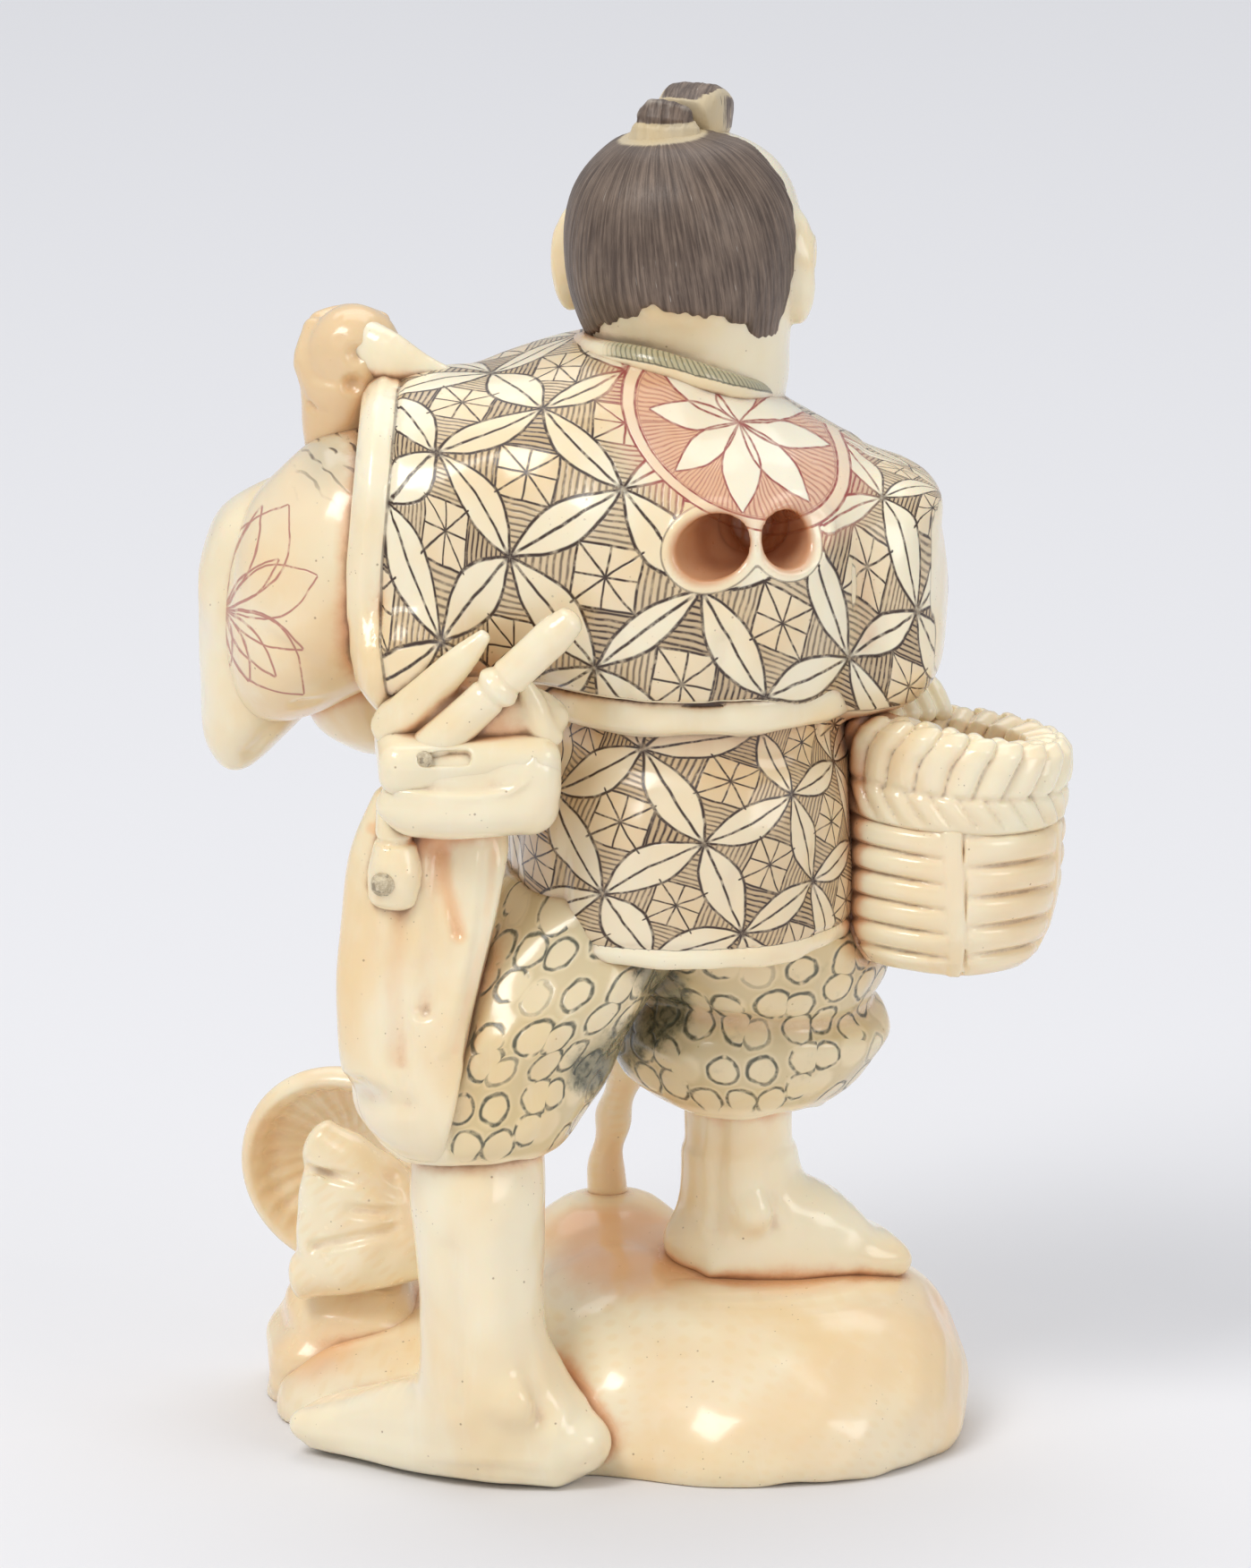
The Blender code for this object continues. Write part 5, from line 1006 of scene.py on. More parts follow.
def carve_shell():
    r, t, deep = DISH_RADIUS, DISH_THICKNESS, DISH_DEPTH
    rows = [(0.0, deep), (0.4 * r, deep * 0.8), (0.72 * r, deep * 0.35), (r - t, -0.3 * t),
        (r - 0.45 * t, -0.75 * t), (r, -0.3 * t), (r, 0.55 * t), (0.8 * r, deep * 0.4 + t),
        (0.45 * r, deep * 0.85 + t), (0.0, deep + t)]
    outline = [tuple(p) for p in smooth_rows(rows, 60)]
    place = stand((DISH_X, DISH_Y, ROCK_HEIGHT + r - 0.3), (DISH_TURN, "Z"), (DISH_TILT, "X"))

    def ribs(angle, radius, height):
        inner = step_up(radius, 0.8, 2.4) * (1 - step_up(radius, r - 1.0, r - 0.5))
        return 0.05 * np.sin(26 * angle + 0.6 * radius) * inner + 0.03 * np.sin(5 * radius)

    carved("shell_back_valve", 0.1, 0.2, [Turned(outline, place, (r + 0.5, -1.5, 3.2), ribs)])

    f = carved("shell_front_valve", 0.11, 1.0)
    for line in (((440, 1322), (400, 1290), (372, 1262)), ((440, 1342), (395, 1325), (340, 1312)),
                 ((438, 1362), (390, 1358), (330, 1352)), ((438, 1380), (395, 1390), (345, 1400))):
        f.groove([shown(f, *p) for p in line], 0.24, 0.34)
    f.groove([shown(f, *p) for p in ((366, 1270), (350, 1330), (338, 1400))], 0.4, -0.2)
    f.carve(lambda x, y, z: 0.03 * np.sin(3.1 * x - 1.2 * z) + hand_cut(x, y, z))


# Legs and trousers


def carve_legs():
    f = carved("left_leg", 0.12, 0.75)
    low = FOOT_PAD_HEIGHT
    # heel, ankle bones and the cords of the heel
    f.add(Ball((-2.6, -8.0, low + 1.2), (1.6, 1.7, 1.35)), 0.8)
    f.add(Ball((-5.2, -9.9, low + 3.4), (0.8, 0.55, 0.75)), 0.9)
    f.add(Ball((-6.5, -4.3, low + 3.5), (0.75, 0.6, 0.7)), 0.9)
    f.groove([(-4.0, -9.7, 3.4), (-4.4, -9.8, 6.5), (-4.9, -9.7, 9.8)], 0.5, 0.26)
    f.groove([(-7.6, -9.5, 4.0), (-7.9, -9.5, 7.2), (-8.0, -9.2, 10.5)], 0.5, 0.2)
    f.groove([(-6.0, -10.1, 6.6), (-6.2, -9.9, 9.0), (-6.3, -9.4, 12.5)], 0.8, -0.12)
    f.by_hand()
    f.end_at(0.05)

    f = carved("right_leg", 0.12, 0.7)
    sole = MOUND_HEIGHT
    f.add(Ball((2.6, 1.6, sole + 1.2), (1.4, 1.5, 1.2)), 0.7)
    f.add(Ball((5.0, -0.4, sole + 3.0), (0.7, 0.5, 0.65)), 0.8)
    f.groove([(3.4, -0.3, sole + 2.2), (3.5, -0.5, sole + 5.0), (3.6, -0.5, sole + 7.5)], 0.45,
        0.22)
    f.groove([(5.9, -0.1, sole + 2.4), (5.8, -0.3, sole + 5.0), (5.7, -0.3, sole + 7.5)], 0.45,
        0.18)
    f.by_hand()


def carve_trousers():
    f = carved("left_trouser_leg", 0.15, 0.5)
    f.carve(lambda x, y, z: 0.10 * np.sin(1.5 * z - 0.9 * x + 0.4 * y)
            * step_up(z, 14.6, 17.0) + 2 * hand_cut(x, y, z))
    for turn in (0.2, 1.1, 2.2, 3.4, 4.6):
        c, s = cos(turn), sin(turn)
        f.groove([(-6.9 + 4.6 * c, -5.7 + 4.6 * s, 14.3), (-6.6 + 5.1 * c, -5.2 + 5.1 * s, 16.6),
            (-5.6 + 5.4 * c, -4.3 + 5.4 * s, 19.0)], 0.45, 0.28)
    f = carved("right_trouser_leg", 0.15, 0.5)
    f.carve(lambda x, y, z: 0.09 * np.sin(1.2 * z + 0.8 * x - 0.5 * y)
            * step_up(z, 15.4, 17.5) + 2 * hand_cut(x, y, z))
    # the crease above the lower roll
    f.groove(loop(24, lambda t: (4.9 + 5.55 * cos(t), 1.6 + 5.25 * sin(t),
        18.9 + 0.35 * sin(2 * t))), 0.4, 0.55)


# Robe


def cuff_edge(z):
    """Where the left sleeve ends, by height."""
    return np.interp(z, [33.0, 34.5, 36.6, 39.6, 43.4, 46.0, 47.0],
        [-11.0, -11.9, -12.17, -12.09, -11.75, -11.5, -11.0])


def shown(f, px, py):
    """The place on a field's skin that the camera sees at a pixel."""
    x, up = spot(px, py)
    y = 0.0
    for _ in range(4):
        y = skin_y(f, x, (up - VIEW_AHEAD * y) / VIEW_UP)
    return (x, y, (up - VIEW_AHEAD * y) / VIEW_UP)


def cord_holes():
    """Each hole's radius and mouth, and the place in the back where the two tunnels meet."""
    height = SHOULDER_HEIGHT - CORD_HOLE_DROP
    meet = (CORD_HOLE_X, -BACK_HALF_DEPTH + CORD_HOLE_DEPTH - 0.7, height)
    for side, radius in ((-1, LEFT_CORD_HOLE_RADIUS), (1, RIGHT_CORD_HOLE_RADIUS)):
        mouth_x = CORD_HOLE_X + side * (CORD_HOLE_SPACING / 2 + 0.8)
        yield radius, (mouth_x, -BACK_HALF_DEPTH - 2.2, height + 0.1 * side), meet


def carve_robe():
    f = carved("robe_body", 0.16, 0.9)
    waist, s = WAIST_HEIGHT, SHOULDER_HEIGHT
    # cloth gathers down to the belt, and folds under the arms
    for x, lean, depth in ((-3.6, 1.6, 0.3), (-0.4, 0.6, 0.22), (3.4, -0.2, 0.2),
                           (6.4, -0.9, 0.26), (8.4, -1.4, 0.2)):
        f.groove([(x, -6.9, waist + 1.4), (x - lean * 0.5, -8.3, waist + 3.4),
            (x - lean, -9.0, waist + 5.6)], 0.45, depth)
    f.groove([(-5.6, -8.6, waist + 3.2), (-7.6, -8.3, waist + 5.0), (-9.6, -7.4, waist + 6.4)],
        0.5, 0.3)
    f.groove([(8.6, -6.6, s - 5.5), (9.6, -5.6, s - 8.5), (9.9, -5.3, s - 12.0)], 0.6, 0.35)
    f.by_hand(1.5, 0.8, 0.8, 0.8)
    # the sleeve's corner behind the fold on the belt
    f.add(Ball((-9.3, -6.2, 35.6), (2.6, 2.6, 2.6)), 1.2)
    # the left sleeve's end with its plain lip and the line beside it
    _, x, y, z = f.whole()
    f.d = smax(f.d, cuff_edge(z) - x, 0.5)
    # the back ends on top of the belt
    low = 34.0 - 0.8 * step_up(x, 4.5, 8.0) - 20 * (step_up(y, -5, -1) + step_up(-x, 5.0, 7.0))
    f.d = smax(f.d, low - z, 0.4).astype(np.float32)

    def lip(x, y, z):
        beside = x - cuff_edge(z)
        return (0.2 * bump(beside - 1.5, 0.16) - 0.26 * bump(beside - 0.62, 0.62)) * (x < -6)

    f.carve(lip)
    # cord holes, their raised rims and the tunnel between them
    for radius, mouth, meet in cord_holes():
        skin = Vector(between(mouth, meet, 0.36))
        ring = loop(24, lambda t: (skin.x + (radius + 0.12) * cos(t) * 1.05,
            skin.z + (radius + 0.12) * sin(t)))
        f.groove([(x, skin_y(f, x, z), z) for x, z in ring], 0.34, -0.34)
    for radius, mouth, meet in cord_holes():
        f.cut(rod(mouth, between(mouth, meet, 1.12), radius - 0.12), 0.3)

    f = carved("robe_skirt", 0.15, 0.5)
    for k, depth in enumerate((0.16, 0.10, 0.2, 0.12, 0.16, 0.18, 0.1, 0.2, 0.14, 0.12, 0.2, 0.1)):
        turn = 2 * pi * k / 12 + 0.3
        c, s2 = cos(turn), sin(turn)
        f.groove([(WAIST_X + 5.6 * c, -0.5 + 5.6 * s2, waist - 0.6),
            (2.3 + 6.9 * c, -0.5 + 7.3 * s2, waist - 3.0),
            (2.0 + 7.4 * c, -0.3 + 8.1 * s2, waist - 6.0)], 0.5, depth)
    f.by_hand(1.5, z_by=0.8)
    f.groove(loop(48, lambda t: (1.9 + 7.45 * cos(t), -0.3 + 8.15 * sin(t), HEM_HEIGHT + 0.95)),
        0.16, 0.16)

    f = carved("sash", 0.11, 0.3)
    f.groove(loop(48, lambda t: (WAIST_X + 7.1 * cos(t), -0.55 + 7.1 * sin(t),
        waist + BELT_LIFT + 0.5 + 0.1 * sin(3 * t))), 0.13, 0.2)
    f.carve(lambda x, y, z: 0.05 * np.sin(1.6 * x + 0.5 * y + 0.8 * np.sin(z)) + hand_cut(x, y, z))

    f = carved("sash_knot", 0.11, 0.35)
    x, y = WAIST_X - 0.6, WAIST_HALF_DEPTH + SASH_PROUD - 0.55 + 0.3
    f.groove([(x - 0.9, y + 1.0, waist + 1.3), (x - 0.2, y + 1.35, waist),
        (x - 0.6, y + 1.0, waist - 1.3)], 0.2, 0.2)
    f.groove([(x + 0.9, y + 1.0, waist + 1.2), (x + 0.5, y + 1.35, waist),
        (x + 0.9, y + 1.0, waist - 1.2)], 0.2, 0.2)
    for side in (-1, 1):
        f.groove([(x + side * 0.9, y + 0.9, waist - 1.6), (x + side * 1.6, y + 1.5, waist - 5.2)],
            0.18, 0.16)

    f = carved("collar", 0.11, 0.3)
    f.by_hand(0.5)


def skin_y(field, x, z):
    """Where the back's skin lies at a place seen from behind."""
    i = int(round((x - field.low[0]) / field.step))
    k = int(round((z - field.low[2]) / field.step))
    line = field.d[i, :, k]
    first = int(np.argmax(line < 0))
    before, after = line[first - 1], line[first]
    return field.low[1] + field.step * (first - 1 + before / (before - after))


# Head and hair


def from_head(x, y, z):
    """Places from the middle of the turned head: right, ahead, up."""
    dx, dy = x - HEAD_X, y - HEAD_Y
    c, s = cos(radians(HEAD_TURN)), sin(radians(HEAD_TURN))
    return c * dx + s * dy, c * dy - s * dx, z - SHOULDER_HEIGHT - HEAD_RISE


def carve_head():
    f = carved("head", 0.12, 0.9)
    w, d, h = HEAD_HALF_WIDTH, HEAD_HALF_DEPTH, HEAD_HALF_HEIGHT

    def add(place, halves, blend, turn=0.0):
        f.add(Ball(at_head(*place), halves, turn=HEAD_TURN + turn), blend)

    def line(points, width, depth):
        f.groove([at_head(*p) for p in points], width, 1.7 * depth)

    add((0, 4.9, -4.5), (1.1, 0.8, 0.8), 0.8)
    f.add(Tube(on_head((0, 5.0, 0.8, 0.32, 0.4), (0, 5.55, -0.4, 0.36, 0.45),
        (0, 5.85, -1.4, 0.5, 0.5)), nose=0.8), 0.5)
    for side in (-1, 1):
        add((side * 2.3, 4.0, -1.7), (1.3, 1.1, 1.2), 1.2)
        add((side * 0.52, 5.55, -1.62), (0.4, 0.42, 0.36), 0.25)
        f.cut(Ball(at_head(side * 1.55, 5.75, 0.1), (1.15, 0.55, 0.62), turn=HEAD_TURN), 0.6)
        add((side * 1.55, 4.85, 0.0), (0.85, 0.6, 0.48), 0.12, side * -14)
        line([(side * 0.72, 5.3, 0.0), (side * 1.5, 5.5, -0.16), (side * 2.35, 4.95, 0.0)],
             0.1, 0.14)
        line([(side * 0.75, 5.4, 0.35), (side * 1.55, 5.4, 0.55), (side * 2.4, 4.9, 0.3)],
             0.1, 0.1)
        line([(side * 0.55, 5.3, 1.15), (side * 1.5, 5.3, 1.5), (side * 2.8, 4.6, 1.2)],
             0.28, -0.16)
        line([(side * 0.95, 5.4, -1.6), (side * 1.5, 5.15, -2.4), (side * 1.7, 4.9, -3.0)],
             0.16, 0.1)
        # the ear's rim, hollow and lobe
        ear = (side * (w + 0.6), 0.06 * d, -0.02 * h)
        f.cut(Ball(at_head(ear[0] + side * 0.45, ear[1] + 0.15, ear[2] + 0.15), (0.4, 0.45, 0.75),
            turn=HEAD_TURN + side * 18), 0.2)
        rim = [(ear[0] + side * 0.15, ear[1] + 0.75, ear[2] + 0.2),
            (ear[0] + side * 0.3, ear[1] + 0.35, ear[2] + 1.25),
            (ear[0] + side * 0.3, ear[1] - 0.45, ear[2] + 1.15),
            (ear[0] + side * 0.3, ear[1] - 0.75, ear[2] + 0.1),
            (ear[0] + side * 0.15, ear[1] - 0.3, ear[2] - 1.2)]
        line(rim, 0.2, -0.16)
    # lips
    f.add(Tube(on_head((-1.15, 4.95, -2.92, 0.1, 0.12), (-0.5, 5.38, -2.78, 0.2, 0.2),
        (0, 5.42, -2.84, 0.2, 0.17), (0.5, 5.38, -2.78, 0.2, 0.2),
        (1.15, 4.95, -2.92, 0.1, 0.12)), nose=1.0), 0.2)
    f.add(Tube(on_head((-0.9, 4.98, -3.15, 0.1, 0.12), (0, 5.35, -3.3, 0.24, 0.22),
        (0.9, 4.98, -3.15, 0.1, 0.12)), nose=1.0), 0.2)
    line([(-1.15, 5.1, -2.98), (0, 5.6, -3.02), (1.15, 5.1, -2.98)], 0.09, 0.14)
    line([(-0.6, 5.0, -3.75), (0, 5.1, -3.8), (0.6, 5.0, -3.75)], 0.25, 0.14)


def strand_turn(right, ahead, up):
    """The turn about the topknot's root, and how far down from it, on the head."""
    pole = Vector((-0.6, -1.1, HEAD_HALF_HEIGHT)).normalized()
    first = pole.cross(Vector((0, 1, 0))).normalized()
    second = pole.cross(first)
    a = right * first.x + ahead * first.y + up * first.z
    b = right * second.x + ahead * second.y + up * second.z
    c = right * pole.x + ahead * pole.y + up * pole.z
    return np.arctan2(a, b), np.arctan2(np.hypot(a, b), c)


def carve_hair():
    f = carved("hair_cap", 0.12, 0.3)
    h = HEAD_HALF_HEIGHT
    right, ahead, up = from_head(*f.whole()[1:])
    front = ahead - 0.11 * up + 0.75 + 0.05 * right
    turn = np.arctan2(right, -ahead)
    tooth = np.abs((turn * HAIRLINE_TEETH / pi + 0.3 * np.sin(5 * turn)) % 2 - 1)
    low = -0.2 * h - 3.0 * np.sin(turn - 0.12) ** 2 + 0.42 * tooth
    low = low + 0.10 * np.sin(23 * turn + 2) + 0.06 * np.sin(57 * turn)
    f.d = smax(f.d, front + 0.05 * np.sin(7 * up + 2 * right), 0.25)
    f.d = smax(f.d, (low - up) * 0.8, 0.15).astype(np.float32)
    around, down = strand_turn(right, ahead, up)
    ridges = np.abs(np.sin(37 * around + 0.8 * np.sin(3 * down + 2 * around)))
    fade = step_up(down, 0.3, 0.9)
    f.d += (0.04 * (1 - ridges) ** 1.5 * fade).astype(np.float32)

    f = carved("topknot_tuft", 0.08, 0.25)
    right, ahead, up = from_head(*f.whole()[1:])
    f.d += (0.07 * np.abs(np.sin(6.5 * right + 0.6 * up)) ** 0.7 - 0.03).astype(np.float32)
    f.groove(loop(16, lambda t: at_head(-0.6 + 1.15 * cos(t), -1.0 + 0.95 * sin(t), h + 0.75)),
        0.15, 0.16)

    f = carved("topknot_fold", 0.08, 0.25)
    right, ahead, up = from_head(*f.whole()[1:])
    f.d += (0.05 * np.abs(np.sin(5.5 * right - 0.9 * ahead)) ** 0.6 - 0.02).astype(np.float32)


# Arms


def carve_arms():
    c, s = LEFT_CUFF_X, SHOULDER_HEIGHT
    f = carved("left_under_sleeve", 0.13, 0.4)
    f.groove([(c + 0.6, -5.4, s - 5.0), (c - 1.0, -5.6, s - 7.0), (c - 1.9, -5.5, s - 9.5)], 0.5,
        0.2)
    f.groove([(c - 0.6, -4.6, s - 14.0), (c - 2.2, -4.9, s - 12.6), (c - 3.6, -3.4, s - 11.4)],
        0.45, 0.2)
    f.groove([(c + 0.2, -4.0, s - 15.2), (c - 1.8, -3.2, s - 15.0), (c - 3.2, -2.0, s - 14.2)],
        0.35, 0.18)
    f.by_hand()

    f = carved("left_sleeve_drape", 0.13, 0.45)
    f.groove([(c - 2.2, 2.0, s - 7.4), (c - 4.3, -0.3, s - 10.0), (c - 4.9, -0.6, s - 14.0),
        (c - 5.0, 0.5, s - 17.0)], 0.3, 0.22)
    f.groove([(c - 1.0, -0.9, s - 15.0), (c - 2.8, -1.0, s - 16.6), (c - 4.2, 0.2, s - 18.0)],
        0.35, 0.25)
    f.groove([(c + 1.0, 0.2, s - 14.6), (c + 1.2, 0.0, s - 16.5), (c + 2.4, 0.9, s - 18.0)], 0.4,
        0.18)
    f.by_hand(1.3)

    f = carved("left_hand", 0.085, 0.22)
    at = Vector((c - 0.3, 1.5, s - 1.0))
    # dimples of the knuckles on the back, and the slit of the closed fingers
    for dx, dy, dz, size in ((-0.15, -2.0, 1.15, 0.4), (-0.45, -2.1, -0.35, 0.45),
                             (0.75, -1.85, 0.4, 0.35), (0.5, -1.8, -1.0, 0.3)):
        f.cut(Ball((at.x + dx, at.y + dy - 0.12, at.z + dz), (size, 0.35, size)), 0.35)
    f.groove([(at.x - 1.75, at.y - 1.3, at.z + 0.6), (at.x - 2.0, at.y - 0.9, at.z - 0.5),
        (at.x - 1.7, at.y - 1.0, at.z - 1.7)], 0.16, 0.3)
    f.groove([(at.x - 1.2, at.y - 1.0, at.z - 2.0), (at.x, at.y - 1.5, at.z - 2.3),
        (at.x + 1.2, at.y - 1.0, at.z - 2.1)], 0.22, 0.2)
    f.by_hand(0.8, 1.4, 1.4, 1.4)

    carved("shoulder_strap", 0.085, 0.25)
    f = carved("right_under_sleeve", 0.11, 0.3)
    f.carve(lambda x, y, z: 0.06 * np.sin(2.4 * z + x) + hand_cut(x, y, z))
    carved("right_hand", 0.09, 0.14)


# Basket


def carve_basket():
    r, tall = BASKET_RADIUS, BASKET_HEIGHT
    rim_low = tall - RIM_HEIGHT
    place = basket_place()
    outline = [(0.0, 0.0), (0.55 * r, 0.0), (0.72 * r, 0.2), (0.85 * r, 0.9), (0.94 * r, 2.0),
        (0.99 * r, 3.4), (1.0 * r, 5.0), (0.99 * r, rim_low), (r - 0.75, rim_low + 0.5),
        (r - 0.75, tall - 0.8), (r - BASKET_WALL, tall - 0.8),
        (r - BASKET_WALL - 0.35, tall - BASKET_HOLLOW), (0.0, tall - BASKET_HOLLOW - 0.25)]

    def weave(angle, radius, height):
        """Blocks of level splints, each beside a plain upright with a crack."""
        outer = step_up(radius, 0.55 * r, 0.75 * r) * (1 - step_up(height, rim_low, rim_low + 0.3))
        turn = (angle + radians(83)) * 5 / (2 * pi) + 0.10 * (height - 5.0) / r
        across = turn - np.floor(turn)
        stake = step_up(across, 0.85, 0.875)
        lens = np.sin(pi * np.clip(across / 0.86, 0, 1)) ** 0.4
        rows = 5 + np.floor(turn) % 2
        level_up = (height - 0.1) / (rim_low - 0.1) * rows + 0.5 * (across - 0.5) ** 2
        saw = level_up - np.floor(level_up)
        groove = bump(np.minimum(saw, 1 - saw), 0.17)
        ridge = np.sin(pi * saw)
        crack = bump(np.minimum(across, 1 - across), 0.012)
        splint = (0.16 * ridge - 0.24 * groove) * lens
        return outer * (splint * (1 - stake) + 0.08 * stake - 0.24 * crack)

    carved("basket", 0.11, 0.1, [Turned(outline, place, (r + 0.6, -0.4, tall + 0.3), weave)])

    ring = [(r - BASKET_WALL + 0.1, rim_low + 1.5), (r - 0.35, rim_low - 0.2),
        (r - 0.02, rim_low + 0.1), (r + 0.02, rim_low + 0.9), (r + 0.0, rim_low + 1.5),
        (r + 0.08, rim_low + 2.2), (r + 0.0, tall - 0.4), (r - 0.35, tall + 0.0),
        (r - 1.0, tall + 0.05), (r - 1.8, tall - 0.2), (r - 1.9, tall - 0.9)]

    def petals(angle, radius, height):
        """Two rows of overlapping leaves that lean against each other."""
        upper = step_up(height, rim_low + 1.3, rim_low + 1.6)
        turn = angle * RIM_PETALS / (2 * pi)
        over = np.where(radius < r - 0.6, 2 * (tall - 0.3) - height, height)
        high = turn - 0.50 * (over - rim_low - 1.45) + 0.06 * np.sin(4 * angle)
        low = 1.15 * turn + 0.70 * (height - rim_low) + 0.3
        relief = 0.0
        for phase, share, deep in ((high, upper, 1.0), (low, 1 - upper, 0.7)):
            saw = phase - np.floor(phase)
            leaf = np.clip(4 * saw * (1 - saw), 0, 1) ** 0.6 * (0.5 + 0.5 * saw)
            relief = relief + share * deep * (0.50 * leaf - 0.26)
        parting = -0.14 * bump(height - rim_low - 1.45, 0.16) * step_up(radius, r - 0.7, r - 0.4)
        return relief * step_up(height, rim_low - 0.1, rim_low + 0.5) + parting

    def raised(angle, height):
        """The near side's leaves stand higher beside the robe."""
        off = np.abs((angle + radians(125) + pi) % (2 * pi) - pi)
        return 1.15 * bump(off, radians(120)) * step_up(height, rim_low + 1.2, tall)

    carved("basket_rim", 0.1, 0.1,
           [Turned(ring, place, (r + 0.7, rim_low - 0.6, tall + 1.6), petals, raised)])


# Things on the belt


def apron_edge(up):
    """How far right the apron reaches at each height of the camera's picture."""
    return np.interp(up, [11.9, 15.2, 19.1, 21.4, 23.4, 25.9],
        [-8.0, -7.5, -6.5, -6.1, -5.7, -5.1])


def hug_trousers(f):
    """The apron's lower part lies on the trouser leg and ends in its hem."""
    _, x, y, z = f.whole()
    leg = FIELDS["left_trouser_leg"]
    full = np.stack(np.broadcast_arrays(x, y, z), -1).reshape(-1, 3)
    away = look_up(leg.d, leg.low, leg.step, full).reshape(f.d.shape)
    outside = np.maximum(leg.low - full, full - leg.low - leg.step * (leg.count - 1)).max(1)
    away = away + np.maximum(outside, 0).reshape(f.d.shape)
    up = VIEW_UP * z + VIEW_AHEAD * y
    right = x - apron_edge(up)
    limit = 0.7 + 14.0 * step_up(z, LEFT_HEM_HEIGHT + 2.5, LEFT_HEM_HEIGHT + 9.0)
    thin = 0.3 * step_up(z, LEFT_HEM_HEIGHT + 0.2, LEFT_HEM_HEIGHT + 2.5)
    wrap = smax(smax(away - thin, y + 3.0, 0.3), LEFT_HEM_HEIGHT + 0.2 - z, 0.3)
    d = smin(smax(f.d, away - limit, 0.6), wrap, 0.6)
    f.d = smax(d, right, 0.2).astype(np.float32)


def carve_belt():
    x, y, z = pouch_centre()
    d = POUCH_DEPTH
    f = carved("pouch_body", 0.1, 0.3)
    face = y - d / 2 + 0.1
    # the swelling of the lower front with its lip, and facets cut on the right
    f.add(Ball((x - 0.3, face + 0.8, z - 0.95), (3.5, 1.35, 1.2)), 0.7)
    f.add(Block((x + 2.2, y + 0.1, z + 0.4), (2.9, d, 2.4), (8, 0, 3), 0.8), 0.5)
    f.groove([(x - 3.0, face - 0.1, z - 0.15), (x - 0.6, face - 0.45, z - 0.3),
        (x + 1.7, face - 0.3, z - 0.1), (x + 2.6, face, z + 0.8), (x + 2.8, face, z + 1.7)], 0.16,
        -0.16)
    f.groove([(x - 3.0, face - 0.1, z + 0.2), (x - 0.6, face - 0.4, z + 0.05),
        (x + 1.4, face - 0.3, z + 0.25)], 0.16, 0.22)
    f.by_hand(0.7)

    f = carved("pouch_flap", 0.09, 0.2)
    sx, sy, sz = slot_centre()
    f.cut(Block((sx - 0.1, sy + 0.35, sz), (SLOT_LENGTH - 0.6, 0.8, 0.6), (13, 0, 3), 0.29), 0.08)
    for side in (1.9, 3.0):
        f.groove([(x + side + 0.5, face - 0.3, z + 2.2), (x + side, face - 0.3, z + 1.2),
            (x + side + 0.1, face - 0.2, z + 0.3)], 0.2, 0.1)
    f.by_hand(0.7)
    carved("pouch_inlay", 0.04, 0.1)

    f = carved("pipe_case", 0.08, 0.2)
    top, low = pipe_ends()
    for share in (0.46, 0.575):
        spot = top.lerp(low, share)
        ahead = (low - top).normalized()
        across = ahead.cross(Vector((0, 0, 1))).normalized()
        up = across.cross(ahead)
        f.groove(loop(16, lambda t: tuple(spot + across * (0.85 * cos(t)) + up * (0.85 * sin(t)))),
            0.1, 0.14)
    f.by_hand(0.7)

    f = carved("belt_fold", 0.1, 0.35)
    f.groove([(x - 2.4, y - 1.0, WAIST_HEIGHT + 1.4), (x - 1.2, y - 1.3, WAIST_HEIGHT + 2.9),
        (x + 0.6, y - 1.4, WAIST_HEIGHT + 4.6)], 0.25, 0.3)
    f.by_hand(0.8)

    f = carved("toggle_bead", 0.08, 0.25)
    f.groove(loop(16, lambda t: (x - 3.1 + 0.85 * cos(t), y - 0.1 + 0.9 * sin(t),
        z - 2.6 + 0.1 * sin(t))), 0.14, 0.2)
    carved("toggle_inlay", 0.04, 0.1)

    f = carved("apron_cloth", 0.14, 0.4)
    hem = LEFT_HEM_HEIGHT
    hug_trousers(f)
    f.groove([shown(f, *p) for p in ((496, 945), (502, 990), (515, 1040))], 0.17, 0.5)
    f.groove([shown(f, *p) for p in ((452, 1010), (444, 1100), (448, 1180))], 0.4, 0.3)
    f.groove([shown(f, *p) for p in ((540, 940), (528, 1040), (496, 1170))], 0.3, -0.25)
    # long upright folds, deepest under the pouch
    f.groove([(-8.2, -8.5, WAIST_HEIGHT - 3.6), (-8.4, -9.4, WAIST_HEIGHT - 6.6),
        (-8.9, -9.6, WAIST_HEIGHT - 10.0)], 0.34, 0.7)
    f.groove([(-6.4, -8.3, WAIST_HEIGHT - 3.4), (-6.4, -9.2, WAIST_HEIGHT - 7.4),
        (-6.8, -9.6, hem + 5.0)], 0.4, 0.35)
    f.groove([(-10.4, -8.0, WAIST_HEIGHT - 4.0), (-11.0, -8.6, WAIST_HEIGHT - 8.0),
        (-11.3, -9.0, hem + 4.0)], 0.35, 0.3)
    f.groove([(-9.4, -9.0, WAIST_HEIGHT - 8.5), (-9.8, -9.6, hem + 5.5), (-9.6, -9.9, hem + 3.0)],
        0.45, 0.25)
    f.by_hand(1.5, z_by=0.7)


# What each skin knows for its material


def blurred(grid, cells):
    """Two passes of a running mean along each axis."""
    for _ in range(2):
        for axis in range(3):
            pad = [(0, 0)] * 3
            pad[axis] = (cells + 1, cells)
            total = np.cumsum(np.pad(grid, pad, mode="edge"), axis=axis, dtype=np.float64)
            hi, lo = [slice(None)] * 3, [slice(None)] * 3
            hi[axis] = slice(2 * cells + 1, None)
            lo[axis] = slice(0, -(2 * cells + 1))
            grid = ((total[tuple(hi)] - total[tuple(lo)]) / (2 * cells + 1)).astype(np.float32)
    return grid


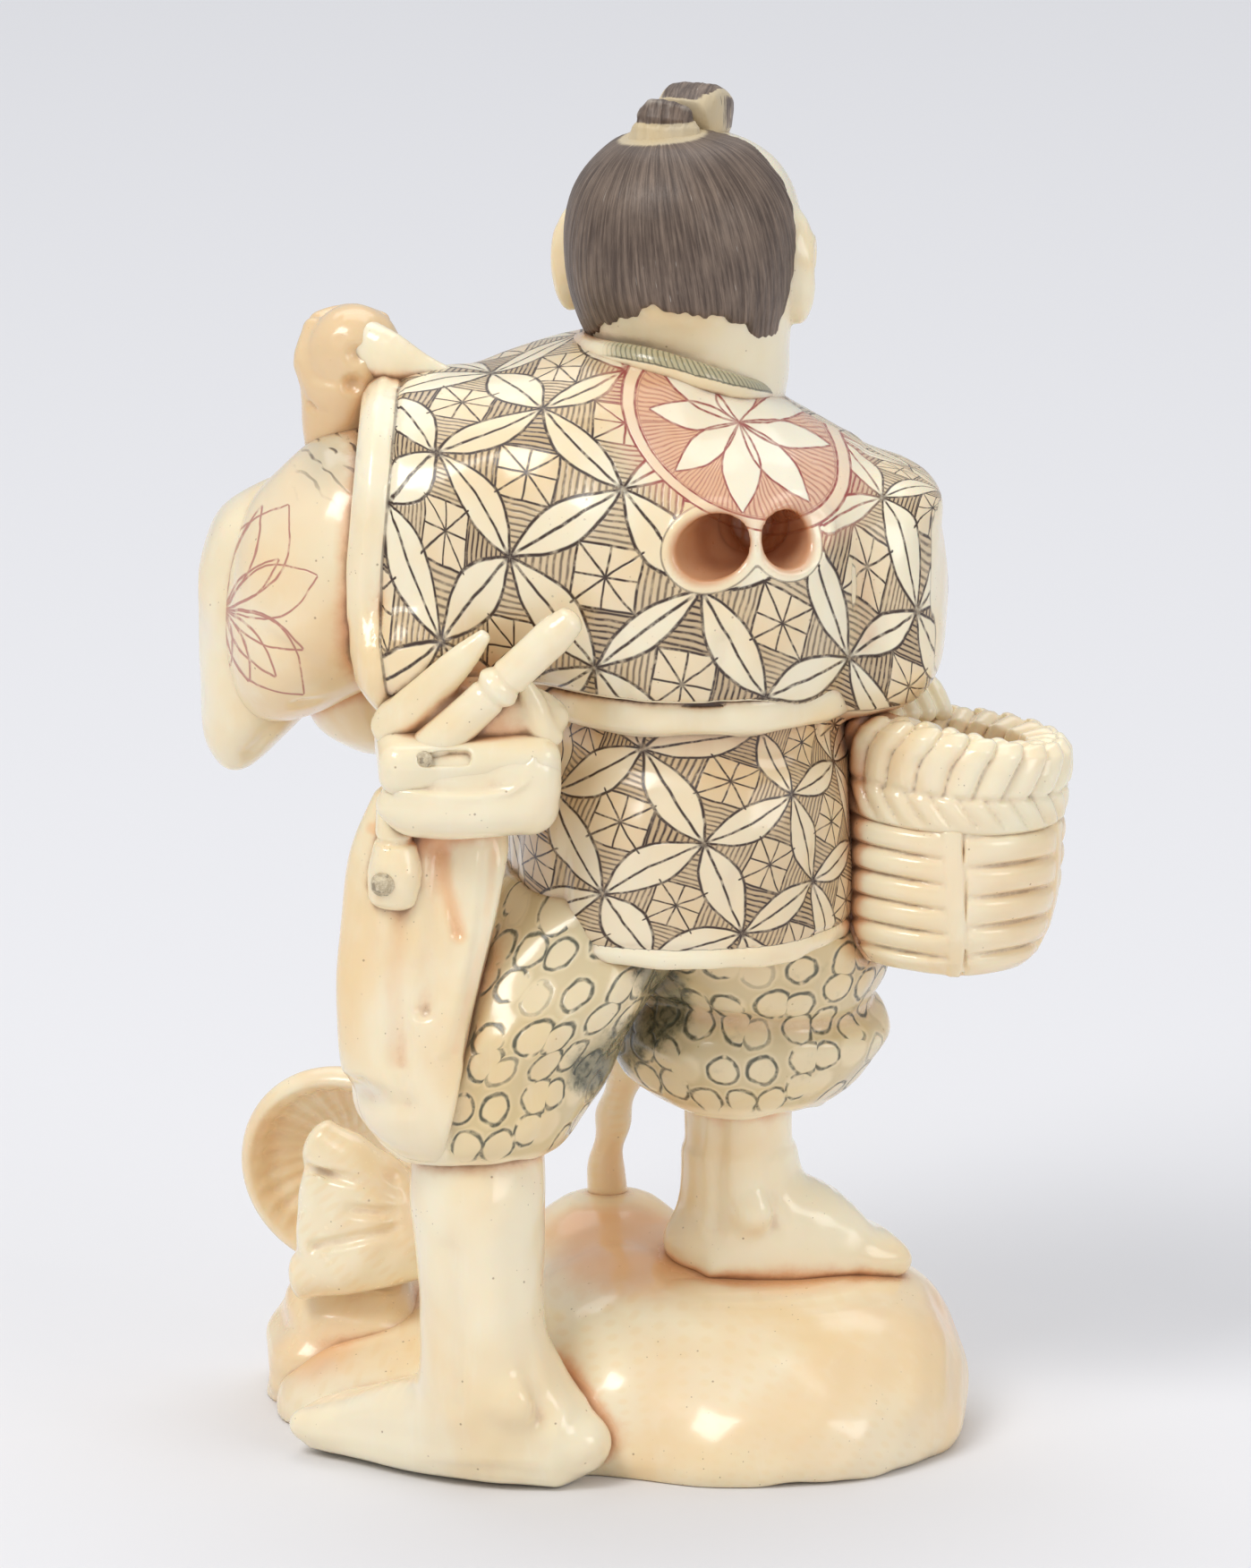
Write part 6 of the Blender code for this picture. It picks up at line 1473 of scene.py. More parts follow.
def look_up(grid, low, step, points):
    f = (points - low) / step
    i = np.clip(f.astype(int), 0, np.array(grid.shape) - 2)
    t = np.clip(f - i, 0, 1)
    total = np.zeros(len(points))
    for c in range(8):
        o = np.array([c & 1, c >> 1 & 1, c >> 2 & 1])
        total += grid[tuple((i + o).T)] * np.where(o, t, 1 - t).prod(1)
    return total


def hollows():
    """How much carving surrounds each place: above a half in a groove, below it on an edge."""
    step = 0.25
    low = np.min([f.low for f in FIELDS.values()], 0) - 1.5
    high = np.max([f.low + f.step * f.count for f in FIELDS.values()], 0) + 1.5
    low[2] = -3.0
    count = np.ceil((high - low) / step).astype(int)
    solid = np.zeros(count, np.float32)
    for f in FIELDS.values():
        a = np.maximum(np.ceil((f.low - low) / step).astype(int), 0)
        b = np.minimum(((f.low + f.step * (f.count - 1) - low) / step).astype(int), count - 1)
        axes = [low[i] + step * np.arange(a[i], b[i] + 1) for i in range(3)]
        pts = np.stack(np.meshgrid(*axes, indexing="ij"), -1).reshape(-1, 3)
        d = look_up(f.d, f.low, f.step, pts).reshape([len(x) for x in axes])
        cut = tuple(slice(a[i], b[i] + 1) for i in range(3))
        solid[cut] = np.maximum(solid[cut], np.clip(0.5 - d / step, 0, 1))
    return low, step, blurred(solid, 1), blurred(solid, 3)


def vertex_normals(points, faces):
    a, b = points[faces[:, 2]] - points[faces[:, 0]], points[faces[:, 3]] - points[faces[:, 1]]
    face = np.cross(a, b)
    total = np.zeros_like(points)
    for k in range(4):
        np.add.at(total, faces[:, k], face)
    return total / np.maximum(np.linalg.norm(total, axis=1), 1e-9)[:, None]


def only_largest(points, faces):
    """Drops crumbs: the faces that don't hang together with the most others."""
    mark = np.arange(len(points))
    while True:
        low = mark[faces].min(1)
        new = mark.copy()
        for k in range(4):
            np.minimum.at(new, faces[:, k], low)
        new = new[new]
        if (new == mark).all():
            break
        mark = new
    names, counts = np.unique(mark, return_counts=True)
    keep = mark == names[counts.argmax()]
    if keep.all():
        return points, faces
    index = np.cumsum(keep) - 1
    return points[keep], index[faces[keep[faces[:, 0]]]]


def make_object(name, field, air, mapping, paint):
    points, faces = only_largest(*field.mesh())
    points = np.clip(points, np.array(cad_box[0]) / MM, np.array(cad_box[1]) / MM)
    normals = vertex_normals(points, faces)
    low, step, near, wide = air
    values = {"groove": look_up(near, low, step, points),
        "hollow": look_up(wide, low, step, points)}
    if mapping:
        values.update(mapping(points, normals))
    mesh = bpy.data.meshes.new(name + "_carving")
    mesh.vertices.add(len(points))
    mesh.vertices.foreach_set("co", (points * MM).astype(np.float32).ravel())
    mesh.loops.add(faces.size)
    mesh.loops.foreach_set("vertex_index", faces.astype(np.int32).ravel())
    mesh.polygons.add(len(faces))
    mesh.polygons.foreach_set("loop_start", np.arange(0, faces.size, 4, dtype=np.int32))
    mesh.update()
    mesh.shade_smooth()
    for key, value in values.items():
        kind, field_name = ("FLOAT_VECTOR", "vector") if value.ndim == 2 else ("FLOAT", "value")
        mesh.attributes.new(key, kind, "POINT").data.foreach_set(
            field_name, value.astype(np.float32).ravel())
    made = bpy.data.objects.new(name + "_carving", mesh)
    bpy.context.collection.objects.link(made)
    made.data.materials.append(paint)
    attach(made, "root")
    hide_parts(name)
    return made


# Where the engraved patterns lie on each piece


def seen(points):
    """A place's right and up in the view from 14 degrees above the back."""
    return points[:, 0], VIEW_UP * points[:, 2] + VIEW_AHEAD * points[:, 1]


def spot(px, py):
    """A place in that view's plane, from its pixel in a picture of 1398 x 1752."""
    return (px - 711) / PIXELS_PER_MM, (1604 - py) / PIXELS_PER_MM


def bent_to(where, targets, points):
    """Straight mapping plus a gentle bend that brings the named places to their targets."""
    where, targets = np.array(where, float), np.array(targets, float)
    n = len(where)
    far = np.linalg.norm(where[:, None] - where[None], axis=2)
    flat = np.hstack([np.ones((n, 1)), where])
    rows = np.vstack([np.hstack([far - 0.6 * np.eye(n), flat]),
        np.hstack([flat.T, np.zeros((3, 3))])])
    answer = np.linalg.solve(rows, np.vstack([targets, np.zeros((3, 2))]))
    result = np.zeros((len(points), 2))
    for k in range(n):
        away = np.linalg.norm(points - where[k], axis=1)[:, None]
        result += away * answer[k]
    return result + answer[n] + points @ answer[n + 1:]


def nearest_seen(points, normals, unrolled, px, py):
    """The unrolled place of the skin that shows at a pixel."""
    x, up = seen(points)
    sx, sy = spot(px, py)
    facing = normals[:, 2] * VIEW_AHEAD - normals[:, 1] * VIEW_UP
    far = (x - sx) ** 2 + (up - sy) ** 2 + np.where(facing > 0.12, 0, 400.0)
    return unrolled[far.argmin()]


# Middles of the roundel and of the sleeve's flower, and the lattice's places, as pixels
ROUNDEL_MIDDLE, SLEEVE_FLOWER_MIDDLE = (824.3, 478.8), (253, 682)
ROBE_NODES = [(430, 442, 0, -1), (482, 512, 0, 0), (443, 566, -1, 0), (555, 425, 1, -1),
    (609, 462, 1, 0), (695, 425, 2, 0), (567, 630, 0, 1), (499, 724, -1, 1), (697, 555, 1, 1),
    (664, 750, 0, 2), (780, 662, 1, 2), (905, 600, 2, 2), (935, 490, 3, 1), (981, 562, 3, 2),
    (1020, 691, 3, 3), (945, 736, 2, 3), (853, 779, 1, 3)]
SKIRT_NODES = [(714, 833, 0, 0), (620, 883, -1, 0), (784, 942, 0, 1), (677, 1001, -1, 1),
    (882, 884, 1, 1), (907, 983, 1, 2), (825, 1042, 0, 2), (727, 1063, -1, 2), (586, 1028, -2, 1),
    (928, 850, 2, 1), (948, 941, 2, 2), (852, 820, 1, 0)]


def lattice_on(points, normals, unrolled, nodes):
    where = [nearest_seen(points, normals, unrolled, px, py) for px, py, _, _ in nodes]
    return bent_to(where, [(i, j) for _, _, i, j in nodes], unrolled)


def robe_map(points, normals):
    x, y, z = points.T
    # the cloth unrolled: over the shoulders from the back to the front
    middle, knee, reach = 0.3, below(7.0), 7.6
    over = np.arctan2(np.maximum(z - knee, 0), -(y - middle) * 0.85)
    up = np.where(z > knee, knee + reach * over,
        np.where(y < middle, z, knee + reach * pi + knee - z))
    side = np.clip((x - 7.0) / 6.6, -9, 0.995)
    across = np.where(x > 7.0, 7.0 + 6.6 * np.arcsin(np.maximum(side, 0)), x)
    unrolled = np.stack([across, up], 1)
    lattice = lattice_on(points, normals, unrolled, ROBE_NODES)
    # plain where the sleeve's outer edge, the cuff's lip and the cord holes' rims are
    cuff = step_up(x - cuff_edge(z), 1.1, 1.9)
    edge = 1 - step_up(normals[:, 0] - 0.25 * step_up(y, -1, 2), 0.86, 0.93) * (x > 9)
    under = 1 - step_up(-normals[:, 2], 0.72, 0.85)
    cover = cuff * edge * under
    bore = np.zeros(len(points))
    for radius, mouth, meet in cord_holes():
        axis = np.subtract(meet, mouth)
        axis = axis / np.linalg.norm(axis)
        off = points - mouth
        far = np.linalg.norm(off - (off @ axis)[:, None] * axis, axis=1)
        far = np.where(y < 0, far, FAR)
        cover = cover * step_up(far, radius + 0.15, radius + 0.65)
        bore = np.maximum(bore, 1 - step_up(far, radius - 0.15, radius + 0.25))
    sx, sy = seen(points)
    cx, cy = spot(*ROUNDEL_MIDDLE)
    back = step_up(-y, -1.5, 0.0)
    roundel = np.stack([sx - cx, sy - cy, back], 1)
    roundel[:, :2] += (1 - back)[:, None] * 40
    return {"lattice": np.column_stack([lattice, cover]), "roundel": roundel, "bore": bore}


def skirt_map(points, normals):
    x, y, z = points.T
    turn = np.arctan2((x - 2.1) / 7.4, -(y + 0.3) / 8.1)
    unrolled = np.stack([2.1 + 7.7 * turn, z], 1)
    lattice = lattice_on(points, normals, unrolled, SKIRT_NODES)
    cover = step_up(z, HEM_HEIGHT + 0.86, HEM_HEIGHT + 0.96) * step_up(-normals[:, 2], -2, -1)
    cover = cover * (1 - step_up(-normals[:, 2], 0.6, 0.8))
    return {"lattice": np.column_stack([lattice, cover])}


def along(points, pixels, near, far):
    """One on a line of places in the picture, falling off to nothing beside it."""
    x, up = seen(points)
    least = np.full(len(points), FAR)
    places = [spot(*p) for p in pixels]
    for (ax, ay), (bx, by) in zip(places, places[1:]):
        ex, ey = bx - ax, by - ay
        t = np.clip(((x - ax) * ex + (up - ay) * ey) / (ex * ex + ey * ey), 0, 1)
        least = np.minimum(least, np.hypot(x - ax - t * ex, up - ay - t * ey))
    return 1 - step_up(least, near, far)


def crotch_shade(points):
    """Green stain and painted shade between the legs."""
    return along(points, ((735, 1082), (748, 1128), (722, 1150), (690, 1178), (662, 1195)), 0.2,
        1.9)


def cloth_map(points, normals):
    back = 1 - step_up(points[:, 1], -5.5, -4.5)
    # orange along the apron's folds and under the pouch: raw ivory's orange with painted shade
    folds = (((496, 942), (502, 990), (516, 1042)), 0.02, 0.75, 0.7), \
            (((452, 1010), (444, 1100), (448, 1180)), 0.10, 0.90, 0.4), \
            (((556, 940), (545, 1040), (512, 1170)), 0.06, 0.40, 0.4), \
            (((420, 925), (520, 928), (572, 925)), 0.10, 0.50, 0.6)
    warmth = np.zeros(len(points))
    for pixels, near, far, share in folds:
        warmth = np.maximum(warmth, share * along(points, pixels, near, far))
    return {"warmth": warmth * back}


def trouser_map(side):
    def mapped(points, normals):
        x, y, z = points.T
        if side < 0:
            cx = np.interp(z, [14, 18, 24], [-6.9, -6.0, -3.0])
            cy = np.interp(z, [14, 18, 24], [-5.6, -4.8, -2.0])
            turn = np.arctan2(x - cx, -(y - cy))
            sx, sy = seen(points)
            plain = np.where(y < -3, 1 - step_up(sx - apron_edge(sy), 0.0, 0.1), 0)
            cover = step_up(z, 14.5, 14.9) * (1 - plain)
        else:
            turn = np.arctan2(x - 5.0, -(y - 1.6))
            cover = step_up(z, 14.6, 15.0)
        # painted shade with green stain between the legs, and a green tint over the whole right
        # trouser
        shade = np.maximum(crotch_shade(points), 0.22 * (side > 0))
        return {"unrolled": np.column_stack([5.4 * turn, z, cover]), "shade": shade}
    return mapped


def sleeve_map(points, normals):
    x, y, _ = points.T
    sx, sy = seen(points)
    back = step_up(-y, -1.5, 0.5)
    cx, cy = spot(*SLEEVE_FLOWER_MIDDLE)
    near_cuff = step_up(x, LEFT_CUFF_X - 2.6, LEFT_CUFF_X - 1.0)
    high = step_up(sy, 39.0, 41.5)
    return {"flower": np.column_stack([sx - cx, sy - cy, back]),
            "strokes": np.column_stack([sy, sx, near_cuff * high * back])}


def collar_map(points, normals):
    x, y, _ = points.T
    length = 5.5 * np.arctan2(y - 0.8, x - 1.6)
    side = step_up(-y, -0.5, 1.0) * step_up(x, -1.6, -0.6)
    return {"band": np.column_stack([length, normals[:, 2], side])}


def hair_map(points, normals):
    around, down = strand_turn(*from_head(*points.T))
    ring = 36.0
    strand = np.stack([ring * np.cos(around), ring * np.sin(around), 2.2 * down], 1)
    root = 1 - step_up(down, 0.20, 0.42)
    return {"strand": strand, "root": root}


def knot_map(points, normals):
    right, ahead, up = from_head(*points.T)
    up = up - HEAD_HALF_HEIGHT
    strand = np.stack([7.0 * right, 0.7 * ahead, 0.7 * up], 1)
    # bare ivory at the tie, dark hair above it
    root = 1 - step_up(up, 0.6, 0.95)
    return {"strand": strand, "root": root}


def lobe_map(points, normals):
    result = knot_map(points, normals)
    result["root"] = 1 - np.maximum(step_up(normals[:, 2], 0.7, 0.88),
        step_up(normals[:, 0], 0.9, 0.97))
    return result


def ground_map(points, normals):
    sx, sy = seen(points)
    # orange patches on the slope between the legs, under the shell, under the right foot and at
    # the mound's right end: raw ivory's orange with painted shade
    warmth = np.zeros(len(points))
    for px, py, wide, high, share in ((700, 1385, 5.0, 3.6, 1.0), (335, 1490, 3.4, 3.2, 0.9),
                                      (880, 1430, 5.5, 1.1, 0.7), (1075, 1470, 2.4, 2.4, 0.5)):
        cx, cy = spot(px, py)
        far = np.hypot((sx - cx) / wide, (sy - cy) / high)
        warmth = np.maximum(warmth, share * (1 - step_up(far, 0.25, 1.15)))
    return {"warmth": warmth * (1 - step_up(points[:, 1], 5.0, 8.0))}


MAPS = {"robe_body": ("robe", robe_map), "robe_skirt": ("skirt", skirt_map),
    "left_trouser_leg": ("trousers", trouser_map(-1)),
    "right_trouser_leg": ("trousers", trouser_map(1)),
    "left_under_sleeve": ("sleeve", sleeve_map), "collar": ("collar", collar_map),
    "hair_cap": ("hair", hair_map), "topknot_tuft": ("hair", knot_map),
    "topknot_fold": ("hair", lobe_map), "pouch_inlay": ("inlay", None),
    "toggle_inlay": ("inlay", None), "base_mound": ("ground", ground_map), "head": ("skin", None),
    "left_hand": ("hand", None), "sash": ("belt", None), "apron_cloth": ("cloth", cloth_map),
    "rock": ("warm", None), "strut": ("warm", None), "shell_back_valve": ("warm", None),
    "shell_front_valve": ("warm", None), "basket": ("basket", None),
    "basket_rim": ("basket", None), "left_leg": ("leg", None), "right_leg": ("leg", None)}


# Materials, written as sums over shader nodes


class Value:
    """A number, place or colour that a material works out."""

    def __init__(self, socket):
        self.socket = socket

    def __add__(self, other):
        return calc("ADD", self, other)

    def __sub__(self, other):
        return calc("SUBTRACT", self, other)

    def __rsub__(self, other):
        return calc("SUBTRACT", other, self)

    def __mul__(self, other):
        return calc("MULTIPLY", self, other)

    def __truediv__(self, other):
        return calc("DIVIDE", self, other)

    __radd__, __rmul__ = __add__, __mul__


def node(kind, inputs=(), **settings):
    """A new node with its settings, and numbers or values for its named inputs."""
    made = NET[0].nodes.new(kind)
    for key, value in settings.items():
        setattr(made, key, value)
    feed_all(made, dict(inputs))
    return made


def feed_all(made, inputs):
    for key, value in inputs.items():
        feed(made.inputs[key], value)


def feed(socket, value):
    if isinstance(value, Value):
        NET[0].links.new(value.socket, socket)
    else:
        socket.default_value = value


def calc(operation, a, b=None, c=None):
    made = node("ShaderNodeMath", operation=operation)
    for socket, value in zip(made.inputs, (a, b, c)):
        if value is not None:
            feed(socket, value)
    return Value(made.outputs[0])


def size_of(value):
    return calc("ABSOLUTE", value)


def length_of(x, y):
    return calc("SQRT", x * x + y * y)


def least(a, b):
    return calc("MINIMUM", a, b)


def most(a, b):
    return calc("MAXIMUM", a, b)


def any_of(*values):
    total = values[0]
    for value in values[1:]:
        total = most(total, value)
    return total


def rise(value, low, high):
    """0 at low, 1 at high and smooth between."""
    made = node("ShaderNodeMapRange", {"Value": value, "From Min": low, "From Max": high},
        interpolation_type="SMOOTHSTEP")
    return Value(made.outputs["Result"])


def line(distance, half, soft=0.5):
    """1 on a line where the distance is 0, as wide as half to each side."""
    return 1 - rise(size_of(distance), half * (1 - soft), half * (1 + soft))


def below_of(value, limit, soft):
    return 1 - rise(value, limit - soft, limit + soft)


def place_of(x, y, z=0.0):
    made = node("ShaderNodeCombineXYZ")
    for socket, value in zip(made.inputs, (x, y, z)):
        feed(socket, value)
    return Value(made.outputs[0])


def parts_of(place):
    made = node("ShaderNodeSeparateXYZ")
    feed(made.inputs[0], place)
    return [Value(o) for o in made.outputs]


def spread(place, scale, shift=(0, 0, 0)):
    """A place times a scale on each axis, plus a shift."""
    inputs = {"Vector": place, "Scale": scale, "Location": shift}
    return Value(node("ShaderNodeMapping", inputs).outputs[0])


def noise(place, scale, detail=3.0, roughness=0.55, bend=0.0):
    inputs = {"Vector": place, "Scale": scale, "Detail": detail, "Roughness": roughness,
        "Distortion": bend}
    return Value(node("ShaderNodeTexNoise", inputs).outputs["Fac"])


def cells(place, scale, jitter=1.0, flat=False):
    made = node("ShaderNodeTexVoronoi", voronoi_dimensions="2D" if flat else "3D")
    feed_all(made, {"Vector": place, "Scale": scale, "Randomness": jitter})
    return made


def chance(place):
    """A random number for each whole-numbered place."""
    made = node("ShaderNodeTexWhiteNoise", {"Vector": place}, noise_dimensions="3D")
    return Value(made.outputs["Value"])


def mix(share, first, second):
    made = node("ShaderNodeMix", data_type="RGBA")
    feed(made.inputs["Factor"], share)
    for socket, value in zip(made.inputs[6:8], (first, second)):
        feed(socket, value if isinstance(value, Value) else (*value, 1.0))
    return Value(made.outputs[2])


def attribute(name, kind="Fac"):
    return Value(node("ShaderNodeAttribute", attribute_name=name).outputs[kind])


def in_mm():
    made = node("ShaderNodeVectorMath", operation="SCALE")
    NET[0].links.new(node("ShaderNodeTexCoord").outputs["Object"], made.inputs[0])
    made.inputs["Scale"].default_value = 1000.0
    return Value(made.outputs[0])


def colour(red, green, blue):
    """Linear numbers for a colour as a screen shows it, 0 to 255."""
    return tuple((c / 255 / 12.92) if c < 10 else ((c / 255 + 0.055) / 1.055) ** 2.4
                 for c in (red, green, blue))


CREAM = colour(252, 239, 209)
PALE = colour(254, 248, 230)
HONEY = colour(246, 218, 170)
ORANGE = colour(226, 158, 104)
DEEP = colour(164, 92, 50)
BROWN = colour(78, 54, 40)
GREENISH = colour(92, 92, 66)
INK = colour(58, 36, 22)
GREEN_INK = colour(50, 56, 40)
RED_INK = colour(160, 74, 66)
NET = [None]


def new_paint(name):
    """A material whose net the helpers write into, and its shader."""
    made = bpy.data.materials.new(name)
    made.use_nodes = True
    NET[0] = made.node_tree
    return made, made.node_tree.nodes["Principled BSDF"]


def coat_with(shader, tone, gloss, height, strength, deep):
    """Feeds a shader its colour, its roughness and its relief."""
    bumps = node("ShaderNodeBump", {"Strength": strength, "Distance": deep, "Height": height})
    feed_all(shader, {"Base Color": tone, "Roughness": gloss, "Normal": Value(bumps.outputs[0])})


def ivory(name, warm=0.0, stain=1.0, pattern=None, rough=0.2, green=0.25, grain=0.0, orange=1.0):
    """Polished ivory: cream with honey clouds, orange in hollows and stain in the cuts.

    The pattern adds its own marks: it takes a place and gives a list of
    (share, colour) layers and a depth of cut."""
    made, shader = new_paint(name)
    at = in_mm()
    near, wide = attribute("groove"), attribute("hollow")

    clouds = noise(at, 0.11, 3.0, 0.5, 0.6)
    streaks = noise(spread(at, (1.0, 1.0, 0.22)), 0.9, 4.0, 0.6, 0.4)
    mottle = noise(at, 1.7, 4.0, 0.6)
    tone = mix(rise(clouds, 0.38, 0.72), CREAM, HONEY)
    tone = mix(rise(streaks, 0.50, 0.85) * 0.3, tone, PALE)
    tone = mix(rise(0.40 - near, 0.0, 0.2) * 0.4, tone, PALE)
    if warm:
        patch = rise(noise(at, 0.16, 2.0, 0.5, 0.5), 0.35, 0.68) * warm
        tone = mix(patch, tone, colour(243, 206, 160))
    if grain:
        tone = mix(schreger(at) * grain, tone, HONEY)
    # orange where light has not bleached it, then dirt in the cuts
    deep = wide + (mottle - 0.5) * 0.10 + (clouds - 0.5) * 0.08
    tone = mix(rise(deep, 0.52, 0.72) * 0.8 * orange, tone, ORANGE)
    tone = mix(rise(deep, 0.68, 0.90) * 0.75 * orange, tone, DEEP)
    crease = near + (mottle - 0.5) * 0.16
    dirt = mix(rise(noise(at, 0.35, 2.0), 0.5, 0.62) * green * 2, BROWN, GREENISH)
    tone = mix(rise(crease, 0.57, 0.76) * 0.62 * stain, tone, dirt)

    # pores and specks
    dots = cells(at, 1.5)
    pick = parts_of(Value(dots.outputs["Color"]))[0]
    speck = below_of(Value(dots.outputs["Distance"]), 0.075, 0.03) * rise(pick, 0.72, 0.80)
    fine = cells(at, 4.2)
    fine_pick = parts_of(Value(fine.outputs["Color"]))[0]
    dust = rise(noise(at, 0.28, 2.0), 0.52, 0.66)
    fleck = below_of(Value(fine.outputs["Distance"]), 0.13, 0.05) * rise(fine_pick, 0.7, 0.8)
    marks = any_of(speck * 0.55, fleck * dust * 0.6)
    tone = mix(marks, tone, colour(120, 84, 56))
    height = mottle * 0.08 + streaks * 0.12 - marks * 0.5
    gloss = rough + (mottle - 0.5) * 0.10 + rise(crease, 0.55, 0.75) * 0.28

    if pattern:
        layers, cut = pattern(at)
        for share, ink in layers:
            tone = mix(share, tone, ink)
        height = height - cut * 1.3
        gloss = gloss + cut * 0.2

    coat_with(shader, tone, gloss, height, 0.35, 0.00008)
    for key, value in (("IOR", 1.52), ("Subsurface Weight", 0.22),
                       ("Subsurface Radius", (1.0, 0.55, 0.3)), ("Subsurface Scale", 0.0011),
                       ("Coat Weight", 0.4), ("Coat Roughness", 0.09)):
        shader.inputs[key].default_value = value
    return made


def schreger(at):
    """The crossing arcs that a section of tusk shows, faint."""
    x, _, z = parts_of(at)
    far = calc("SQRT", (x - 2.0) * (x - 2.0) + (z + 9.0) * (z + 9.0))
    turn = calc("ARCTAN2", x - 2.0, z + 9.0)
    bend = noise(at, 0.3, 2.0) * 2.0
    first = calc("SINE", far * 7.0 + turn * 46.0 + bend)
    second = calc("SINE", far * 7.0 - turn * 46.0 + bend)
    return rise(first * second, 0.1, 0.9)


def wobbled(place, amount, scale):
    """A place that wanders a little, the way a hand-cut line does."""
    one = noise(place, scale, 2.0)
    two = noise(spread(place, (1, 1, 1), (7.3, 2.1, 4.4)), scale, 2.0)
    x, y, z = parts_of(place)
    return x + (one - 0.5) * amount, y + (two - 0.5) * amount, z


def leaves(along, away, width, drift):
    """A lens-shaped leaf on each line of the lattice: its inside, its edge and its rib."""
    half = calc("SINE", calc("FRACT", along) * pi) * (width + drift)
    inside = below_of(size_of(away) - half, 0.0, 0.012)
    edge = line(size_of(away) - half, 0.014)
    rib = line(away, 0.012) * rise(half, 0.02, 0.06)
    return inside, edge, rib


# Parts of the lattice's cell: the spoked square's reach and the step between hatching lines
SQUARE_REACH, HATCH_STEP = 0.345, 0.072


def leaf_lattice(at, width=(0.165, 0.20)):
    """Lattice of leaves round small spoked squares, with hatching in the corners."""
    field = attribute("lattice", "Vector")
    i, j, cover = wobbled(field, 0.05, 2.6)
    border = rise(cover, 0.30, 0.42) * (1 - rise(cover, 0.52, 0.64))
    cover = rise(cover, 0.42, 0.56)
    cell_i, cell_j = calc("FLOOR", i), calc("FLOOR", j)
    near_i, near_j = calc("ROUND", i), calc("ROUND", j)
    di, dj = i - near_i, j - near_j
    s, t = calc("FRACT", i) - 0.5, calc("FRACT", j) - 0.5
    pick_a = chance(place_of(cell_i, near_j, 3.0)) - 0.5
    pick_b = chance(place_of(near_i, cell_j, 8.0)) - 0.5
    in_a, edge_a, rib_a = leaves(i, dj, width[0], pick_a * 0.07)
    in_b, edge_b, rib_b = leaves(j, di, width[1], pick_b * 0.07)
    leaf = most(in_a, in_b)
    outlines = any_of(edge_a * (1 - in_b * 0.9), edge_b * (1 - in_a * 0.9), rib_a, rib_b)

    reach = size_of(s) + size_of(t)
    right_half, upper_half = rise(s, -0.001, 0.001), rise(t, -0.001, 0.001)
    corner = chance(place_of(cell_i * 2 + right_half, cell_j * 2 + upper_half, 1.0))
    square = below_of(reach, SQUARE_REACH, 0.006)
    frame_line = line(reach - SQUARE_REACH, 0.014)
    spokes = any_of(line(s, 0.009), line(t, 0.009), line(s - t, 0.012), line(s + t, 0.012))
    spokes = spokes * square
    outside = (1 - square) * (1 - leaf)
    rows = (reach - SQUARE_REACH) / HATCH_STEP + corner * 0.7 + noise(at, 0.5, 1.0) * 0.9
    hatch = line(calc("FRACT", rows) - 0.5, 0.19, 0.7) * outside
    dark = rise(corner, 0.58, 0.66) * outside
    wash = outside * (0.22 + 0.25 * noise(at, 0.9, 2.0))

    blot = 1 - rise(length_of(di, dj), 0.03, 0.085)
    uneven = rise(noise(at, 2.4, 3.0, 0.6), 0.25, 0.55) * 0.55 + 0.45
    hatch = hatch * (0.75 + 0.25 * dark)
    lines = any_of(outlines, frame_line * (1 - leaf), spokes, blot * 0.85, hatch)
    lines = any_of(lines * uneven * cover, border * uneven * 0.6)
    shade = any_of(wash, dark * 0.62) * cover
    return lines, shade, leaf * cover, cover


def leaf_shape(x, y, degrees, long, half, wander, thick):
    """The inside and the outline of a pointed leaf that starts at the middle."""
    c, s = cos(radians(degrees)), sin(radians(degrees))
    along = (x * c + y * s) / long
    away = size_of(y * c - x * s + wander)
    swell = calc("SINE", least(most(along, 0.0), 1.0) * pi) * half
    within = rise(swell, 0.0, 0.03)
    return below_of(away - swell, 0.0, 0.03) * within, line(away - swell, thick) * within


# The roundel's oval ring: its lean, and half its length and breadth
ROUNDEL_COS, ROUNDEL_SIN = 0.824, 0.567
ROUNDEL_HALVES = (4.69, 3.15)
# Each leaf of the roundel's flower: its turn in degrees, its length and half its width
ROUNDEL_LEAVES = [(-13, 4.0, 0.55), (24, 4.4, 0.62), (96, 2.3, 0.86), (145, 4.2, 0.50),
    (172, 3.85, 0.60), (218, 3.45, 0.66), (272, 3.9, 0.80), (311, 4.5, 0.66)]


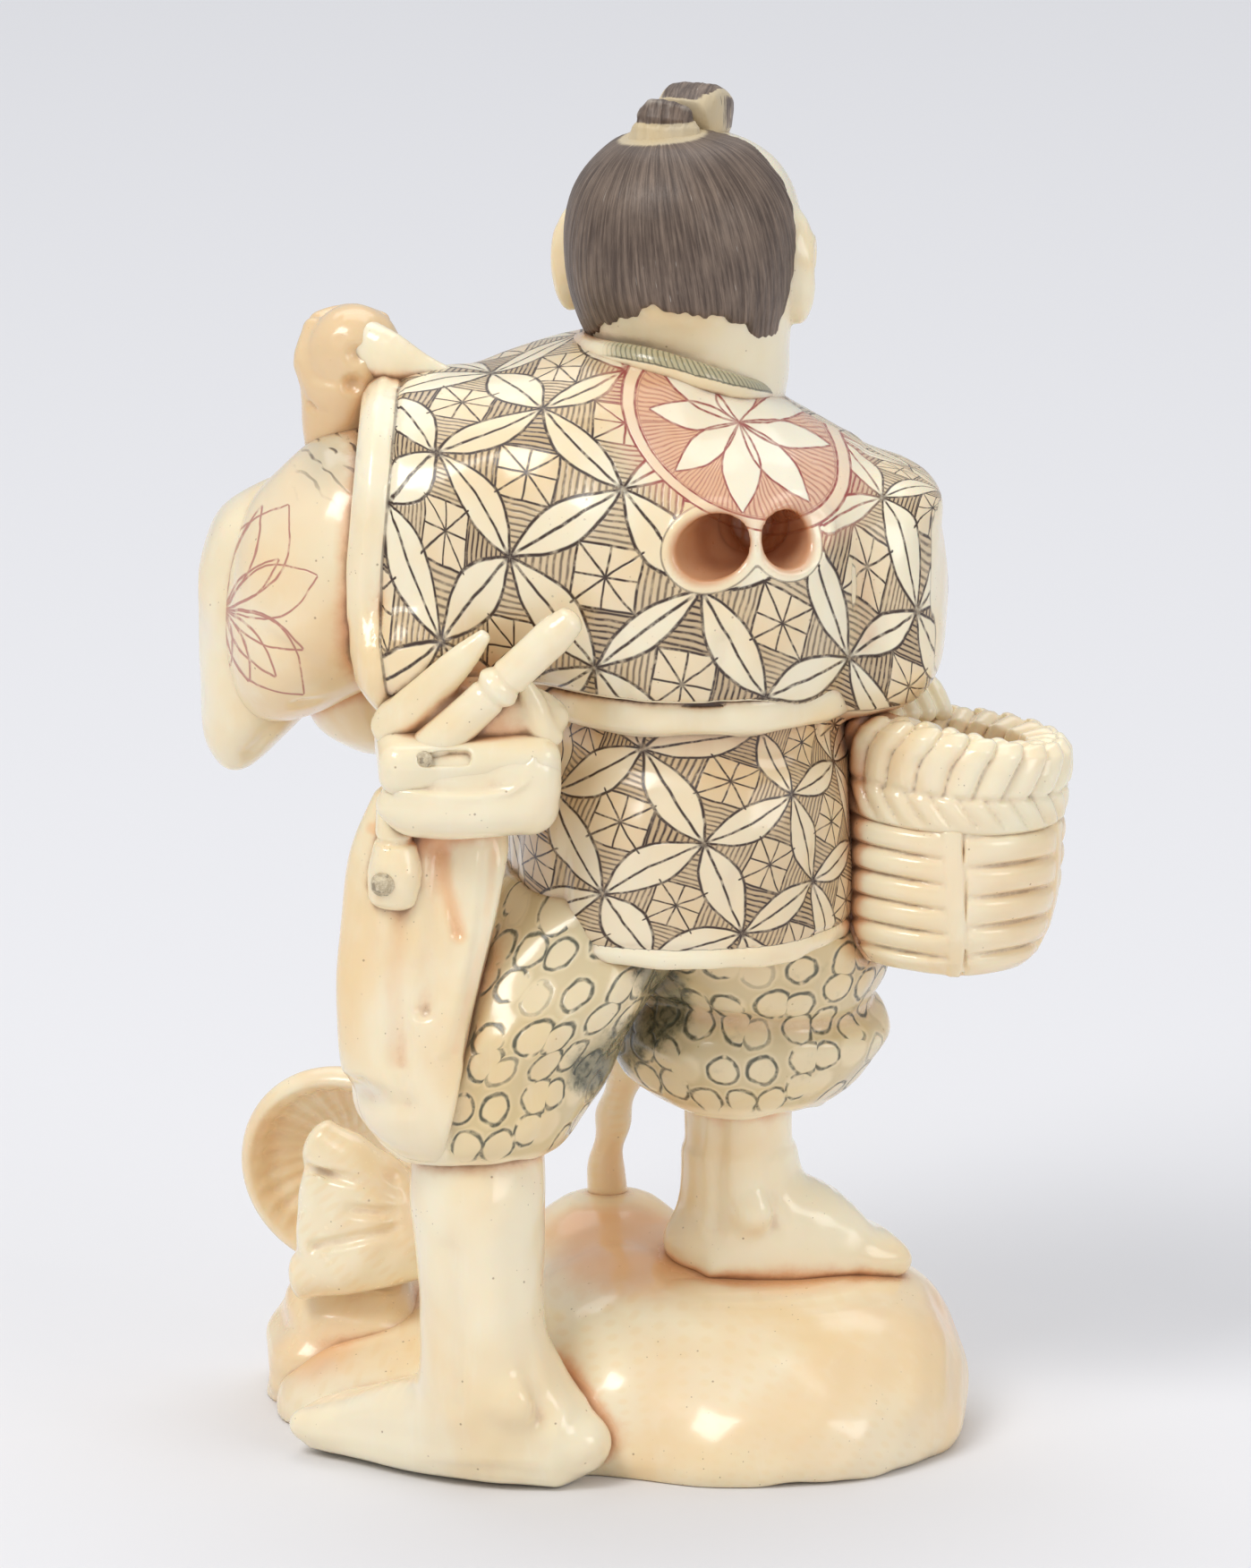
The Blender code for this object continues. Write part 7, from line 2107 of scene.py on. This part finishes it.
def robe_pattern(at):
    lines, shade, leaf, cover = leaf_lattice(at)
    # the roundel: a flower of eight leaves in a double ring
    fx, fy, side = parts_of(attribute("roundel", "Vector"))
    wander = noise(at, 0.8, 2.0) * 0.16 - 0.08
    cx, cy = fx + 0.12, fy + 0.44
    c, s = ROUNDEL_COS, ROUNDEL_SIN
    long_way, short_way = ROUNDEL_HALVES
    ring_u = (cx * c - cy * s) / long_way
    ring_v = (cx * s + cy * c) / short_way
    far = (length_of(ring_u, ring_v) - 1) * 3.9 + wander * 0.5
    inner = below_of(far, 0.0, 0.03)
    whole = below_of(far, 0.50, 0.03)
    rings = any_of(line(far, 0.045), line(far - 0.50, 0.05), line(far + 0.10, 0.02) * 0.5)
    petal, petal_edge = 0.0, 0.0
    for degrees, long, half in ROUNDEL_LEAVES:
        inside, edge = leaf_shape(fx, fy, degrees, long, half, wander, 0.045)
        petal, petal_edge = most(petal, inside), most(petal_edge, edge)
    out = length_of(fx, fy)
    turn = calc("ARCTAN2", fy, fx)
    ground = inner * (1 - petal)
    scratch = calc("FRACT", turn * 19.0 + noise(at, 0.7, 1.0) * 2.0) - 0.5
    hatch = line(scratch, 0.17, 0.8) * ground
    flower = any_of(petal_edge * inner, hatch * 0.6, below_of(out, 0.10, 0.06))
    outside = 1 - whole
    nearby = 1 - rise(far, 0.6, 1.9)
    uneven = rise(noise(at, 2.0, 3.0), 0.3, 0.6) * 0.4 + 0.6
    red_lines = any_of(rings, flower) * uneven * side
    dark_lines = lines * outside
    layers = [(shade * outside * (1 - nearby), colour(146, 116, 78)),
        (cover * (1 - leaf) * outside * 0.35, colour(226, 192, 142)),
        (shade * outside * nearby * 0.8, colour(205, 140, 108)), (leaf * outside * 0.12, PALE),
        (ground * side * 0.62, colour(222, 152, 118)), (petal * inner * side * 0.5, PALE),
        ((whole - inner) * side * 0.5, colour(244, 208, 178)), (dark_lines * (1 - nearby), INK),
        (dark_lines * nearby, RED_INK), (red_lines, RED_INK),
        (attribute("bore") * 0.8, colour(204, 132, 80))]
    return layers, any_of(dark_lines, red_lines)


def skirt_pattern(at):
    lines, shade, leaf, cover = leaf_lattice(at, (0.19, 0.20))
    layers = [(shade, colour(138, 108, 74)), (cover * (1 - leaf) * 0.4, colour(210, 170, 120)),
        (cover * 0.3, colour(206, 178, 134)), (leaf * 0.1, PALE), (lines, INK)]
    return layers, lines


def ground_pattern(at):
    """The raw ivory's orange with painted shade: on the slope between the legs and wherever the
    map marks it.
    """
    share = attribute("warmth") + (noise(at, 0.5, 3.0) - 0.5) * 0.35
    return [(rise(share, 0.12, 0.95) * 0.8, colour(242, 184, 128))], 0.0


def hand_pattern(at):
    return [(0.75, colour(228, 190, 138))], 0.0


def ring_pattern(at):
    """Hand-cut rings that touch here and there, darkest in the shade between the legs."""
    u, v, cover = wobbled(attribute("unrolled", "Vector"), 0.35, 1.1)
    flat = place_of(u, v, 0.0)
    found = cells(flat, 0.66, 0.62, flat=True)
    far = Value(found.outputs["Distance"]) / 0.66
    pick = parts_of(Value(found.outputs["Color"]))[0]
    radius = 0.56 + 0.20 * pick
    drawn = rise(noise(flat, 0.9, 2.0), 0.34, 0.42) * rise(pick, 0.12, 0.16)
    ring = line(far - radius, 0.075, 0.6) * drawn * cover
    uneven = rise(noise(at, 2.6, 3.0, 0.6), 0.25, 0.6) * 0.5 + 0.5
    ring = ring * uneven
    gap = rise(far - radius, 0.0, 0.3) * cover
    # green stain with painted shade between the legs, laid on in patches
    shade = attribute("shade")
    shade = rise(shade + (noise(at, 0.9, 4.0, 0.65) - 0.5) * 0.7, 0.25, 0.95)
    layers = [(cover * 0.4, colour(216, 194, 142)), (gap * 0.4, colour(190, 168, 116)),
        (shade * 0.8, GREENISH), (shade * rise(noise(at, 1.8, 3.0), 0.42, 0.7), GREEN_INK),
        (ring * 0.9, GREEN_INK)]
    return layers, ring


# The sleeve's flower: the same three numbers for each petal's outline
SLEEVE_LEAVES = [
    (69, 4.7, 0.45), (40, 3.2, 0.50), (57, 5.2, 1.30), (18, 4.3, 1.10), (-27, 3.9, 0.55),
    (-47, 5.0, 1.30), (-52, 3.7, 0.50), (-70, 3.3, 0.40), (-88, 2.6, 0.35), (96, 3.4, 0.35),
]


def sleeve_pattern(at):
    """Outlines of a flower in thin red line, and a few short strokes by the cuff."""
    x, y, side = parts_of(attribute("flower", "Vector"))
    wander = (noise(at, 0.6, 2.0) - 0.5) * 0.3
    red = 0.0
    for degrees, long, half in SLEEVE_LEAVES:
        red = most(red, leaf_shape(x, y, degrees, long, half, wander, 0.045)[1])
    broken = rise(noise(at, 1.3, 3.0), 0.30, 0.48)
    red = most(red * (broken * 0.75 + 0.25), below_of(length_of(x, y), 0.12, 0.06))
    red = red * side
    u, v, side = parts_of(attribute("strokes", "Vector"))
    dash = line(calc("FRACT", u * 0.9 + v * 0.9 + noise(at, 0.7, 1.0)) - 0.5, 0.07) * side
    dash = dash * rise(noise(place_of(u * 1.5, v, 0.0), 0.9, 1.0), 0.42, 0.5)
    layers = [(side * 0.35, GREENISH), (dash * 0.85, INK), (red * 0.8, colour(176, 92, 86))]
    return layers, any_of(dash, red)


def collar_pattern(at):
    """A hatched green-grey band on the collar's upper face, its fill partly painted shade under
    the head.
    """
    u, v, side = parts_of(attribute("band", "Vector"))
    hatch = line(calc("FRACT", u * 3.2 + v * 1.2) - 0.5, 0.16)
    # the band's fill on the upward face: green-grey colour, partly painted shade
    inside = rise(v, 0.12, 0.20) * side
    edge = line(v - 0.16, 0.06) * side
    layers = [(inside * 0.75, colour(166, 162, 128)), (hatch * inside * 0.65, GREENISH),
        (edge * 0.7, GREEN_INK)]
    return layers, any_of(hatch * inside, edge) * 0.6


def hair_paint(name):
    """Dark-stained hair with fine lighter strands that run from the topknot's root."""
    made, shader = new_paint(name)
    at = in_mm()
    strand = attribute("strand", "Vector")
    fine = noise(strand, 1.0, 4.0, 0.7)
    coarse = noise(strand, 0.32, 2.0, 0.5)
    patch = noise(at, 0.5, 3.0, 0.6)
    light = rise(fine + (coarse - 0.5) * 0.12 + (patch - 0.5) * 0.3, 0.30, 0.78)
    tone = mix(light, colour(76, 61, 52), colour(138, 119, 104))
    near = attribute("groove")
    bare = attribute("root")
    worn = rise(0.40 - near + (fine - 0.5) * 0.10, 0.02, 0.10) * 0.4
    tone = mix(worn, tone, colour(196, 186, 172))
    tone = mix(rise(near, 0.54, 0.70) * 0.6, tone, colour(48, 38, 33))
    bald = rise(bare + (fine - 0.5) * 0.5, 0.35, 0.65)
    tone = mix(bald, tone, mix(patch, colour(216, 190, 138), colour(196, 188, 172)))
    scratch = rise(noise(strand, 2.1, 1.0), 0.72, 0.76) * rise(patch, 0.5, 0.6)
    tone = mix(scratch * 0.5, tone, colour(225, 220, 212))
    height = fine * 0.7 + scratch * 0.3
    coat_with(shader, tone, 0.46 - light * 0.1 + (patch - 0.5) * 0.1, height, 0.5, 0.0001)
    shader.inputs["Specular IOR Level"].default_value = 0.45
    return made


def inlay_paint(name):
    """A speckled grey-brown disc of horn or stone."""
    made, shader = new_paint(name)
    at = in_mm()
    grit = noise(at, 6.0, 4.0, 0.75)
    spots = parts_of(Value(cells(at, 5.5).outputs["Color"]))[0]
    tone = mix(rise(grit, 0.35, 0.7), colour(186, 168, 136), colour(228, 214, 184))
    tone = mix(rise(spots, 0.75, 0.8) * 0.5, tone, colour(104, 90, 74))
    tone = mix(rise(spots, 0.1, 0.05) * 0.6, tone, colour(222, 206, 170))
    coat_with(shader, tone, 0.42 + (grit - 0.5) * 0.3, grit, 0.5, 0.00008)
    return made


PAINTS = {"plain": ivory("ivory"), "skin": ivory("ivory_skin", stain=0.6, orange=0.12),
    "hand": ivory("ivory_hand", warm=0.9, stain=0.8, pattern=hand_pattern),
    "cloth": ivory("ivory_cloth", warm=0.2, pattern=ground_pattern),
    "belt": ivory("ivory_belt", stain=2.0, green=0.05),
    "ground": ivory("ivory_ground", warm=0.3, stain=0.25, grain=0.3, rough=0.24,
    pattern=ground_pattern),
    "warm": ivory("ivory_warm", warm=0.6, stain=0.5, grain=0.3, rough=0.26),
    "leg": ivory("ivory_leg", warm=0.15, stain=0.8),
    "robe": ivory("ivory_robe", pattern=robe_pattern, green=0.4),
    "skirt": ivory("ivory_skirt", pattern=skirt_pattern, green=0.4),
    "trousers": ivory("ivory_trousers", pattern=ring_pattern, green=0.9),
    "sleeve": ivory("ivory_sleeve", pattern=sleeve_pattern, warm=0.3, green=0.9),
    "collar": ivory("ivory_collar", pattern=collar_pattern, green=0.9),
    "basket": ivory("ivory_basket", warm=0.35, stain=0.7, green=0.1),
    "hair": hair_paint("hair_stain"), "inlay": inlay_paint("grey_inlay")}


def carve_all():
    for make in (ground_forms, flute_form, leg_forms, trouser_forms, robe_forms, head_forms,
                 topknot_forms, left_arm_forms, right_arm_forms, belt_forms):
        make()
    for carve in (carve_ground, carve_shell, carve_legs, carve_trousers, carve_robe,
                  carve_head, carve_hair, carve_arms, carve_basket, carve_belt):
        carve()


carve_all()
air = hollows()
for name, field in FIELDS.items():
    paint, mapping = MAPS.get(name, ("plain", None))
    made = make_object(name, field, air, mapping, PAINTS[paint])


# Floor, light and camera


def stage_material(name, colour):
    made, shader = new_paint(name)
    shader.inputs["Base Color"].default_value = (*colour, 1.0)
    shader.inputs["Roughness"].default_value = 0.9
    shader.inputs["Specular IOR Level"].default_value = 0.1
    return made


def set_stage():
    floor_mesh = bpy.data.meshes.new("floor")
    wide = 1.6
    verts = [(-wide, -wide, 0.0), (wide, -wide, 0.0), (wide, wide, 0.0), (-wide, wide, 0.0)]
    floor_mesh.from_pydata(verts, [], [(0, 1, 2, 3)])
    floor_mesh.update()
    floor = bpy.data.objects.new("floor", floor_mesh)
    floor_mesh.materials.append(stage_material("floor_white", (0.80, 0.797, 0.82)))
    bpy.context.collection.objects.link(floor)


def lamp(name, place, aim, size, watts, colour=(1, 1, 1)):
    data = bpy.data.lights.new(name, "AREA")
    data.shape = "RECTANGLE"
    data.size, data.size_y = size
    data.energy = watts
    data.color = colour
    made = bpy.data.objects.new(name, data)
    made.location = place
    made.rotation_euler = (Vector(aim) - Vector(place)).to_track_quat("-Z", "Y").to_euler()
    bpy.context.collection.objects.link(made)


def set_light():
    middle = (0.0, 0.0, 0.03)
    lamp("key", (-0.22, -0.26, 0.42), middle, (0.2, 0.2), 1.14, (1.0, 0.99, 0.97))
    lamp("fill", (0.38, -0.30, 0.22), middle, (0.22, 0.22), 0.42, (1.0, 0.98, 0.96))
    lamp("top", (0.02, 0.10, 0.50), middle, (0.35, 0.25), 0.45, (0.98, 0.99, 1.0))
    lamp("wash", (0.0, 0.42, 0.62), (0.0, 0.40, 0.0), (0.8, 0.3), 1.0, (0.97, 0.98, 1.0))
    world = bpy.data.worlds.new("studio")
    bpy.context.scene.world = world
    world.use_nodes = True
    world.node_tree.nodes["Background"].inputs["Color"].default_value = (0.95, 0.97, 1.0, 1)
    world.node_tree.nodes["Background"].inputs["Strength"].default_value = 0.52


def set_camera():
    """The photograph's view: 1398 x 1752, from behind and a little above."""
    lift, away, width = radians(14), 0.5, 0.05316
    data = bpy.data.cameras.new("photo_view")
    data.sensor_fit = "HORIZONTAL"
    data.sensor_width = 36.0
    data.lens = 36.0 * away / width
    data.clip_start = 0.01
    made = bpy.data.objects.new("photo_view", data)
    target = Vector((-0.000456, 0.0, 0.02853))
    made.location = target + Vector((0, -cos(lift), sin(lift))) * away
    made.rotation_euler = (target - made.location).to_track_quat("-Z", "Y").to_euler()
    bpy.context.collection.objects.link(made)
    bpy.context.scene.camera = made


set_stage()
set_light()
set_camera()
bpy.context.scene.view_settings.view_transform = "Standard"
